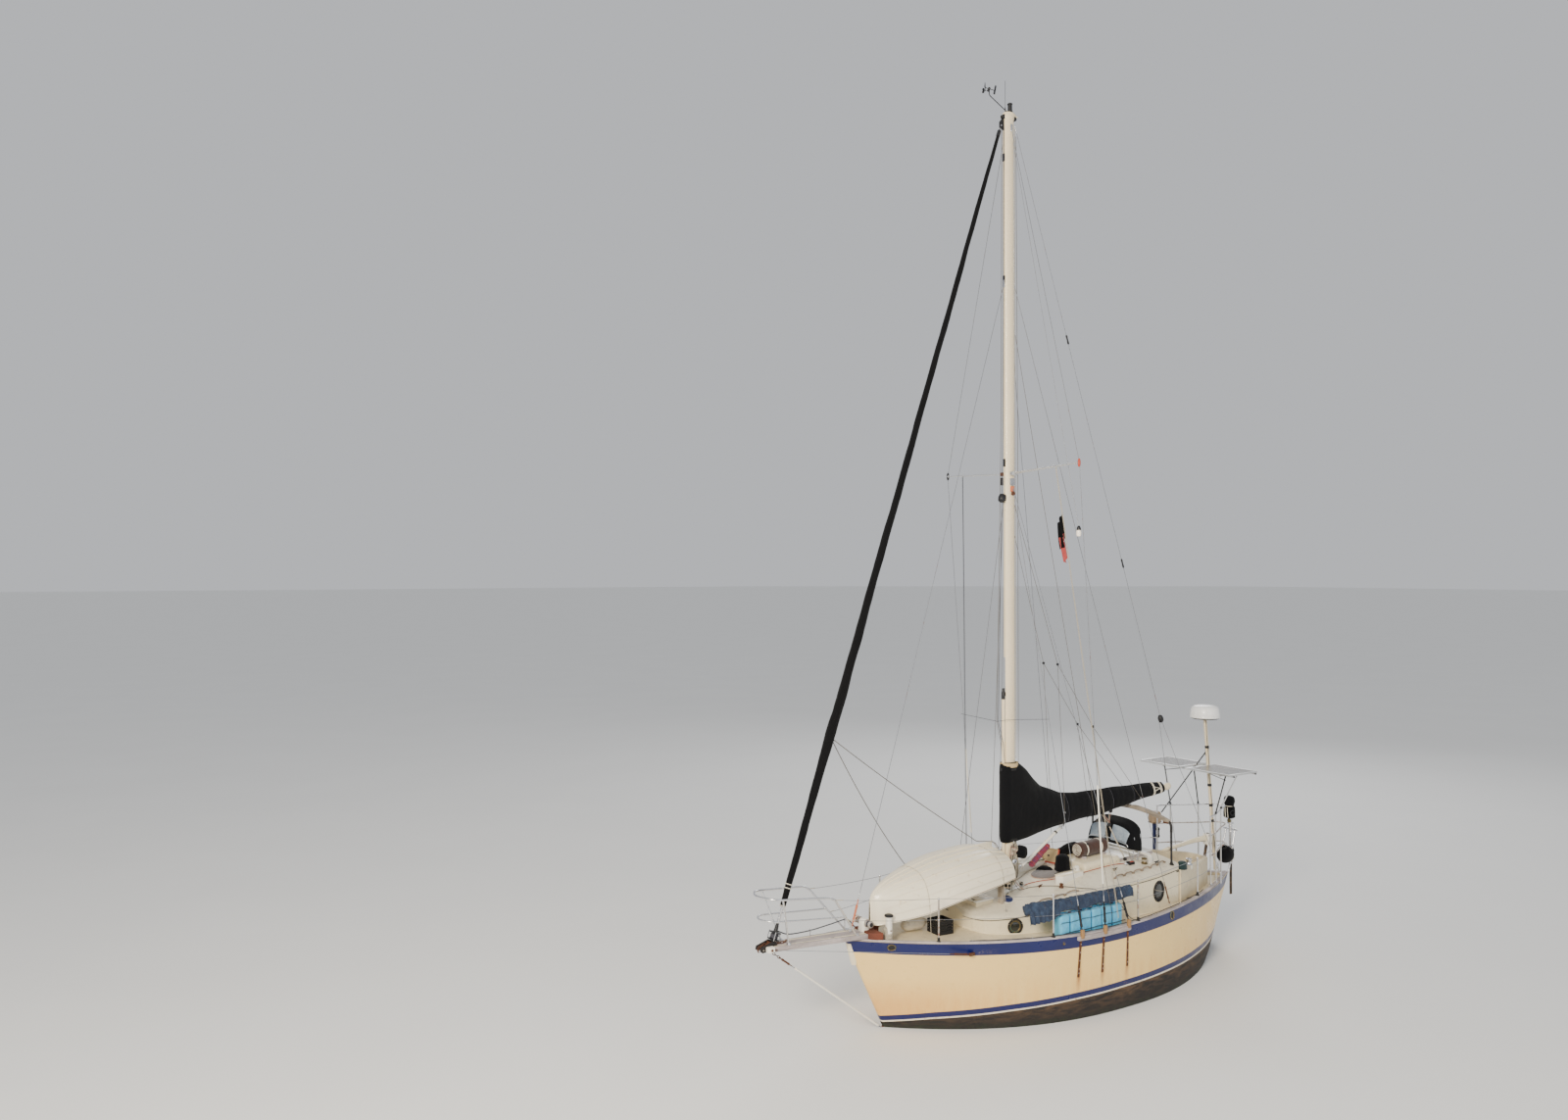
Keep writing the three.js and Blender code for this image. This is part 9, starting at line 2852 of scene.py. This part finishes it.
    # mainsheet: four short parts under the boom, a single part down to the roof on the port side
    t = Piece("mainsheet", angle=60)
    lo = Vector((-0.934, 0.200, 2.405))
    foot_ = Vector((-0.965, 0.500, 1.905))
    tops = [Vector((-0.99, 0.0, boom_z(-0.99) - 0.112)), Vector((-1.19, 0.0, boom_z(-1.19) - 0.112))]
    for i, (dx, dy) in enumerate(((-0.016, 0.010), (0.016, 0.010), (-0.012, -0.012), (0.014, -0.010))):
        top = tops[0 if i < 2 else 1]
        a = lo + Vector((dx, dy, 0.02))
        b = top + Vector((dx * 1.4, dy, -0.01))
        t.tube([a.lerp(b, k / 6) for k in range(7)], 0.0052, M["rope"] if i % 2 else M["rope_red"], 7)
    for top in tops:
        t.lathe([(0.024, -0.015), (0.031, -0.012), (0.031, 0.012), (0.024, 0.015)], top, (0.2, 1, 0), M["black"], 20)
        t.tube([top + Vector((0, 0, 0.028)), top + Vector((0, 0, 0.062))], 0.006, M["steel"], 8)
    t.lathe([(0.024, -0.018), (0.031, -0.014), (0.031, 0.014), (0.024, 0.018)], lo, (0.2, 1, 0), M["black"], 20)
    for dx in (-0.007, 0.007):
        t.tube([(lo + Vector((dx, 0, -0.02))).lerp(foot_ + Vector((dx, 0, 0)), k / 8) for k in range(9)], 0.0050, M["rope"], 7)
    o = t.done(ride=False)
    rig.blend(o, "hull_body", "boom_body", start=foot_, end=(-1.06, 0, 2.50))
    u = Piece("mainsheet_foot", angle=50)
    base = roof_z(foot_.x - 0.01, foot_.y + 0.02)
    u.lathe([(0.022, -0.016), (0.028, -0.012), (0.028, 0.012), (0.022, 0.016)], foot_, (1, 0.1, 0), M["black"], 20)
    u.tube([foot_ - Vector((0, 0, 0.02)), (foot_.x - 0.01, foot_.y + 0.02, base + 0.02)], 0.006, M["steel"], 8)
    u.box((foot_.x - 0.045, foot_.y - 0.012, base - 0.006), (foot_.x + 0.025, foot_.y + 0.052, base + 0.020), M["steel"], 0.004)
    w = Vector((-1.28, 0.62, roof_z(-1.28, 0.62) + 0.055))
    u.tube([foot_ + Vector((-0.012, 0.01, -0.02)), foot_.lerp(w, 0.4) - Vector((0, 0, 0.035)), w + Vector((0.035, -0.03, 0))], 0.0052, M["rope"], 7)
    for k in range(3):
        u.ring((w.x, w.y, w.z - 0.012 + 0.011 * k), (0, 0, 1), 0.042, 0.0052, M["rope"], 20, 6)
    u.done()

aloft()

def flags():
    """black pennant with a red one behind it, hanging limp from the port flag line"""
    top = Vector((MX, 1.000, 8.075)).lerp(Vector((0.132, 1.345, 1.36)), 0.100)
    for name, mat, z0, dx, W, H, ph in (("black_flag", "canvas2", 0.02, 0.0, 0.30, 0.36, 0.0), ("red_flag", "red_cloth", 0.30, -0.03, 0.20, 0.34, 2.0)):
        p = Piece(name, angle=70)
        rows = []
        nx, nz = 22, 26
        for j in range(nz + 1):
            g = j / nz
            row = []
            for i in range(nx + 1):
                f = i / nx
                # hoist along the line, the fly sinks and folds
                lean = Vector((-0.0135, 0.0055, -0.105)) * (g * H / 0.105)
                hang = 0.62 * f * W
                x = top.x + dx + lean.x - 0.028 * math.sin(f * 9 + g * 2.2 + ph) * (0.25 + f) - 0.02 * f
                y = top.y + lean.y - f * W * 0.42 * (1 - 0.35 * g) - 0.018 * math.sin(f * 7 + ph + g)
                z = top.z - z0 + lean.z - hang * (0.75 + 0.25 * g) - 0.01 * math.sin(f * 12)
                row.append((x, y, z))
            rows.append(row)
        p.loft(rows, M[mat], caps=False, closed=False)
        o = p.done(slot="canvas")
        md = o.modifiers.new("thickness", "SOLIDIFY")
        md.thickness = 0.0012
        md.offset = 0
        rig.sheet(o, flat=(round(mesh_area(o) / H / 1.04, 3), H), held="hung", rests_on=["halyards"])

flags()

def masthead_top():
    p = masthead()
    z = MAST1
    # lamp, whip aerial, wind arm with cups and vane
    p.lathe([(0.040, 0.052), (0.044, 0.060), (0.044, 0.075), (0.036, 0.080), (0.034, 0.175), (0.040, 0.180), (0.040, 0.196), (0.026, 0.206), (0.002, 0.208)], (MX - 0.035, 0, z), (0, 0, 1), M["black"], 24)
    p.tube([(MX + 0.062, 0, z + 0.045), (MX + 0.063, 0, z + 0.12)], 0.007, M["black"], 10)
    p.tube([(MX + 0.063, 0, z + 0.12), (MX + 0.064, 0, 14.165)], 0.0030, M["black"], 8)
    arm = rounded([(MX + 0.02, 0, z + 0.055), (MX + 0.075, 0, z + 0.080), (MX + 0.395, 0, z + 0.240), (MX + 0.395, 0, z + 0.330)], 0.03, 4)
    p.tube(arm, 0.0072, M["black"], 10)
    hub = Vector((MX + 0.395, 0, z + 0.330))
    p.lathe([(0.016, -0.01), (0.020, 0.0), (0.020, 0.02), (0.010, 0.03)], hub, (0, 0, 1), M["black"], 16)
    # bar with the vane aft, cups forward
    p.tube([hub + Vector((0.085, 0, 0.005)), hub + Vector((-0.110, 0, 0.005))], 0.0055, M["black"], 8)
    v = hub + Vector((-0.105, 0, 0.0))
    p.slab([(v.x + 0.02, v.z - 0.055), (v.x - 0.012, v.z - 0.060), (v.x - 0.045, v.z + 0.085), (v.x - 0.018, v.z + 0.090)], "y", -0.003, 0.003, M["black"], 0.001)
    c = hub + Vector((0.085, 0, 0.0))
    p.tube([c + Vector((0, 0, -0.05)), c + Vector((0, 0, 0.012))], 0.007, M["black"], 10)
    for k in range(3):
        q = 2 * math.pi * k / 3 + 0.4
        e = c + Vector((0.052 * math.cos(q), 0.052 * math.sin(q), -0.040))
        p.tube([c + Vector((0, 0, -0.040)), e], 0.003, M["black"], 6)
        tan = Vector((-math.sin(q), math.cos(q), 0))
        p.lathe([(0.002, -0.022), (0.014, -0.016), (0.021, -0.004), (0.022, 0.004), (0.018, 0.002), (0.002, -0.014)], e, tan, M["black"], 14)
    p.slab([(c.x - 0.012, c.z + 0.010), (c.x + 0.014, c.z + 0.010), (c.x + 0.004, c.z + 0.085), (c.x - 0.004, c.z + 0.085)], "y", -0.002, 0.002, M["black"], 0.001)
    p.done(["masthead_fitting"], "mast")

masthead_top()

# ------------------------------------------------------------------ cockpit
def cockpit():
    g = Piece("cockpit_grating", angle=40)
    # slatted grating on the sole
    half = lambda x: table([(-3.05, 0.150), (-2.75, 0.215), (-2.45, 0.260), (-2.02, 0.290)], x)
    z0 = 0.719
    for k in range(-5, 6):
        y = k * 0.052
        xs = [x for x in np.linspace(-3.03, -2.03, 41).tolist() if half(x) > abs(y) + 0.012]
        if len(xs) > 2:
            g.box((xs[0], y - 0.010, z0), (xs[-1], y + 0.010, z0 + 0.030), M["teak"], 0.003)
    for x in np.linspace(-3.00, -2.06, 19).tolist():
        g.box((x - 0.009, -half(x) + 0.004, z0 + 0.002), (x + 0.009, half(x) - 0.004, z0 + 0.024), M["teak"], 0.003)
    # seat slats on both sides
    for s in (1, -1):
        for y, x1 in ((0.405, -2.80), (0.455, -2.70), (0.505, -2.56), (0.555, -2.42), (0.605, -2.26)):
            rows = []
            n = 14
            for i in range(n + 1):
                x = lerp(-1.90, x1, i / n)
                z = deck_z(x, y)
                zt = z + 0.020
                rows.append([(x, s * (y - 0.020), z - 0.004), (x, s * (y - 0.020), zt - 0.003), (x, s * (y - 0.017), zt), (x, s * (y + 0.017), zt), (x, s * (y + 0.020), zt - 0.003), (x, s * (y + 0.020), z - 0.004)])
            g.loft(rows if s > 0 else [r[::-1] for r in rows], M["teak"])
    g.done(slot="wood")
    p = Piece("cockpit_fittings", angle=40)
    for s in (1, -1):
        # sheet winch on a pad by the coaming, cleat behind it
        x, y = -2.34, 0.640
        z = 1.655
        p.tube([(x, s * y, 1.60), (x, s * y, z)], 0.058, M["white"], 28)
        winch(p, (x, s * y, z), (0, 0, 1), 0.050, 0.115, M["steel"], M["bronze"])
        cleat(p, (-2.14, s * 0.715, 1.668), 0.35 * s, 0.13, M["steel"])
        # small hatch in the well's side
        p.box((-2.62, min(s * 0.352, s * 0.372), 0.82), (-2.34, max(s * 0.352, s * 0.372), 1.06), M["white"], 0.012)
    # steering compass and a log dial on the cabin's after end
    for y, r, m in ((-0.47, 0.062, "black"), (0.47, 0.055, "black")):
        p.lathe([(r * 1.15, -0.03), (r * 1.18, 0.030), (r * 1.10, 0.040), (r * 0.9, 0.044)], (-1.790, y, 1.46), (-1, 0, 0), M[m], 30)
        p.lathe([(r * 0.92, 0.040), (r * 0.85, 0.058), (r * 0.55, 0.072), (0.002, 0.078)], (-1.790, y, 1.46), (-1, 0, 0), M["glass"], 28)
    p.done(slot="iron")
    # dark bag on the after seat
    b = Piece("stern_seat_bag", angle=70)
    rings = []
    for i in range(31):
        f = i / 30
        y = lerp(-0.245, 0.165, f)
        env = max(0.04, math.sin(math.pi * f)) ** 0.38
        ring = []
        for j in range(32):
            q = 2 * math.pi * j / 32
            r = 0.098 * env * (1 + 0.14 * noise.noise(Vector((f * 6, math.cos(q) * 1.4, math.sin(q) * 1.4 + 2))) + 0.03 * math.sin(q * 5 + f * 8))
            base = deck_z(-3.20, abs(y)) + 0.002
            ring.append((-3.205 + r * 1.05 * math.cos(q), y, max(base, base + 0.088 * env + r * 0.9 * math.sin(q))))
        rings.append(ring)
    b.loft(rings, M["navy_cloth"])
    o = b.done(slot="canvas")
    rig.padded(o, 0.4)
    t = Piece("bag_straps", angle=60)
    for y in (-0.13, 0.05):
        f = (y + 0.245) / 0.41
        env = max(0.04, math.sin(math.pi * f)) ** 0.38
        base = deck_z(-3.20, abs(y)) + 0.002
        pts = [(-3.205 + 0.112 * env * math.cos(q), y, max(base + 0.004, base + 0.088 * env + 0.100 * env * math.sin(q))) for q in [2 * math.pi * i / 28 for i in range(28)]]
        t.tube(pts, 0.006, M["rope"], 6, wrap=True)
    t.done()

cockpit()
deck_vents()

# ------------------------------------------------------------------ floor and light
def studio():
    me = bpy.data.meshes.new("floor")
    n = 420
    me.from_pydata([(-n, -n, 0), (n, -n, 0), (n, n, 0), (-n, n, 0)], [], [(0, 1, 2, 3)])
    m = Mat("floor_paint")
    col = m.mix(m.noise(0.35, 3), srgb(234, 234, 232), srgb(240, 240, 238))
    m.out(col, 0.9)
    me.materials.append(m.m)
    o = bpy.data.objects.new("floor", me)
    bpy.context.scene.collection.objects.link(o)
    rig.stage(o)
    w = bpy.data.worlds.new("studio") if not bpy.context.scene.world else bpy.context.scene.world
    bpy.context.scene.world = w
    w.use_nodes = True
    bg = w.node_tree.nodes["Background"]
    bg.inputs[0].default_value = (0.90, 0.92, 0.96, 1)
    bg.inputs[1].default_value = 0.66
    def area(name, at, to, size, power, color=(1, 1, 1)):
        L = bpy.data.lights.new(name, "AREA")
        L.shape = "DISK"
        L.size = size
        L.energy = power
        L.color = color
        ob = bpy.data.objects.new(name, L)
        ob.location = at
        ob.rotation_mode = "QUATERNION"
        ob.rotation_quaternion = (Vector(to) - Vector(at)).to_track_quat("-Z", "Y")
        bpy.context.scene.collection.objects.link(ob)
    area("key", (20, 12, 13), (0, 0, 3), 7, 6900, (1.0, 0.90, 0.74))
    area("fill", (2, 24, 9), (0, 0, 3), 12, 1000, (0.95, 0.97, 1.0))
    area("back", (-18, -14, 16), (0, 0, 4), 10, 1700, (1, 1, 1))

studio()

def dress_the_rest():
    """any CAD node that still shows its plain material gets a worked one, and smooth shading"""
    look = {"white": "white", "gelcoat": "topside", "deck": "deck", "steel": "steel", "wire": "wire", "mast": "mast", "canvas": "canvas", "bronze": "bronze", "wood": "rust_wood", "dinghy": "dinghy", "antifoul": "antifoul", "can": "can", "tarp": "tarp", "brown": "brown", "panel": "cells", "iron": "dark_metal"}
    done = []
    for name, o in frame["nodes"].items():
        if o.type != "MESH" or o.hide_render:
            continue
        for sl in o.material_slots:
            m = sl.material
            if m is None or not m.use_nodes or len(m.node_tree.nodes) < 4:
                key = next((k for k in look if m is not None and m.name.lower().startswith(k)), "white")
                sl.material = M[look[key]]
                done.append((name, m.name if m else None, look[key]))
        for f in o.data.polygons:
            f.use_smooth = True
        o.data.set_sharp_from_angle(angle=math.radians(32))
    return done

dress_the_rest()

last_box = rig.bounds()
json.dump({"cad": [[float(v) for v in q] for q in first_box], "visual": [[float(v) for v in q] for q in last_box]}, open("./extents.json", "w"))
